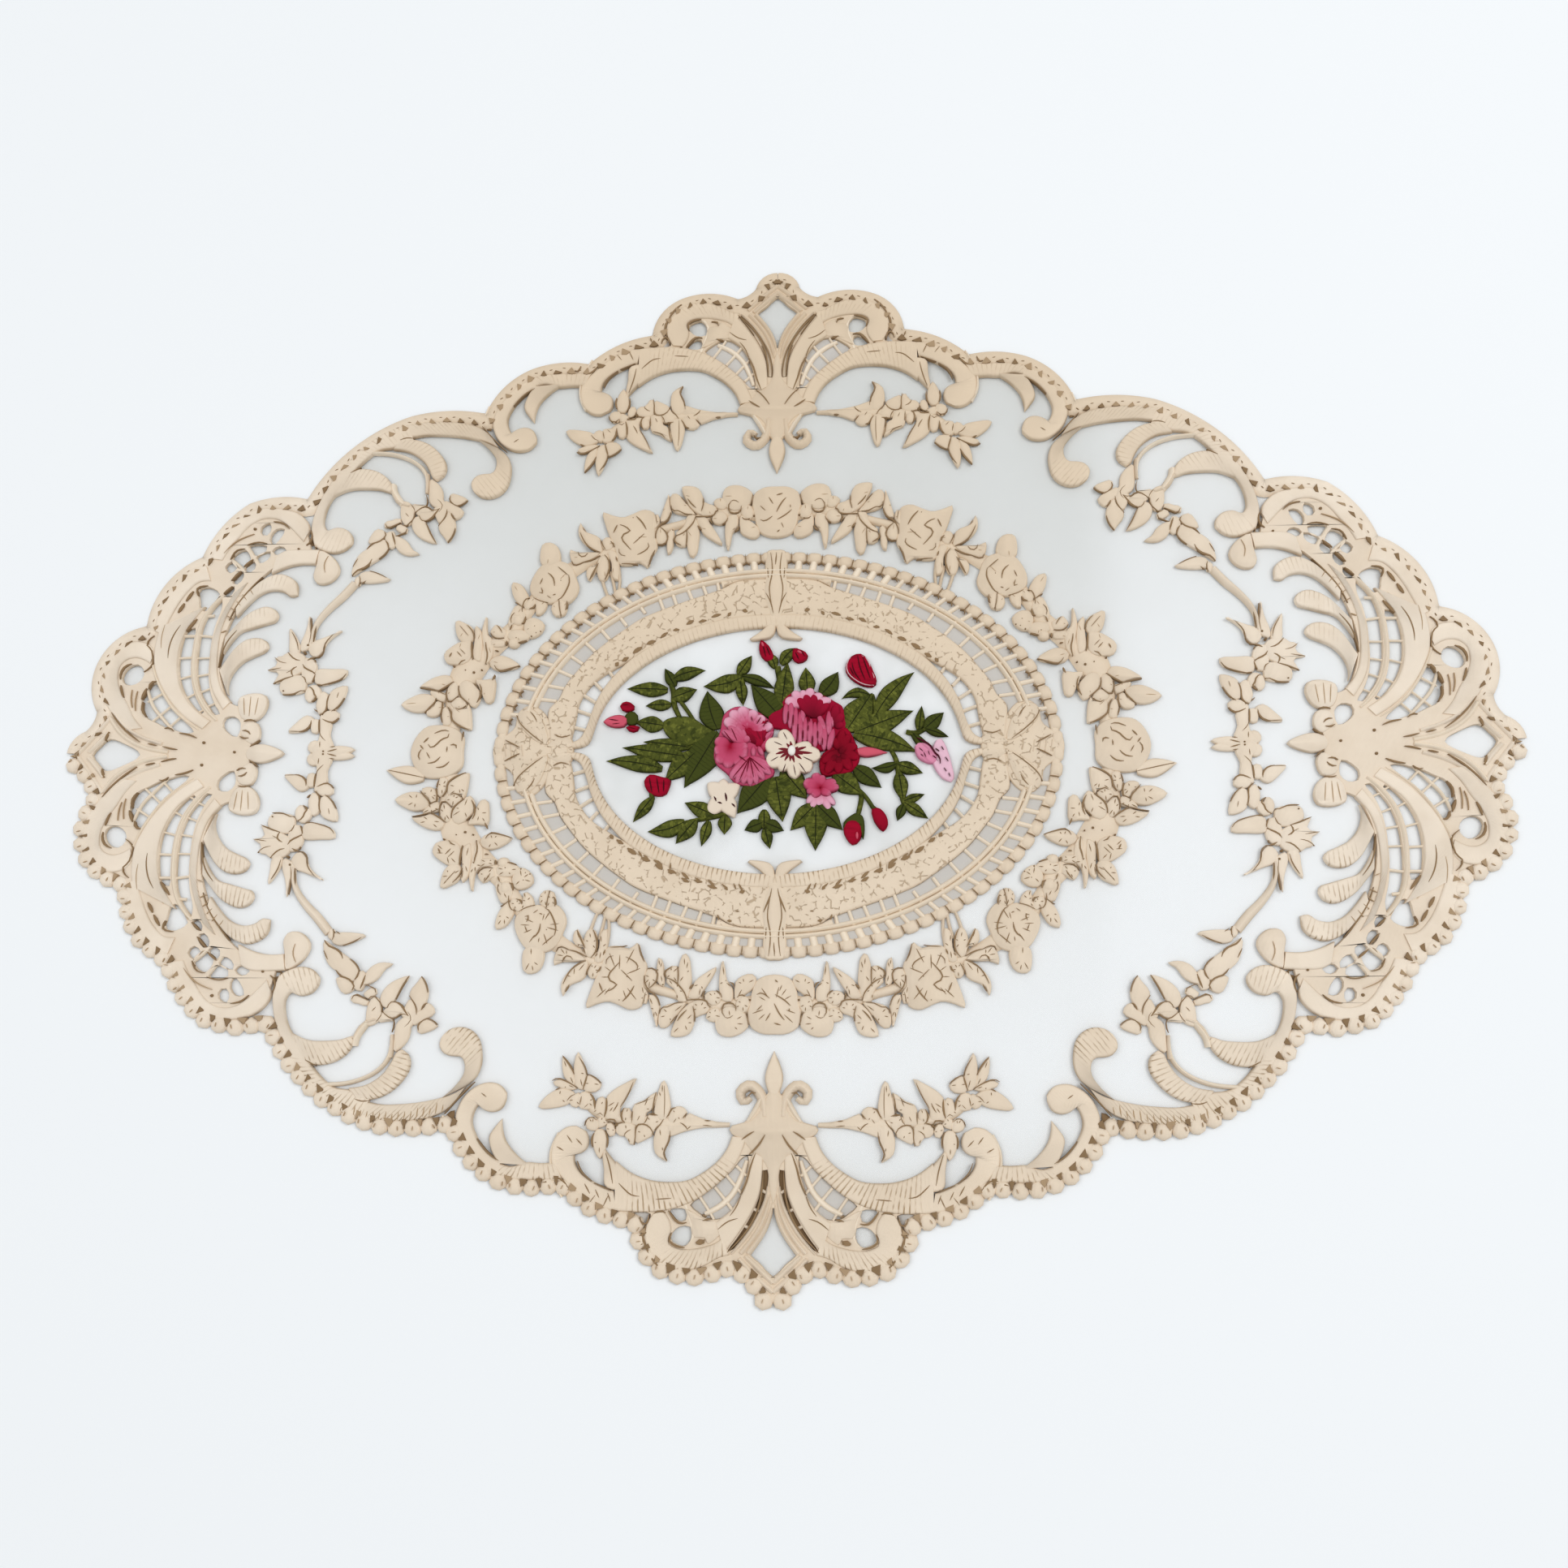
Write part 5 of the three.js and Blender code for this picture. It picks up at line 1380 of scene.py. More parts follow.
class Medallion:
    """The oval ring round the bouquet: satin rim, dense band, ladders, double rib and picots."""

    RIM_IN = (50.8, 34.6)
    RIM_FLARE = [(56, .5), (53.2, .9), (51.4, 2), (50.7, 3.8)]
    RIM_OUT = [(56.4, 2.2), (54, 3.4), (52.8, 5.4), (51.8, 8), (50.2, 13), (47.6, 18), (44.4, 22),
               (40, 26.4), (34, 30.3), (24, 34.8), (12, 37.8), (0, 38.6)]
    DENSE_IN = [(57, 0), (56.4, 3), (55.8, 5.4), (55.2, 9), (54.4, 13.4), (51.6, 18), (48.8, 20.6),
                (45, 23), (41.6, 25), (33.6, 29.7), (23.8, 34.2), (12, 37.1), (0, 37.9)]
    DENSE_OUT = [(62, 0), (62.6, 5), (63, 11.6), (60.4, 14.6), (58.6, 18.6), (55.4, 22.9), (52, 27),
                 (47, 31.4), (42, 35.1), (38, 37.8), (32, 40.4), (26, 42.6), (20, 44.6), (15, 46.4),
                 (11, 48.4), (0, 49)]
    RIB_IN, RIB_OUT = (69, 50), (70.4, 51.4)
    LADDER_IN, LADDER_OUT = (70.9, 51.9), (75.1, 54.5)
    PICOT_IN, PICOT_MID, PICOT_OUT = (74.7, 54.1), (76.3, 55.5), (77.1, 56.4)
    RUNGS = 24  # in a quarter of the ladder
    SOLID_TO = 16  # up to this x the dense band reaches the rib without a gap
    FLARE_TO = 5.6  # up to this y the rim flares outward
    CROSS_TO = 11  # up to this y the crossed leaves stand in place of the ribs
    ROOF = (0.9, 0.7)  # half width and height of the small roofs between picots
    TICK = 2.4  # length of the lines between picots

    # Rungs from the dense band to the rib and to the rim, and slits in the dense band: x, y twice.
    RIB_RUNGS = ((16, 45.6, 16.8, 49), (19.6, 44.4, 21, 48.4), (23.6, 43.2, 25.4, 47.4),
                 (28, 41.6, 29.6, 46.2), (31.6, 40.2, 33.4, 45), (36.8, 39.4, 38.8, 42.2),
                 (42, 35.8, 44.6, 39.4), (46.6, 31.8, 50, 35.8), (50.6, 28.4, 54.4, 32),
                 (54, 24.8, 58.6, 28), (56.8, 21.2, 62, 23.6), (59, 17.8, 65.2, 19), (61, 14.2, 67.4, 15))
    RIM_RUNGS = ((45.4, 21, 46.9, 23.2), (48.4, 17.2, 50.6, 19.6), (50, 13.6, 53.4, 15.8),
                 (51, 10, 54.8, 11.4), (52, 5.6, 55.6, 6.6))
    SLITS = ((8, 39.2, 9.4, 39.6, .5), (12.6, 39, 13.4, 37.9, .4), (15.4, 38.5, 18, 37.7, .35),
             (19.4, 36.8, 21.6, 36.3, .4), (23, 36.8, 25, 35.7, .45), (27, 34.2, 28.7, 34, .4),
             (30.2, 33.4, 32.2, 31.9, .35), (33.6, 31, 36, 30.1, .45), (37.4, 29.2, 39.8, 27.5, .5),
             (41, 26.3, 42.8, 25.2, .5), (43.8, 24.9, 44.6, 23.8, .5))

    # dark slits of the near half, painted shade in small openings
    NEAR_SLITS = folds((.4, 8.4, 39.6, 9.6, 37.4), (.34, 10.4, 38.8, 11, 37.2),
                       (.4, 12.8, 38.6, 14.2, 37.3), (.5, 16, 38.2, 17.8, 36.2), (.4, 20, 36.6, 21.4, 35.6),
                       (.6, 23, 36, 25, 34.2), (.6, 26.4, 34.4, 28.8, 33.4), (.4, 28.2, 33.4, 28, 31.6),
                       (.7, 30.2, 33.2, 31, 31.8, 32.6, 30.8), (.5, 34, 30.6, 35.4, 29.4),
                       (.5, 35.8, 30, 36.8, 28.4), (.3, 1, 40, 2, 42.6, 3, 45),
                       (.6, 11.4, 47.3, 12.6, 47.2), (.4, 14.8, 47, 15.2, 45.6),
                       (.3, 9.4, 44.7, 10.4, 44.7), level=Level.BAND)

    # The stalk on the Y axis and the crossed leaves on the X axis, each as a half.
    STALK = [
        Pad(closed_on_y([(0, 57.6), (2.4, 57.4), (3.2, 54), (3, 50), (3.6, 46), (3.2, 42), (2, 39),
                         (1.4, 37), (0, 36.5)]), level=Level.BAND),
        *[Pad(leaf, level=Level.PETAL) for leaf in both_sides(
            [(.2, 39), (1.5, 36.5), (4, 33.8), (7.6, 31), (4, 31), (1.2, 31.8), (.2, 33.6)])],
        *[Crease(line) for line in both_sides(
            [(1.6, 56.6), (1.1, 51), (1.9, 46), (1.2, 41)], [(2.9, 44.6), (1.6, 42), (.8, 38.6)],
            [(2.4, 52), (2.2, 49)])],
        Crease([(0, 56), (-.2, 53)]),
    ]
    CROSS = [
        Pad(closed_on_x([(55.6, 0), (56, 2), (57.4, 4.4), (60, 5), (62, 7.4), (64, 10.6), (66.4, 12.6),
                         (69.4, 12.8), (71.8, 10), (72.4, 6.6), (75, 4.4), (77.6, 2.6), (78.2, 0)]),
            level=Level.BODY, crust=1),
        *[Pad(leaf, level=Level.PETAL, crust=.8) for leaf in both_ends(
            [(62.5, 1.4), (63, 5), (65, 9.6), (68, 12.2), (71.2, 11.4), (71.6, 8.6), (69.4, 5.2),
             (66, 2.4)],
            [(55.6, .9), (56.6, 3.6), (59.4, 4), (62, 2.6), (63.4, 1.2), (60, .5)])],
        *[Crease(line) for line in both_ends(
            [(64, 2), (67, 4.2), (70.6, 7.6), (71.8, 10)], [(56.6, 4.2), (59, 3.6), (61, 4.4)],
            [(66, 8), (66.8, 9.6), (68, 11)], [(70.6, .9), (72.6, 1.9), (74.6, 3)])],
        *[Cord([(x, -1.6, .5), (x + .5, 1.6, .5)], Level.BAND, step=3) for x in (69.6, 71.2, 72.8, 74.4)],
    ]

    def rings(self) -> list[Stroke]:
        """The rings of a quarter."""
        turn = even_angles(self.RIB_OUT, 60)
        rib = oval(self.RIB_IN, turn)
        far = [place for place in rib if place[0] < self.SOLID_TO]
        near = [place for place in self.DENSE_OUT if place[0] < self.SOLID_TO]
        rim = self.RIM_FLARE + [place for place in oval(self.RIM_IN, turn) if place[1] > self.FLARE_TO]
        return [
            Band(self.RIM_OUT, rim, (.1, 1), edge=.6),
            Band(self.DENSE_OUT, self.DENSE_IN, level=Level.PAD, edge=.4, crust=1),
            Band(far, near, level=Level.PAD, edge=.3, crust=.6),
            # sheets of painted shade under the openings of the ladders
            Band([place for place in rib if place[0] > self.SOLID_TO - 1],
                 [place for place in self.DENSE_OUT if place[0] > self.SOLID_TO - 2], tone=Tone.GROUND_SHADE_AND_GLINT,
                 level=Level.FOOTING, edge=0),
            Band(oval(self.LADDER_OUT, turn), oval(self.RIB_OUT, turn), tone=Tone.GROUND_SHADE_AND_GLINT, level=Level.FOOTING,
                 edge=0),
            *[Cord([(x, y, .75) for x, y in oval(reach, turn) if y > self.CROSS_TO], tone=Tone.LIGHT,
                   edge=.9)
              for reach in (self.RIB_IN, self.RIB_OUT)],
            Band(oval(self.PICOT_OUT, turn), oval(self.PICOT_IN, turn), level=Level.BODY, edge=.6),
        ]

    def hooks(self, barbed: bool) -> list[Stroke]:
        """Dark lines of painted shade between the picots of a quarter, and with barbed a small roof of it
        below each.
        """
        strokes: list[Stroke] = []
        turn = even_angles(self.PICOT_MID, 2 * self.RUNGS)
        for i, outer in enumerate(oval(self.LADDER_OUT, turn)):
            if i % 2 or i < 4:
                continue
            across = np.array([math.sin(turn[i]), -math.cos(turn[i])])
            middle, out = np.array(outer) * 0.995, np.array([math.cos(turn[i]), math.sin(turn[i])])
            wide, high = across * self.ROOF[0], out * self.ROOF[1]
            ends = [middle - wide - high, middle, middle + wide - high]
            if barbed:
                strokes.append(Crease([tuple(end) for end in ends], .22, Level.PAD, Tone.FOLD))
            strokes.append(Crease([tuple(middle), tuple(middle + out * self.TICK)], .16, Level.BAND))
        return strokes

    def spokes(self) -> list[Stroke]:
        """Rungs, picots and slits of a quarter, the slits drawn as dark lines of painted shade."""
        strokes: list[Stroke] = []
        turn = even_angles(self.PICOT_MID, 2 * self.RUNGS)
        for i, (inner, outer) in enumerate(zip(oval(self.LADDER_IN, turn), oval(self.LADDER_OUT, turn))):
            if i % 2 and i > 3:
                strokes.append(Bar(inner, outer, .65 if i < 32 else 1))
        for i, (x, y) in enumerate(oval(self.PICOT_MID, turn)):
            slope = math.atan2(self.PICOT_MID[1] * math.cos(turn[i]),
                               -self.PICOT_MID[0] * math.sin(turn[i]))
            if i % 2:
                strokes.append(Knob((x, y), (2.3, 1.7), math.degrees(slope), level=Level.PAD, square=2.8,
                                    edge=.5))
        strokes += [Bar((a, b), (c, d), .5) for a, b, c, d in self.RIB_RUNGS]
        strokes += [Bar((a, b), (c, d), .5, level=Level.PAD) for a, b, c, d in self.RIM_RUNGS]
        strokes += [Crease([(a, b), ((a + c) / 2, (b + d) / 2 + .1), (c, d)], half * 1.3)
                    for a, b, c, d, half in self.SLITS]
        return strokes

    def build(self) -> Iterator[bpy.types.Object]:
        """Makes the ring in one piece."""
        relief = Relief()
        relief.work(self.rings() + self.spokes(), Sides.QUARTERS)
        relief.work(self.hooks(barbed=True), Sides.FAR)
        relief.work(self.hooks(barbed=False) + self.NEAR_SLITS, Sides.NEAR)
        relief.work(self.STALK, Sides.TOP_BOTTOM)
        relief.work(self.CROSS, Sides.RIGHT_LEFT)
        yield relief.build("medallion", ECRU.make(), "ecru_lace", ("medallion_lace",))


class Wreath:
    """The closed vine of roses, daisies and leaves round the medallion."""

    VINE = [(0, 68.5, 3), (12, 69.5, 2), (19, 68.5, 2), (26, 66.6, 1.2), (33, 64.5, 1.6), (41, 61.5, 3),
            (50, 57, 1.6), (58, 53, 2.4), (64, 48.5, 3), (70, 41.5, 2), (74, 35.6, 2.6), (80, 30, 3),
            (86, 24, 4.6), (90, 15, 2.6), (89.6, 8, 2), (92, 2, 3), (92, 0, 3)]
    PETALS = petals(
        (7.4, 71.6, 6.6, 74.4, 8.6, 76.6, 11.6, 77.6, 14.6, 76.8, 15.6, 74, 15, 71.4, 12, 69.4),
        (13.8, 72.4, 16, 73.8, 18, 72.8, 17.4, 70.8, 15, 69.8),
        (6.6, 70, 8, 71.6, 10.4, 70.2, 9.9, 68, 8.6, 66.6, 6.6, 67.6),
        (10.2, 68.4, 10.6, 65, 10.2, 63, 8.4, 61.6, 6, 61.1, 4.7, 62.4, 5.2, 64.6, 7.6, 66.6),
        (11.2, 68.6, 14, 68, 14.7, 64, 14.4, 60, 13.8, 57.4, 13, 60, 12.5, 62.8, 11, 64.8),
        (13.8, 67.6, 14.8, 69.4, 17, 69.4, 18.7, 67.2, 17.6, 65.8, 15.4, 65.5, 14.2, 66.3),
        (16.8, 69.8, 17.4, 71.2, 19.4, 72, 21, 72.6, 22, 70.6, 21.6, 68.2, 18.4, 67.8),
        (18.8, 66, 20, 68, 23, 67.4, 21.8, 64.6, 20.8, 62.8, 18.2, 60.8, 15.2, 59.3, 16, 61.4),
        (23, 67.8, 25.6, 64.2, 25.5, 59.4, 24, 55.6, 22.6, 57, 22.1, 60, 21.9, 64),
        (21.2, 68.2, 20.8, 71, 21, 74, 22.4, 76.8, 25, 77.6, 27.2, 77.3, 26.6, 74.6, 24.8, 71),
        (23, 68.6, 24.8, 71, 27, 74, 28.8, 75.4, 30.2, 75, 30.6, 72.6, 29.6, 69.8, 26, 68.6),
        (30, 69.6, 30.6, 72.6, 30.8, 75.4, 31.7, 73, 32.6, 70, 33.2, 66.6, 31.4, 66.6),
        (22.8, 68.4, 25.4, 68.6, 26.4, 65.4, 28.6, 63.4, 28.4, 62, 25.4, 63.6, 23.6, 66),
        (25.4, 63.8, 25.3, 59.4, 27.4, 59, 29.1, 60.8, 28.6, 62.4),
        (29.3, 64.6, 31, 63.4, 31.3, 60, 30.7, 56.6, 29.8, 57.6, 29.2, 60),
        (33.2, 65.4, 31.2, 63.4, 30.8, 61.2, 31.8, 59.8, 33.6, 59.7, 34.4, 61.4, 34.4, 64),
        (33.2, 66.4, 34.2, 69.4, 35.2, 68, 35, 64),
        (49.8, 61, 50.8, 62.6, 54.6, 64.4, 56, 67, 56.7, 64, 55.6, 61.4, 53, 59, 49.6, 57.4),
        (50, 57.6, 53.6, 58, 56.6, 58, 58.8, 58.8, 58.6, 56, 57.4, 53.9, 55.4, 54.4, 52.2, 55.4),
        (50, 56.4, 50.6, 54.2, 52.6, 54, 54, 52, 53, 49, 51.6, 51.4, 50.2, 53.6),
        (47.8, 57, 50.2, 56.6, 51, 52, 49.6, 49, 48.2, 49.4, 47.2, 52, 47.3, 55),
        (45, 57, 46.6, 58.6, 48.2, 57.6, 47, 54.6, 46.4, 50, 44.8, 49, 44.5, 53),
        (46, 60.4, 48.2, 62.6, 50, 60.6, 48.8, 58.2, 47, 58.4),
        (61.6, 54.8, 62.1, 59.4, 64, 61, 66.6, 60.8, 67.4, 58, 67, 54.6, 65, 53.6),
        (59, 43, 61.3, 43.8, 61.2, 40, 60.2, 38.6, 59.1, 40.4),
        (61.2, 43.6, 63.2, 42.6, 63.4, 40.2, 61.6, 38.5, 60.5, 39),
        (68, 44.8, 70, 44.2, 71.5, 42.2, 70.8, 40.8, 69, 41, 68, 42.2),
        (64.8, 43.6, 68.4, 44.4, 68, 41.4, 67.6, 39, 65.4, 40.4),
        (70, 44.2, 70.9, 46.6, 72.4, 48.6, 75, 49.2, 74.9, 46, 73.4, 43, 71.6, 41.4),
        (71.6, 42, 73.4, 42.6, 75.2, 39.4, 75.6, 36.4, 74.6, 35, 73.8, 36.4, 70.6, 38),
        (65.2, 36.6, 68, 38.6, 70.6, 38, 71, 34.6, 69, 32.4, 66, 34),
        (69, 33, 71, 35, 75, 34.8, 75.6, 32.6, 72, 31),
        (75.8, 35, 77, 35.6, 79, 36.8, 80.6, 34.2, 79, 32.6, 76.4, 32.6),
        (76, 31.8, 80, 32.4, 80.2, 30.2, 76.2, 30.2),
        (79.4, 32, 81.2, 34, 81.8, 39.4, 83, 35, 82.4, 30.4, 81.2, 25, 79.6, 27),
        (83, 34.6, 84.9, 36.6, 85, 32, 85.2, 27, 83, 25.6),
        (85, 33, 85.8, 36, 88, 37.4, 90.5, 38.2, 90.5, 35, 89.4, 32.4, 86.6, 31),
        (85.8, 32, 88.4, 32, 91.4, 30.4, 93.4, 28.4, 92.6, 25.6, 88, 25, 85.6, 26.6),
        (71.6, 24.4, 75, 27, 78, 27.6, 80.4, 26, 79.8, 24, 77.6, 23, 75.2, 23.2),
        (78.6, 20.8, 81.4, 20.6, 84.2, 20.6, 83, 18.2, 81.6, 15.2, 80.6, 13.6, 79, 13.8, 78.3, 17.4),
        (82.3, 16, 84, 19.2, 87, 20.6, 88.8, 18.6, 88.2, 16, 85.6, 13.5, 84, 12.4, 82.7, 13.8),
        (88.3, 16.2, 91, 14.1, 92.1, 16, 91.7, 18.6, 90.2, 20.2, 88.8, 19.6),
        (90.2, 20, 91.6, 22, 94.8, 21.8, 98, 20.2, 99.8, 18.6, 96.6, 18.1, 94.2, 17.4, 91.4, 18.8),
        (91.6, 16.4, 94.2, 17.4, 97, 17.6, 95.2, 15, 92.8, 14),
        (94.8, 15.2, 96.4, 16.4, 99, 16.8, 101.8, 15.8, 104.8, 13.6, 101.6, 11.5, 98.4, 11.3, 96.8, 11.9,
         95.2, 13.4),
        (92.9, 14.2, 94.7, 14.9, 95.4, 13.2, 97.6, 11.5, 97.1, 10.2, 94.4, 10, 93.2, 11, 92.6, 12.8),
        (86.2, 14.2, 88.4, 15.8, 90.8, 14, 89.8, 12.2, 88, 11.8, 86.2, 12.6),
        (85.6, 13.6, 86.4, 12.4, 89.8, 12.6, 90.3, 9.4, 88.6, 7.7, 84.6, 5.9, 84.5, 9, 84.9, 11.8),
        (90.2, 10, 91.4, 12.8, 92.9, 12.6, 93, 9, 92.2, 7.2, 90.2, 7.6),
        (34.2, 62, 34.5, 66, 35, 69.6, 38, 70.6, 41, 69.4, 43.8, 68.4, 46.8, 69, 49.8, 70, 48.9, 66,
         47.4, 62, 46, 58.6, 45.2, 55.4, 44.6, 54, 41, 53.7, 38.6, 54.4, 36.3, 52.8, 35.4, 56, 33.7, 59),
        (56.6, 50, 57.8, 53.4, 60, 55, 63.4, 55.6, 66.6, 54.4, 69, 51, 69.9, 48, 69.4, 45.4, 66.6, 43.2,
         63, 42.6, 61.4, 43.4, 59, 42.4, 56.4, 45, 55.8, 47.6), level=Level.PAD)
    ROSE_TOP = petals((0, 76.9, 3.4, 76.7, 6.2, 75, 7.1, 72, 6.4, 68.6, 6, 66, 4.8, 63, 2, 61.5, -2, 61.5,
                       -4.8, 63, -6, 66, -6.4, 68.6, -7.1, 72, -6.2, 75, -3.4, 76.7), level=Level.PAD)
    ROSE_END = petals((86.4, 0, 86.4, 4, 88.4, 6.4, 92.4, 7.6, 97, 7.2, 99.8, 4.4, 101.2, 0, 99.8, -4.4,
                       97, -7.2, 92.4, -7.6, 88.4, -6.4, 86.4, -4), level=Level.PAD)
    FOLDS = folds(
        (.26, 10, 70.9, 10.3, 69.3, 12.2, 68.7, 13.4, 69.3, 13.7, 71, 13, 72.3),
        (.13, 13, 72.4, 12, 72.7, 10.8, 72),
        (.22, 7.6, 67, 8.8, 66.7, 9.8, 67.4), (.34, 10.6, 64.7, 11, 63.7, 11.8, 63.3),
        (.2, 13.8, 67.4, 14.2, 66.3, 15.4, 65.4),
        (.14, 7.2, 71.4, 7, 73, 6.7, 74.4), (.26, 16.6, 69.9, 17.2, 69.7, 17.6, 68.5, 18.6, 68, 22.8, 68),
        (.28, 18.6, 67.8, 18.8, 66.8, 18.2, 65.6), (.4, 21.3, 63.9, 22.4, 65.1),
        (.2, 20.8, 73.6, 20.9, 71.6, 21.4, 69.6),
        (.28, 23, 70.6, 24.4, 72, 25.4, 73.4), (.12, 25.6, 72, 27.2, 74),
        (.18, 24, 68.6, 26, 68.8, 28, 69.8, 29.6, 70, 30.2, 71.6),
        (.26, 22.9, 68.2, 23.6, 66.2, 25.3, 64.1, 26.6, 63, 28.6, 62.2),
        (.22, 25.5, 63.8, 25.4, 61, 25.6, 59.3),
        (.28, 27, 59.3, 28.2, 60, 29.1, 60.8, 28.6, 62.1),
        (.22, 30.1, 69.4, 31.2, 66.9, 33.2, 65.5, 34.2, 63.4, 34.4, 61.6),
        (.22, 33.2, 65, 31.4, 63.4, 30.8, 61.4, 31.8, 59.8, 33.6, 59.7), (.15, 34.5, 68.8, 34, 66),
        (.3, 37, 64.3, 38.2, 66.4, 40, 68.4),
        (.17, 37.6, 63, 38.8, 61.8, 40.6, 60.1), (.22, 36.4, 60.2, 36.2, 58.9, 37.6, 57.6, 39.4, 56.7),
        (.28, 44.6, 65.9, 42.6, 65, 41.6, 63.7, 43.2, 63.2, 44, 61.7, 42.8, 60, 41.2, 58.2),
        (.28, 45.4, 65.8, 46.4, 63.5),
        (.36, 46, 59.2, 46.3, 60, 47.1, 60.9), (.15, 42.8, 56.4, 44.4, 57, 44.7, 58.6),
        (.18, 39.2, 53.7, 41, 54, 43.8, 54.1),
        (.16, 34.4, 58, 35.4, 55.8, 36.1, 53.4), (.24, 50, 57.7, 52.6, 58.8, 54.4, 60.6, 56, 63.8),
        (.22, 49.9, 61.4, 49.4, 59.8, 48.6, 58.5),
        (.22, 53.6, 57.4, 54.6, 56.4, 55.8, 56.6, 56.4, 58), (.26, 50, 56.7, 52.4, 55.4, 54.6, 54.8),
        (.14, 54.6, 54.8, 57.4, 53.9, 58.2, 55.2),
        (.3, 50.4, 54.4, 51.6, 52, 52.8, 49.5),
        (.3, 48.8, 56.9, 47.6, 55.4, 47.2, 53.2, 47.6, 51.4, 48.4, 49.5), (.34, 45, 54.8, 45.5, 56.2),
        (.28, 58.8, 51, 58.5, 48.8, 59.4, 46.2, 60.6, 44.2, 61.6, 43.6),
        (.2, 59, 51, 60.4, 52.2, 61.9, 53.5),
        (.28, 62.7, 47.8, 63.2, 50.2, 64.7, 51.7), (.22, 66.2, 50.1, 66.9, 48.4),
        (.26, 66.5, 47.3, 66, 45.7, 67, 45.9),
        (.22, 62.3, 45.3, 63.1, 45), (.15, 63.6, 44.1, 64.7, 44.9),
        (.18, 64.4, 42.8, 66.6, 43.4, 68.6, 44.4), (.3, 59, 43.2, 58.9, 42, 59.3, 40.6),
        (.16, 61.3, 43.4, 61, 41, 60.5, 38.9), (.34, 67.9, 42.4, 68.4, 41.5, 69.6, 41.1),
        (.22, 69.7, 44.3, 70.9, 43.8, 71.6, 41.6, 71.6, 40.2),
        (.14, 71.6, 41.6, 72.8, 42.6, 73.8, 43.1), (.36, 70.6, 38.8, 70.9, 37, 71.6, 36.7),
        (.15, 73.8, 40, 74.8, 38.6, 74.6, 37),
        (.3, 74.3, 36.4, 74.9, 35), (.32, 70, 31.7, 72.3, 31.1), (.36, 75.6, 31.7, 75.8, 30.5),
        (.22, 77, 34.1, 77.6, 35.2, 78.6, 36.4),
        (.14, 76.4, 32.6, 79, 32.6, 80.6, 34.2), (.24, 77.9, 28.8, 78.8, 28.9),
        (.28, 81.6, 31.4, 81.4, 29.8, 80.9, 27.8, 81.3, 25),
        (.22, 84.8, 32.6, 85.4, 34.6, 87.2, 36.6), (.12, 86.6, 33.4, 89.2, 36.4),
        (.34, 85.6, 31.6, 85.4, 29, 85, 26.4),
        (.15, 87.2, 28, 88.8, 29.6), (.22, 88.2, 27.3, 89.6, 28.8), (.28, 87.1, 26.3, 88.4, 25.7, 88.9, 25),
        (.34, 91.1, 28.4, 91.7, 27.2),
        (.24, 71.6, 24.4, 74.2, 23.6, 77.4, 23, 78.8, 24.6), (.36, 78.5, 21.8, 79.1, 20.2),
        (.3, 82.7, 19.2, 82.1, 17.6, 82.2, 16, 83.2, 13.8),
        (.18, 82.8, 18, 84.4, 19.5), (.26, 85.2, 13.5, 87, 14.8, 88.2, 16.2, 88.6, 18.8),
        (.2, 88.6, 15.8, 91.1, 14, 92, 16.2, 91.8, 17.8),
        (.28, 90, 20, 92, 18.6, 94.4, 17.2), (.14, 94.4, 17.2, 92, 16.2),
        (.17, 94.4, 17.2, 97, 17.9, 99.6, 18.3),
        (.24, 94.7, 15.3, 95.1, 14, 96.4, 12.6, 97.8, 11), (.28, 93, 14.2, 92.9, 12, 93.3, 10.4),
        (.15, 94.9, 14.9, 93, 14),
        (.2, 86.2, 13, 87.8, 11.9, 89.2, 12.4), (.3, 91.4, 12.8, 90.2, 11, 90.1, 9.2, 88.8, 7.8, 85.2, 6.1),
        (.2, 93.2, 10.2, 92.7, 8.2))
    ROSE_TOP_FOLDS = folds(
        (.26, 0, 68.9, 1.4, 71.6, 2.7, 73.2), (.3, 0, 74, 1.7, 74.5), (.24, .2, 66.6, 2.6, 68, 4.3, 69.5),
        (.28, .2, 62.8, .9, 63.4),
        (.2, 3.9, 71, 4, 70.2), (.15, 1.4, 65.6, 2, 64.2), (.24, -1, 71.4, -2.2, 73.4),
        (.22, -1.2, 67.6, -3.4, 66.2, -4.6, 66.6),
        (.2, -3.2, 69.4, -4.6, 70.8))
    ROSE_END_FOLDS = folds(
        (.22, 90.6, 5.7, 92, 6, 93.4, 5.6, 94.6, 5.1),
        (.28, 90.5, 5, 90.6, 4.1, 92.4, 3.4, 94, 1.8, 95.2, 1, 96.2, 2),
        (.34, 96.2, 3.9, 97.5, 2.5), (.3, 88.2, .8, 88.5, 1.8, 89.9, 1.7), (.26, 90.8, 1.3, 90.9, -.2),
        (.3, 97.5, .6, 98.4, 1.8),
        (.24, 98, .6, 98.8, -1, 98.3, -2.4), (.22, 96.5, -.3, 95.5, -2),
        (.28, 90, -3, 91.6, -4.4, 93.6, -4.6), (.26, 92.6, -1.6, 94, -3, 96, -3.4),
        (.16, 86.6, 5.6, 86.8, 2.8))
    THREADS = [[(45.2, 55, .5), (44.4, 50, .45), (44.6, 46, .4)],
               [(49.6, 50.4, .5), (48.4, 46.6, .45), (46.8, 43, .4)],
               [(47, 52, .5), (46, 48, .45), (45.4, 44.6, .4)]]
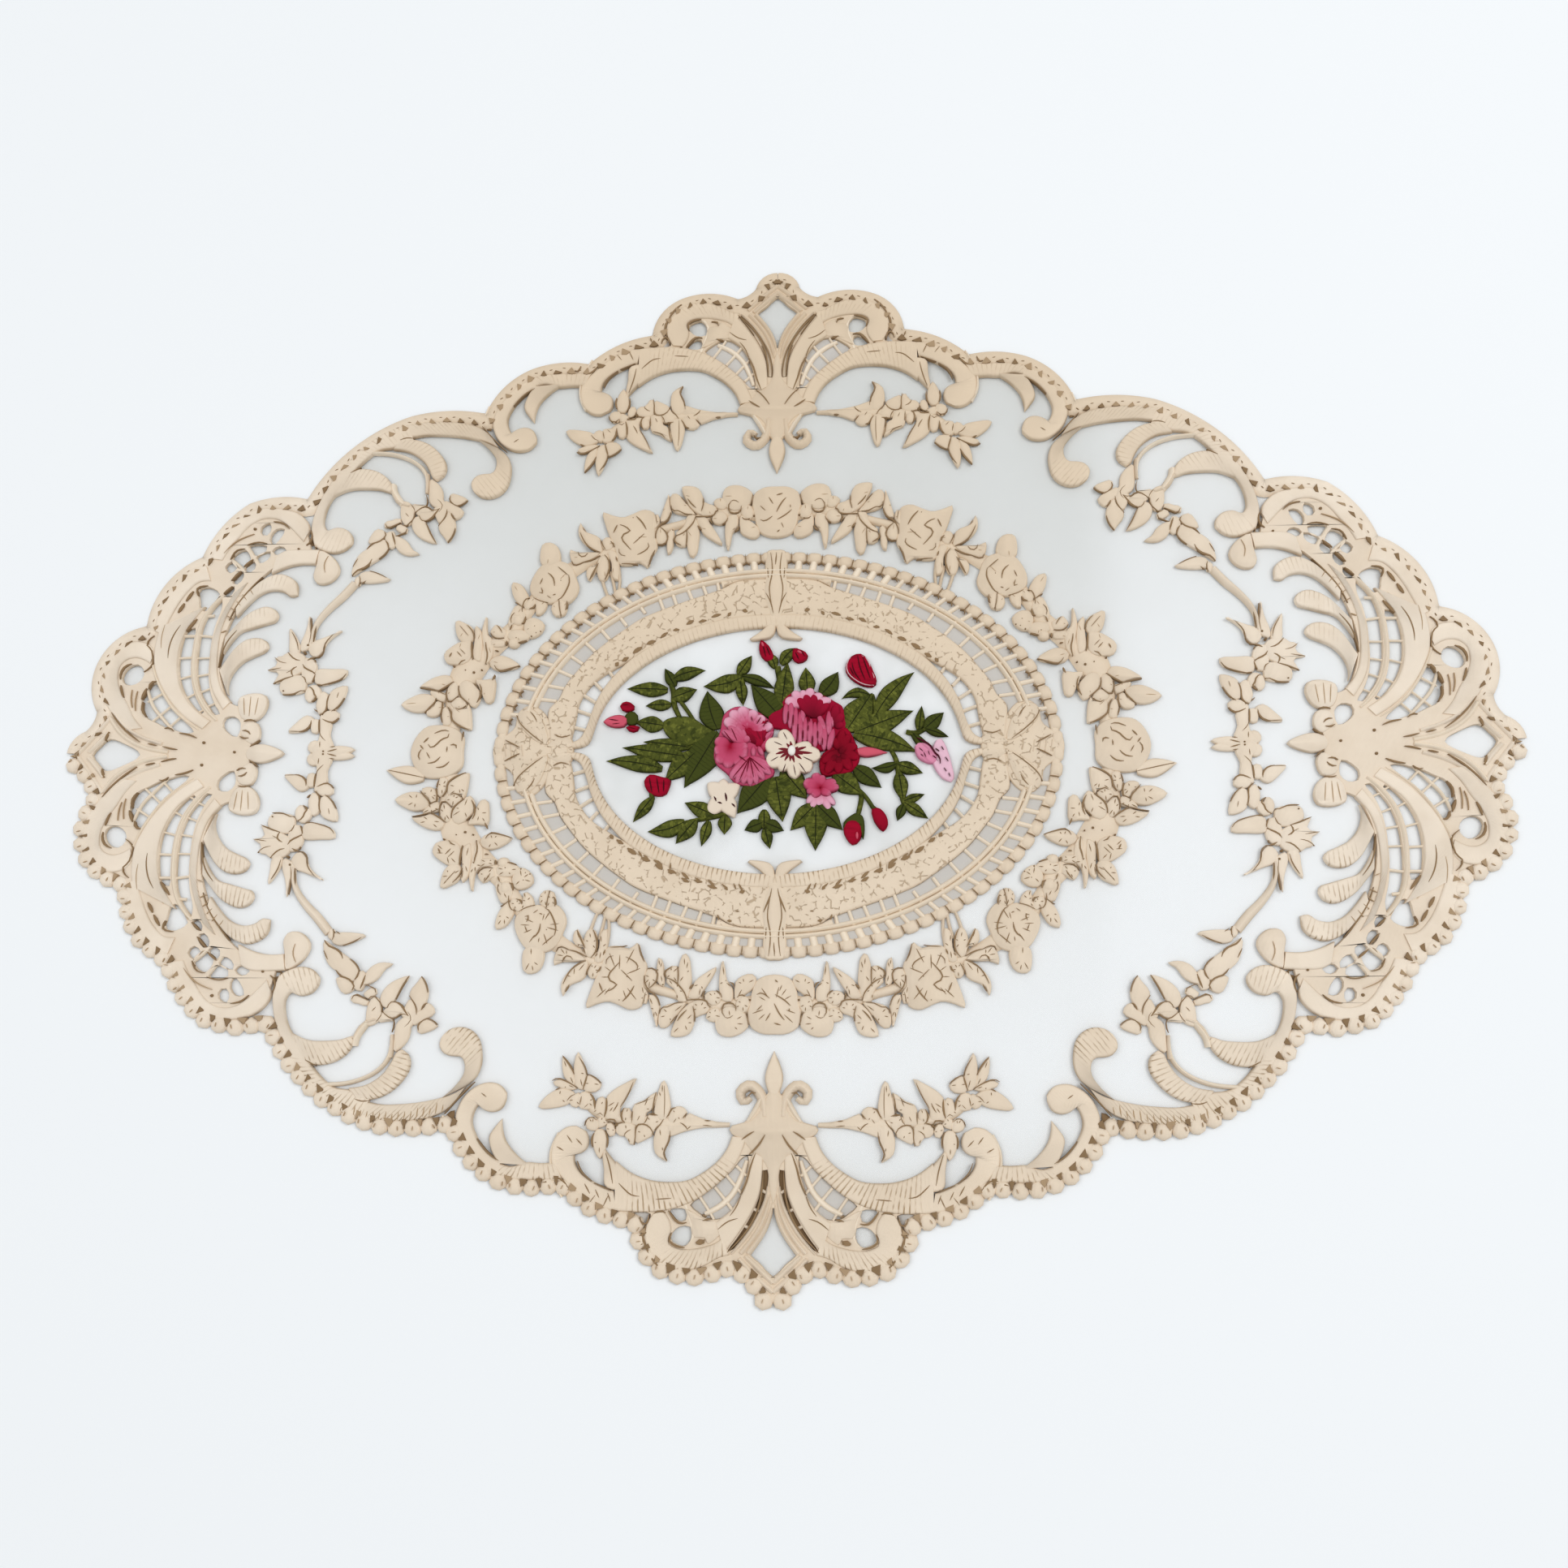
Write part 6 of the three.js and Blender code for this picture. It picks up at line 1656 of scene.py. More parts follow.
    DETAILS = [*[Cord(thread, Level.BODY) for thread in THREADS], Knob((72.7, 38), (2, 2), square=2.2),
               Knob((73.7, 31.2), (1.7, 1.6), square=2.2),
               *dots((6.4, 68, .34), (29.5, 64, .3), (40.9, 68, .25), (39, 61.9, .3), (61, 49.4, .3),
                     (67.9, 36, .3), (66.2, 34.4, .3), (67.4, 34, .3), (68.7, 33, .4), (73, 32.6, .3),
                     (82.4, 23.4, .25), (84.6, 22.7, .42), (87, 23.4, .22), (90.4, 24.6, .25))]

    def build(self) -> Iterator[bpy.types.Object]:
        """Makes the wreath in one piece."""
        relief = Relief()
        relief.work([Cord(self.VINE, Level.BODY, edge=.3), *self.PETALS, *self.FOLDS, *self.DETAILS],
                    Sides.QUARTERS)
        relief.work(veins(self.PETALS, 1), Sides.FAR)
        relief.work(veins(self.PETALS, 4, 0.15, Tone.FOLD) + veins(self.PETALS[-2:], 9, 0.14, Tone.FOLD),
                    Sides.NEAR)
        relief.work(veins(self.ROSE_TOP, 9, 0.14, Tone.FOLD), Sides.BOTTOM_RIGHT)
        relief.work(self.ROSE_TOP + self.ROSE_TOP_FOLDS, Sides.TOP_BOTTOM)
        relief.work([Leaf((97, -7.4), (108, -5), 5.2, vein=True)], Sides.RIGHT_LEFT)
        relief.work(self.ROSE_END + self.ROSE_END_FOLDS, Sides.RIGHT_LEFT)
        yield relief.build("wreath", ECRU.make(), "ecru_lace", ("wreath_lace",))


class Garland:
    """A spray of leaves and blossoms down each end, the same above and below the X axis."""

    PETALS = petals(
        (89.2, 74.8, 92, 76.4, 94.4, 76.8, 94.6, 74.6, 93.4, 73.2, 91.8, 72.8),
        (90.2, 71.2, 92, 72.9, 96, 74.6, 97, 72, 94.6, 70.8, 93.4, 70, 92.6, 68.6, 91, 69.4),
        (94.8, 71.4, 95.4, 69.6, 97.4, 66.9, 96.8, 64.8, 95.4, 63.2, 94.3, 61.6, 92.9, 63.8, 92.2, 66.2,
         93.2, 69.8),
        (96.5, 76.4, 97, 78.4, 98.8, 80.6, 100.6, 81.6, 100.8, 78, 100.4, 74, 97, 71.6, 95.4, 71.4,
         95.2, 73.4, 96.4, 75),
        (94.8, 72, 97, 73.4, 99.4, 71.8, 98.6, 70, 97, 67.4, 95.2, 69.4),
        (97.2, 72.2, 99, 71.5, 101.3, 72.9, 104.4, 71.1, 103.2, 69.8, 102.2, 68.5, 100.8, 68.3, 99, 69.4),
        (103.2, 70.2, 105.1, 69, 104.9, 66, 102.4, 63.2, 97.6, 61.5, 99.4, 64.6, 101, 68),
        (101, 73.4, 103, 73.6, 105.6, 73.8, 104.6, 70.8),
        (104.5, 71.2, 105.6, 73.9, 108.4, 74.8, 108.8, 72, 108.3, 68.8, 106.8, 66.9, 105.2, 68),
        (106.2, 66.2, 106.4, 65.1, 107.6, 64.5, 108.8, 65.2, 110, 66.6, 108.4, 67.8, 107, 67.1),
        (108.2, 68.2, 110.4, 67, 113, 66.6, 113.2, 68.4, 111, 69, 108.8, 69.6),
        (110.2, 64.2, 108.4, 63.8, 106.2, 62.4, 104.4, 59.8, 102.2, 58.5, 105.6, 57.9, 108.4, 59.2,
         109.8, 61.4),
        (109.6, 60.8, 110.4, 65.6, 112.6, 65, 113, 63.2, 111.8, 61.6, 111.4, 60),
        (112.6, 65.4, 115.2, 66.4, 116.8, 64.6, 117.6, 62, 116.2, 61.6, 113.6, 62.7, 112.4, 64),
        (111.3, 60.2, 112.6, 63.2, 115.4, 62.2, 117.4, 60.6, 119.8, 58.8, 121.2, 56.2, 121.7, 52,
         119.4, 53.4, 117.4, 54.7, 115.8, 55.8, 113.6, 57.3, 112, 58.8),
        (119, 53, 116.2, 53.5, 113.4, 52.5, 110.2, 50.7, 113.8, 49.9, 117.4, 49.8, 120, 50.4),
        (118.9, 51.6, 120.4, 51.8, 120.8, 49.8, 119.8, 48.6, 118.9, 49.4),
        (132.6, 30, 131.4, 32.5, 128.6, 33.6, 125.4, 34.9, 122.8, 35.8, 125.6, 33.8, 127.6, 31.6,
         128.2, 29.4, 130.4, 27.6),
        (131.2, 31.8, 132.3, 36, 132.9, 40.4, 133.7, 36, 135, 31.6, 134.6, 29.4),
        (134.9, 29.8, 135.7, 32.8, 138.5, 36.7, 138.3, 33, 138, 29.6, 136.4, 27.4),
        (129.5, 24.4, 130, 26.3, 131, 27.5, 133.8, 27.6, 133.8, 25.4, 131.6, 23.6, 130, 23.1),
        (129.8, 22.6, 130.2, 23.4, 133.6, 25.2, 134, 22.6, 132.6, 20.2, 130.4, 20.6),
        (134, 29, 138.2, 29.6, 140, 28.4, 142, 28, 141.2, 26, 143.8, 24.2, 140.6, 23.4, 141.8, 20.2,
         138.4, 21.4, 136.2, 22.2, 133, 24.4, 133, 27.4),
        (133, 22.4, 136.4, 22.6, 139.8, 20.8, 139.4, 17.4, 135.6, 17, 132.6, 17.9, 132.2, 20.4),
        (120.8, 24, 121.2, 22, 124, 20.5, 128.4, 19.5, 130, 20.6, 129.8, 24.1, 125, 24.4),
        (127.8, 17.8, 129.2, 19.8, 131.6, 19.3, 130.2, 17.4, 129.4, 15.6, 128, 16),
        (129.9, 18.2, 131.6, 19.3, 132.6, 17.4, 132.1, 15.2, 130.6, 14.5, 129.6, 16.2),
        (120.6, 19.4, 120.8, 16.6, 122, 14.1, 124, 12, 125.8, 12.8, 125.9, 15.6, 124.8, 18.2),
        (125.9, 12.2, 125.6, 16.6, 127.6, 18, 128.8, 15.8, 129, 12.8, 127.8, 11),
        (122.2, 11.4, 122.5, 9.6, 124, 8.5, 126.8, 9.5, 126.8, 11.6, 124.2, 12.4),
        (129.2, 9.8, 131.4, 11, 134.6, 8.6, 136.6, 6.1, 133, 6, 131.2, 6.5, 130.1, 7.8),
        (127.6, 9.6, 129.8, 9.6, 130.1, 7, 129.4, 5.6, 127.5, 6),
        (124.2, 9, 124.4, 5, 123.2, 2, 124, -1, 128.4, -1, 129.6, 1.4, 127.6, 3.8, 127.7, 9.4, 127.6, 11.2),
        (124, .9, 120.4, .8, 117, -1, 120, -2, 124, -1.6),
        (127.4, 3.4, 129.4, 3.6, 130.6, 1.6, 129.6, 0, 127.6, .4), level=Level.BODY)
    FOLDS = folds(
        (.17, 89.2, 74.4, 90.6, 73.3, 92.2, 72.8, 93.6, 73.7, 94.4, 75),
        (.28, 93.4, 73.4, 94.4, 74.6, 94.2, 76), (.3, 92.3, 68.8, 93.2, 69.3, 93.7, 70.6),
        (.15, 92.3, 66, 93, 63.6, 94.3, 61.7), (.2, 95, 71.8, 95.4, 69.6, 97.3, 66.8),
        (.13, 97.4, 71, 96.4, 73, 98, 75),
        (.36, 97.1, 72.2, 98, 71.1, 99.4, 69.2, 101.2, 68.3),
        (.2, 97.2, 72.1, 99, 71.6, 101.2, 72.9, 104.3, 71), (.15, 101.2, 72.9, 100.9, 74.4, 101.4, 76.4),
        (.17, 101, 68.3, 102.2, 68.6, 103.1, 70.1), (.22, 100.9, 67.8, 99.4, 64.6, 97.7, 61.6),
        (.17, 106.1, 69.8, 107.1, 70.9), (.15, 104.3, 71.2, 104.9, 72.6, 105.8, 73.6),
        (.16, 104.4, 71, 104.6, 69.2, 105.6, 68, 107, 66.8, 108.4, 67.8),
        (.24, 108.4, 68, 110.6, 66.9, 111.9, 66.4, 112.8, 67.8), (.36, 110.7, 65, 110.1, 63.4, 109.5, 61.4),
        (.16, 106.4, 66, 106.6, 65.1, 108, 64.4, 109.6, 63.8),
        (.3, 112.9, 65.4, 112.4, 64.2, 113.2, 63, 114.4, 62.2, 116.3, 61.6, 117.7, 60),
        (.32, 112.4, 62.6, 111.6, 61.4, 111.3, 60),
        (.18, 111.4, 60, 112.3, 58.5, 114, 57),
        (.36, 116, 57, 116.6, 55.6, 118, 54.4, 120, 53.6, 121.5, 52), (.22, 120.1, 57.2, 121.4, 54.8),
        (.15, 111.4, 51.3, 113.6, 52.5, 116.4, 53.5),
        (.22, 119.3, 52, 118.9, 50.4, 119.3, 49), (.2, 117.2, 50.4, 118.4, 49.6),
        (.4, 130.3, 27.7, 131.3, 27.5, 132.4, 26.9), (.17, 128, 29.6, 129, 28, 130.4, 27.7),
        (.17, 125.6, 34.4, 127.6, 32, 128.1, 29.6), (.34, 130, 23.1, 131.6, 24, 132.8, 24.5, 133.7, 25.8),
        (.2, 130.1, 26.4, 130.4, 27.2), (.26, 129.8, 22.9, 130, 22, 130.6, 20.6),
        (.22, 133.7, 22.3, 132.9, 21.8, 132.3, 20.4), (.28, 134.5, 26.9, 136.2, 27.4, 138.3, 29.5),
        (.16, 138.4, 26.2, 140.4, 26.7, 142, 28), (.16, 139.8, 24.8, 143.6, 24.2),
        (.34, 135.3, 25.1, 136.8, 24, 136.2, 22.3), (.26, 136.2, 22.3, 138.4, 21.6, 141.8, 20.2),
        (.14, 136.8, 24, 138.2, 23.3), (.24, 132.5, 18, 133.6, 18, 135.6, 17.1, 138.8, 16.9),
        (.18, 121, 22.8, 122.4, 21.2, 125.6, 20.1, 128.4, 19.5), (.24, 127.6, 19.6, 129.2, 19.8),
        (.32, 131.5, 19.3, 130.2, 18.4, 129.6, 16.8, 129, 15.9, 130.3, 14.8),
        (.28, 125.2, 17, 125.8, 15.4, 125.8, 13.6, 126.2, 11.9, 127.7, 10.8),
        (.17, 121, 15.8, 122.4, 13.5, 124.4, 11.9), (.15, 122.7, 17.4, 123.1, 15.8),
        (.3, 122.2, 10, 123.8, 8.7, 126.8, 9.7),
        (.24, 128.5, 11.8, 129.4, 12.7), (.3, 129.9, 9.4, 130.2, 7.8, 131.4, 6.6, 133.2, 6.1),
        (.13, 133, 6.2, 136.2, 6.3), (.32, 127.7, 9.6, 127.6, 7.6, 127.5, 6),
        (.15, 127.4, 6, 126.8, 4.8, 125.4, 3.4), (.2, 127, 3.2, 126.9, 1.6), (.18, 122.6, 1.8, 124, 1.6),
        (.26, 122, 1, 124.6, .3), (.2, 131.2, 32.4, 131.1, 34.4, 130.5, 37.8, 128.2, 41.4),
        (.16, 132.4, 39.6, 132, 35.4, 132.4, 31.6), (.18, 137.6, 35.4, 135.9, 32.4, 135.3, 30),
        level=Level.BODY)
    STEM = [(120.6, 50, 1.3), (124, 46, 1.3), (127.4, 42.6, 1.1), (130.2, 39, .9), (131.4, 36, .7),
            (131.6, 32, .6)]
    LINK = [(108.2, 73.6, .9), (109.6, 75.4, 1), (111, 77.6, 1), (111.4, 80, .9)]

    def build(self) -> Iterator[bpy.types.Object]:
        """Makes the two garlands."""
        strokes = [Cord(self.STEM, Level.BAND), Cord(self.LINK, Level.BAND, Tone.LIGHT), *self.PETALS,
                   *self.FOLDS,
                   *dots((132.6, 31.4, .42), (133.5, 29.2, .38), (138.6, 18, .3), (125.8, .4, .34))]
        for name, sides in (("garland_right", Sides.TOP_BOTTOM), ("garland_left", Sides.LEFT_END)):
            relief = Relief()
            relief.work(strokes, sides)
            yield relief.build(f"{name}_thread", ECRU.make(), "ecru_lace", (name,))


class Sprigs:
    """A flower sprig beside each cartouche of the top and the bottom."""

    STEM = [(11.4, 99.8, .6), (15, 99.8, .8), (19, 99.4, 1.2), (23, 99.4, 2), (27, 99.4, 2),
            (34, 99.4, 1.4), (40, 98.4, 1.6), (46, 96.4, 1.6), (50, 92, 1.6)]
    PETALS = petals(
        (14, 100.3, 18, 100.6, 23, 101.6, 27.4, 102.8, 27.6, 99.6, 23.8, 99.4, 22.4, 96.9, 20, 97.7,
         17.6, 98.6, 15, 99),
        (27.2, 100, 26.8, 103, 28, 106, 28.3, 107.2, 27.2, 109.2, 29, 108.4, 30.6, 107, 31.1, 104,
         30.8, 102, 29.6, 99.8),
        (22.4, 96.8, 24, 98.8, 26.8, 99.6, 27.6, 98.2, 26.4, 95.7, 24, 95.2),
        (26.8, 97.2, 28.6, 99, 31, 97.6, 31, 95, 30, 91, 29, 88.5, 28.2, 89.2, 27.2, 92.4),
        (29.2, 98.8, 30.6, 101.2, 31.4, 102, 32.8, 100.4, 33.5, 99.6, 33, 97.4, 30.4, 97.4),
        (31, 101.6, 31.6, 102.8, 33, 103.6, 35.8, 104.6, 35.9, 101.4, 35, 99.7, 33, 99.8),
        (35.8, 100, 35.8, 104.6, 36.8, 105.2, 38.4, 103, 40.4, 102.6, 41, 100, 38.4, 99.2),
        (33, 97, 33.4, 99.8, 36.7, 99.9, 36.9, 97.4, 36.4, 94.8, 33.6, 93.6, 32.4, 92.6, 30.5, 91.6,
         31.4, 96),
        (36.9, 98, 37, 96.5, 37.8, 95.6, 38.9, 95.6, 39.7, 97, 39.5, 98.4, 38.4, 99.4),
        (40.9, 101.4, 41.6, 103, 42.8, 102.8, 43.6, 100.8, 43, 99.2, 41.6, 99.4),
        (43.5, 101.6, 43, 104, 43.6, 106.6, 44.9, 108.6, 46.3, 106.6, 47, 104.4, 46.7, 102, 45.4, 100.8),
        (45.2, 100.4, 46, 101.5, 48.2, 101.2, 49, 99.6, 48.1, 98, 46.8, 97.9, 45.3, 99.1),
        (43, 99.6, 45.4, 100.8, 46, 98.6, 44.4, 97.6),
        (40, 98.6, 43.9, 98.4, 44.1, 96, 43.7, 93, 42, 91.2, 38.4, 89.1, 35.9, 88, 37.3, 91.2, 38.9, 94.2,
         39.9, 96),
        (43.9, 98.6, 45.4, 97.8, 47.1, 97, 46.6, 95, 45.5, 92.8, 43.9, 93.2),
        (46.7, 95.6, 48, 96.2, 50.8, 95.6, 50.6, 91.8, 48, 91.8, 46.8, 93.4),
        (50.4, 95, 52, 95.8, 53.6, 93.8, 52.2, 92.2, 50.4, 91.8),
        (51.5, 92.6, 53.6, 94.8, 55, 95.4, 61.4, 95.8, 60.2, 93.4, 57, 91, 55.6, 90.6, 53, 91.2),
        (51.3, 90.8, 54.4, 91.2, 58, 89.4, 56.4, 88.3, 54.4, 88.7, 52, 89.8),
        (45, 89.8, 46.2, 91.6, 49.6, 91.4, 49.8, 89.4, 48.8, 87.1, 46.6, 88.1),
        (49.7, 91.2, 48.9, 87.2, 49.7, 84.8, 51.6, 81.4, 52.5, 84.6, 52.5, 87.6, 52, 90.2),
        (52, 90.2, 54.4, 88.8, 55.5, 86, 55.5, 82.4, 53.8, 84.5, 52.3, 86.8),
        level=Level.BODY)
    FOLDS = folds(
        (.24, 22.2, 101.1, 23, 100, 24.2, 99.3), (.22, 16.4, 98.8, 17.8, 98.7),
        (.24, 22.5, 96.9, 23.5, 98.2), (.14, 25.2, 98.3, 25.9, 99.3),
        (.28, 25.4, 95.5, 26.5, 95.9, 27, 97, 27.8, 98.1), (.2, 28.5, 98.4, 29.2, 99.6, 30.8, 101.2),
        (.3, 30, 97.5, 31.6, 97.2, 32.7, 97.1),
        (.2, 32.6, 97.4, 32.9, 98.6, 33.6, 99.6), (.24, 31.4, 97, 31.1, 94, 30.6, 91.6),
        (.24, 31, 102.6, 31.6, 101, 33, 99.9, 35, 99.8, 35.7, 100.6, 35.7, 102.6, 36, 105),
        (.18, 36.9, 101.1, 38.2, 101.8, 38.7, 102.8), (.15, 34.7, 97.6, 35.3, 98.8),
        (.15, 36.6, 96.4, 36.8, 99.4), (.14, 32.5, 92.8, 33.4, 93.8, 35.8, 94.7),
        (.32, 38.9, 95.7, 39.5, 97.2, 39.4, 98.4, 38.6, 99.4), (.24, 38.6, 99.1, 40.6, 99.6),
        (.28, 40.8, 99.6, 41.4, 98.6, 43.6, 98.8), (.15, 40.9, 101, 41.3, 99.8, 42.8, 99.1),
        (.24, 43, 105.6, 42.9, 103.4, 43.7, 101.3), (.34, 46.8, 105.6, 47, 103.4, 46.5, 102),
        (.13, 45.9, 98.8, 47.4, 97.9, 48.7, 98.8, 49.1, 100.2),
        (.38, 44, 98, 43.5, 96, 43.5, 93.2), (.22, 41.7, 96.6, 40.8, 95.2, 40.4, 94.2),
        (.14, 36.6, 89, 37.8, 92, 39.8, 95.4), (.18, 44.3, 97.6, 45, 97, 45.9, 97.4),
        (.3, 46.5, 96, 46.8, 93.6, 47.8, 92.1), (.22, 50.1, 92.8, 50.5, 95), (.13, 48.2, 94.6, 49.2, 95.6),
        (.18, 51.9, 92.3, 52.8, 92.7, 53.9, 94), (.26, 55.8, 90.6, 57, 91.2),
        (.24, 51.3, 90.7, 52.6, 89.8, 54.6, 88.8, 56.6, 88.2, 58, 88.8),
        (.16, 45, 89.4, 46.8, 87.9, 48.8, 87), (.32, 49.8, 91, 49.2, 89, 48.7, 87.2),
        (.15, 48.8, 87.4, 49.4, 85.4, 51.2, 82.6), (.28, 52.2, 87.2, 53.2, 85.2, 55.5, 82.4),
        (.14, 28.4, 98, 28.3, 94, 28.5, 90), (.2, 26.7, 101.4, 27, 104, 28.2, 106.8, 27.4, 108.8),
        level=Level.BODY)

    def build(self) -> Iterator[bpy.types.Object]:
        """Makes the four sprigs."""
        strokes = [Cord(self.STEM, Level.BODY), *self.PETALS, *self.FOLDS,
                   *dots((40.7, 99.9, .5), (31.4, 97.2, .4))]
        for sides in (Sides.ONCE, Sides.TOP_LEFT, Sides.BOTTOM_LEFT, Sides.BOTTOM_RIGHT):
            (x, y), = sides.value
            name = f"sprig_{'top' if y > 0 else 'bottom'}_{'right' if x > 0 else 'left'}"
            relief = Relief()
            relief.work(strokes + (veins(self.PETALS, 2, 0.14, Tone.FOLD) if y < 0 else []), sides)
            yield relief.build(f"{name}_thread", ECRU.make(), "ecru_lace", (name,))


LEAF_GREEN = Thread("leaf green thread", light=(132, 136, 58), body=(88, 93, 36), warm=(66, 73, 26),
                    shade=(48, 55, 18), deep=(32, 36, 12), border=(32, 36, 12), tick=(48, 55, 18),
                    pitch=1.1, grain=.8, speckle=.45, fleck=.75, outline=(.5, 1), sheen=0, gloss=.1)
PINK = Thread("rose pink thread", light=(236, 178, 200), body=(212, 118, 148), warm=(196, 76, 110),
              shade=(158, 12, 48), deep=(104, 6, 30), border=(118, 16, 48), tick=(150, 40, 76),
              ground_shade_and_glint=(246, 222, 232), pitch=1, grain=.25, streak=.4, fleck=.2, outline=(.4, 1), sheen=0,
              gloss=.1)
PALE = Thread("pale pink thread", light=(240, 196, 214), body=(228, 150, 180), warm=(216, 120, 150),
              shade=(110, 20, 44), deep=(70, 16, 30), border=(196, 110, 140), tick=(200, 120, 150), pitch=1,
              grain=.3, streak=.25, outline=(.1, .5), sheen=0, gloss=.1)
# its ground_shade_and_glint colour is a painted glint
CRIMSON = Thread("crimson thread", light=(214, 92, 112), body=(164, 6, 42), warm=(136, 4, 32),
                 shade=(108, 2, 24), deep=(70, 2, 16), border=(84, 2, 20), tick=(108, 4, 26),
                 ground_shade_and_glint=(244, 208, 214), pitch=1, grain=.6, streak=.4, outline=(.2, .9), sheen=0, gloss=.1)
CREAM = Thread("cream thread", light=(250, 246, 240), body=(236, 221, 202), warm=(228, 208, 176),
               shade=(108, 12, 26), deep=(62, 14, 16), border=(148, 108, 88), tick=(205, 170, 146), pitch=1,
               grain=.2, streak=.0, outline=(.25, .9))


class Bouquet:
    """The bouquet in coloured thread: green first, then blooms and buds over it."""

    LEAVES = (
        (-28, 18, -31, 23.4, 3.4), (-28.4, 20.2, -19.5, 22.6, 4, .6), (-30, 17, -41.5, 17.6, 4.4),
        (-28.6, 14.6, -21.8, 17.2, 4.6), (-29, 12.8, -36.2, 12.6, 3.4), (-16, 5.6, -19, 16.8, 7, .6),
        (-16, 4.6, -25, -10.8, 9), (-24, .6, -36.6, 2.4, 3.8), (-25, -2, -42.4, .8, 5),
        (-31, -5.4, -46.8, -3, 4.8, -.6), (-22, -1, -30.4, -9, 6.4), (-31, 6.8, -38.8, 8, 4.8),
        (-33.4, -13.4, -38.8, -20.2, 3.4), (-10.4, 21, -6.7, 26.8, 3.8), (-9.4, 20.2, -20.2, 18, 5.4, .8),
        (-9.8, 19.4, -9, 12.2, 3.4), (-9.4, 20.6, -.2, 17, 3.2, .5), (1.4, 8.6, -7, 18.4, 7),
        (1.6, 12, 3.2, 24.8, 5.6), (1.4, 24, 6, 28.8, 3.6, .6), (-.2, 23, -3, 27.4, 3.2, -.6),
        (8.8, 15.4, 8.2, 23.2, 4.8),
        (12.4, 15, 17.2, 21.8, 5.2, -.5), (26, 14.6, 18, 13.8, 3, -1.4), (19.6, 5, 26.6, 15.6, 8.4),
        (27.4, 9, 38.2, 21.4, 5.4, 1), (22, 4.4, 37.8, 10.4, 6.6), (21.4, 4, 38.6, -1.4, 6.6, .8),
        (39, 4.6, 40, 11.8, 2.8), (40.6, 5, 46, 9.8, 4.2), (41, 5, 47.2, 2.8, 2.4),
        (37, 4.2, 44.8, -5, 2.8),
        (33, -4.6, 26, -5.6, 3, .7), (33, -4.8, 40, -7.2, 3.8), (33.4, -7, 34.6, -15.4, 4.2),
        (34.6, -15, 40.4, -13, 2.6), (34.8, -15.4, 41.2, -19.8, 3.4), (34.6, -15.8, 32.8, -20.4, 2.8),
        (21.4, -5.4, 28.8, -11.2, 5), (16, -7.2, 23.6, -13.2, 6.4), (-2, -8, -10.4, -18, 8),
        (0, -8, 2, -20.4, 7), (2, -6, 8.6, -14.2, 7), (-3.4, -20.6, -8.4, -22.6, 3.8),
        (-2.8, -20.6, 2.4, -22.8, 3.8), (-2.8, -22, -1.4, -27.8, 3.2), (-3, -17, -3, -23, 3.4),
        (11, -15.6, 4, -22.8, 5.4), (11, -15.6, 10.8, -28.4, 6.4), (11, -15.6, 18.2, -22.8, 5.4),
        (-16.6, -18.4, -24.8, -14.8, 4.6), (-13.6, -18.6, -13.8, -23.8, 4), (-18, -20, -20, -27, 3.2),
        (-21.6, -19.8, -27, -26.2, 4.6), (-24.6, -20.2, -34.8, -22.8, 4.8, .9),
    )
    ROUND_LEAF = [(-31, 8), (-27, 9.4), (-23, 9), (-20, 7), (-16.6, 4.4), (-20, 2.4), (-24.6, .8),
                  (-28.4, 2.6), (-30.8, 5.2)]
    CALYX = ([(18.4, -20.6), (20, -19), (22, -18), (23.6, -19), (24.1, -22), (23.6, -25.6), (22.4, -22.4),
              (20.6, -20.8), (18.6, -23)],
             [(-42, 9.2), (-40.4, 11), (-38.4, 10.4), (-38.2, 7.6), (-40.2, 6.8)],
             [(25.4, -15.4), (26.6, -16), (28, -17.4), (26.8, -17.8), (25.8, -17)])
    STEMS = (
        [(-30, 20, .5), (-28.4, 16.6, .8), (-28.2, 13, .8), (-26.2, 8.6, .6)],
        [(-27.6, 15.4, .5), (-25.4, 12.4, .6), (-22.4, 8, .5)], [(-34, -11.6, .6), (-33.6, -14, .8)],
        [(-9.8, 21.6, .7), (-9.2, 18.6, .7)], [(.4, 23.4, .9), (1.2, 18, .8), (1.6, 12, .7)],
        [(35.6, 4.4, .7), (38, 4, .8), (41, 5.2, .5)], [(30.6, .4, .5), (32.6, -3, .7), (33.4, -7.4, .8)],
        [(34.2, -14, .7), (35, -16.4, .7)],
        [(21.6, -10.6, .5), (23.2, -13, .7), (22.6, -17.4, .7), (22, -19.4, .6)],
        [(22.4, -11.4, .5), (24.4, -13.6, .6), (26.2, -16.4, .6)],
        [(26.6, 15, .5), (27.2, 11, .6), (27, 8, .5)],
        [(-11.6, -17.6, .6), (-17, -18.8, .8), (-22, -19.8, .6), (-25, -20.4, .5)],
        [(-38.6, 8, .6), (-34, 7.4, .5), (-30, 6.4, .5)], [(-16, 5, .5), (-20, 2.6, .5), (-24.4, .2, .5)],
    )

    def green(self) -> Relief:
        """Leaves, stems and calyces."""
        relief = Relief()
        draw = np.random.default_rng(3)
        strokes: list[Stroke] = [Cord(stem, Level.LEAF) for stem in self.STEMS]
        strokes.append(Pad(self.ROUND_LEAF, level=Level.LEAF))
        strokes += [Pad(calyx, level=Level.LEAF, tone=Tone.WARM) for calyx in self.CALYX]
        for row in self.LEAVES:
            look = draw.choice([Tone.BODY, Tone.BODY, Tone.WARM])
            strokes += sprout(row, vein=True, level=Level.LEAF, tone=look, stitch=(.5, .5))
        relief.work(strokes)
        return relief

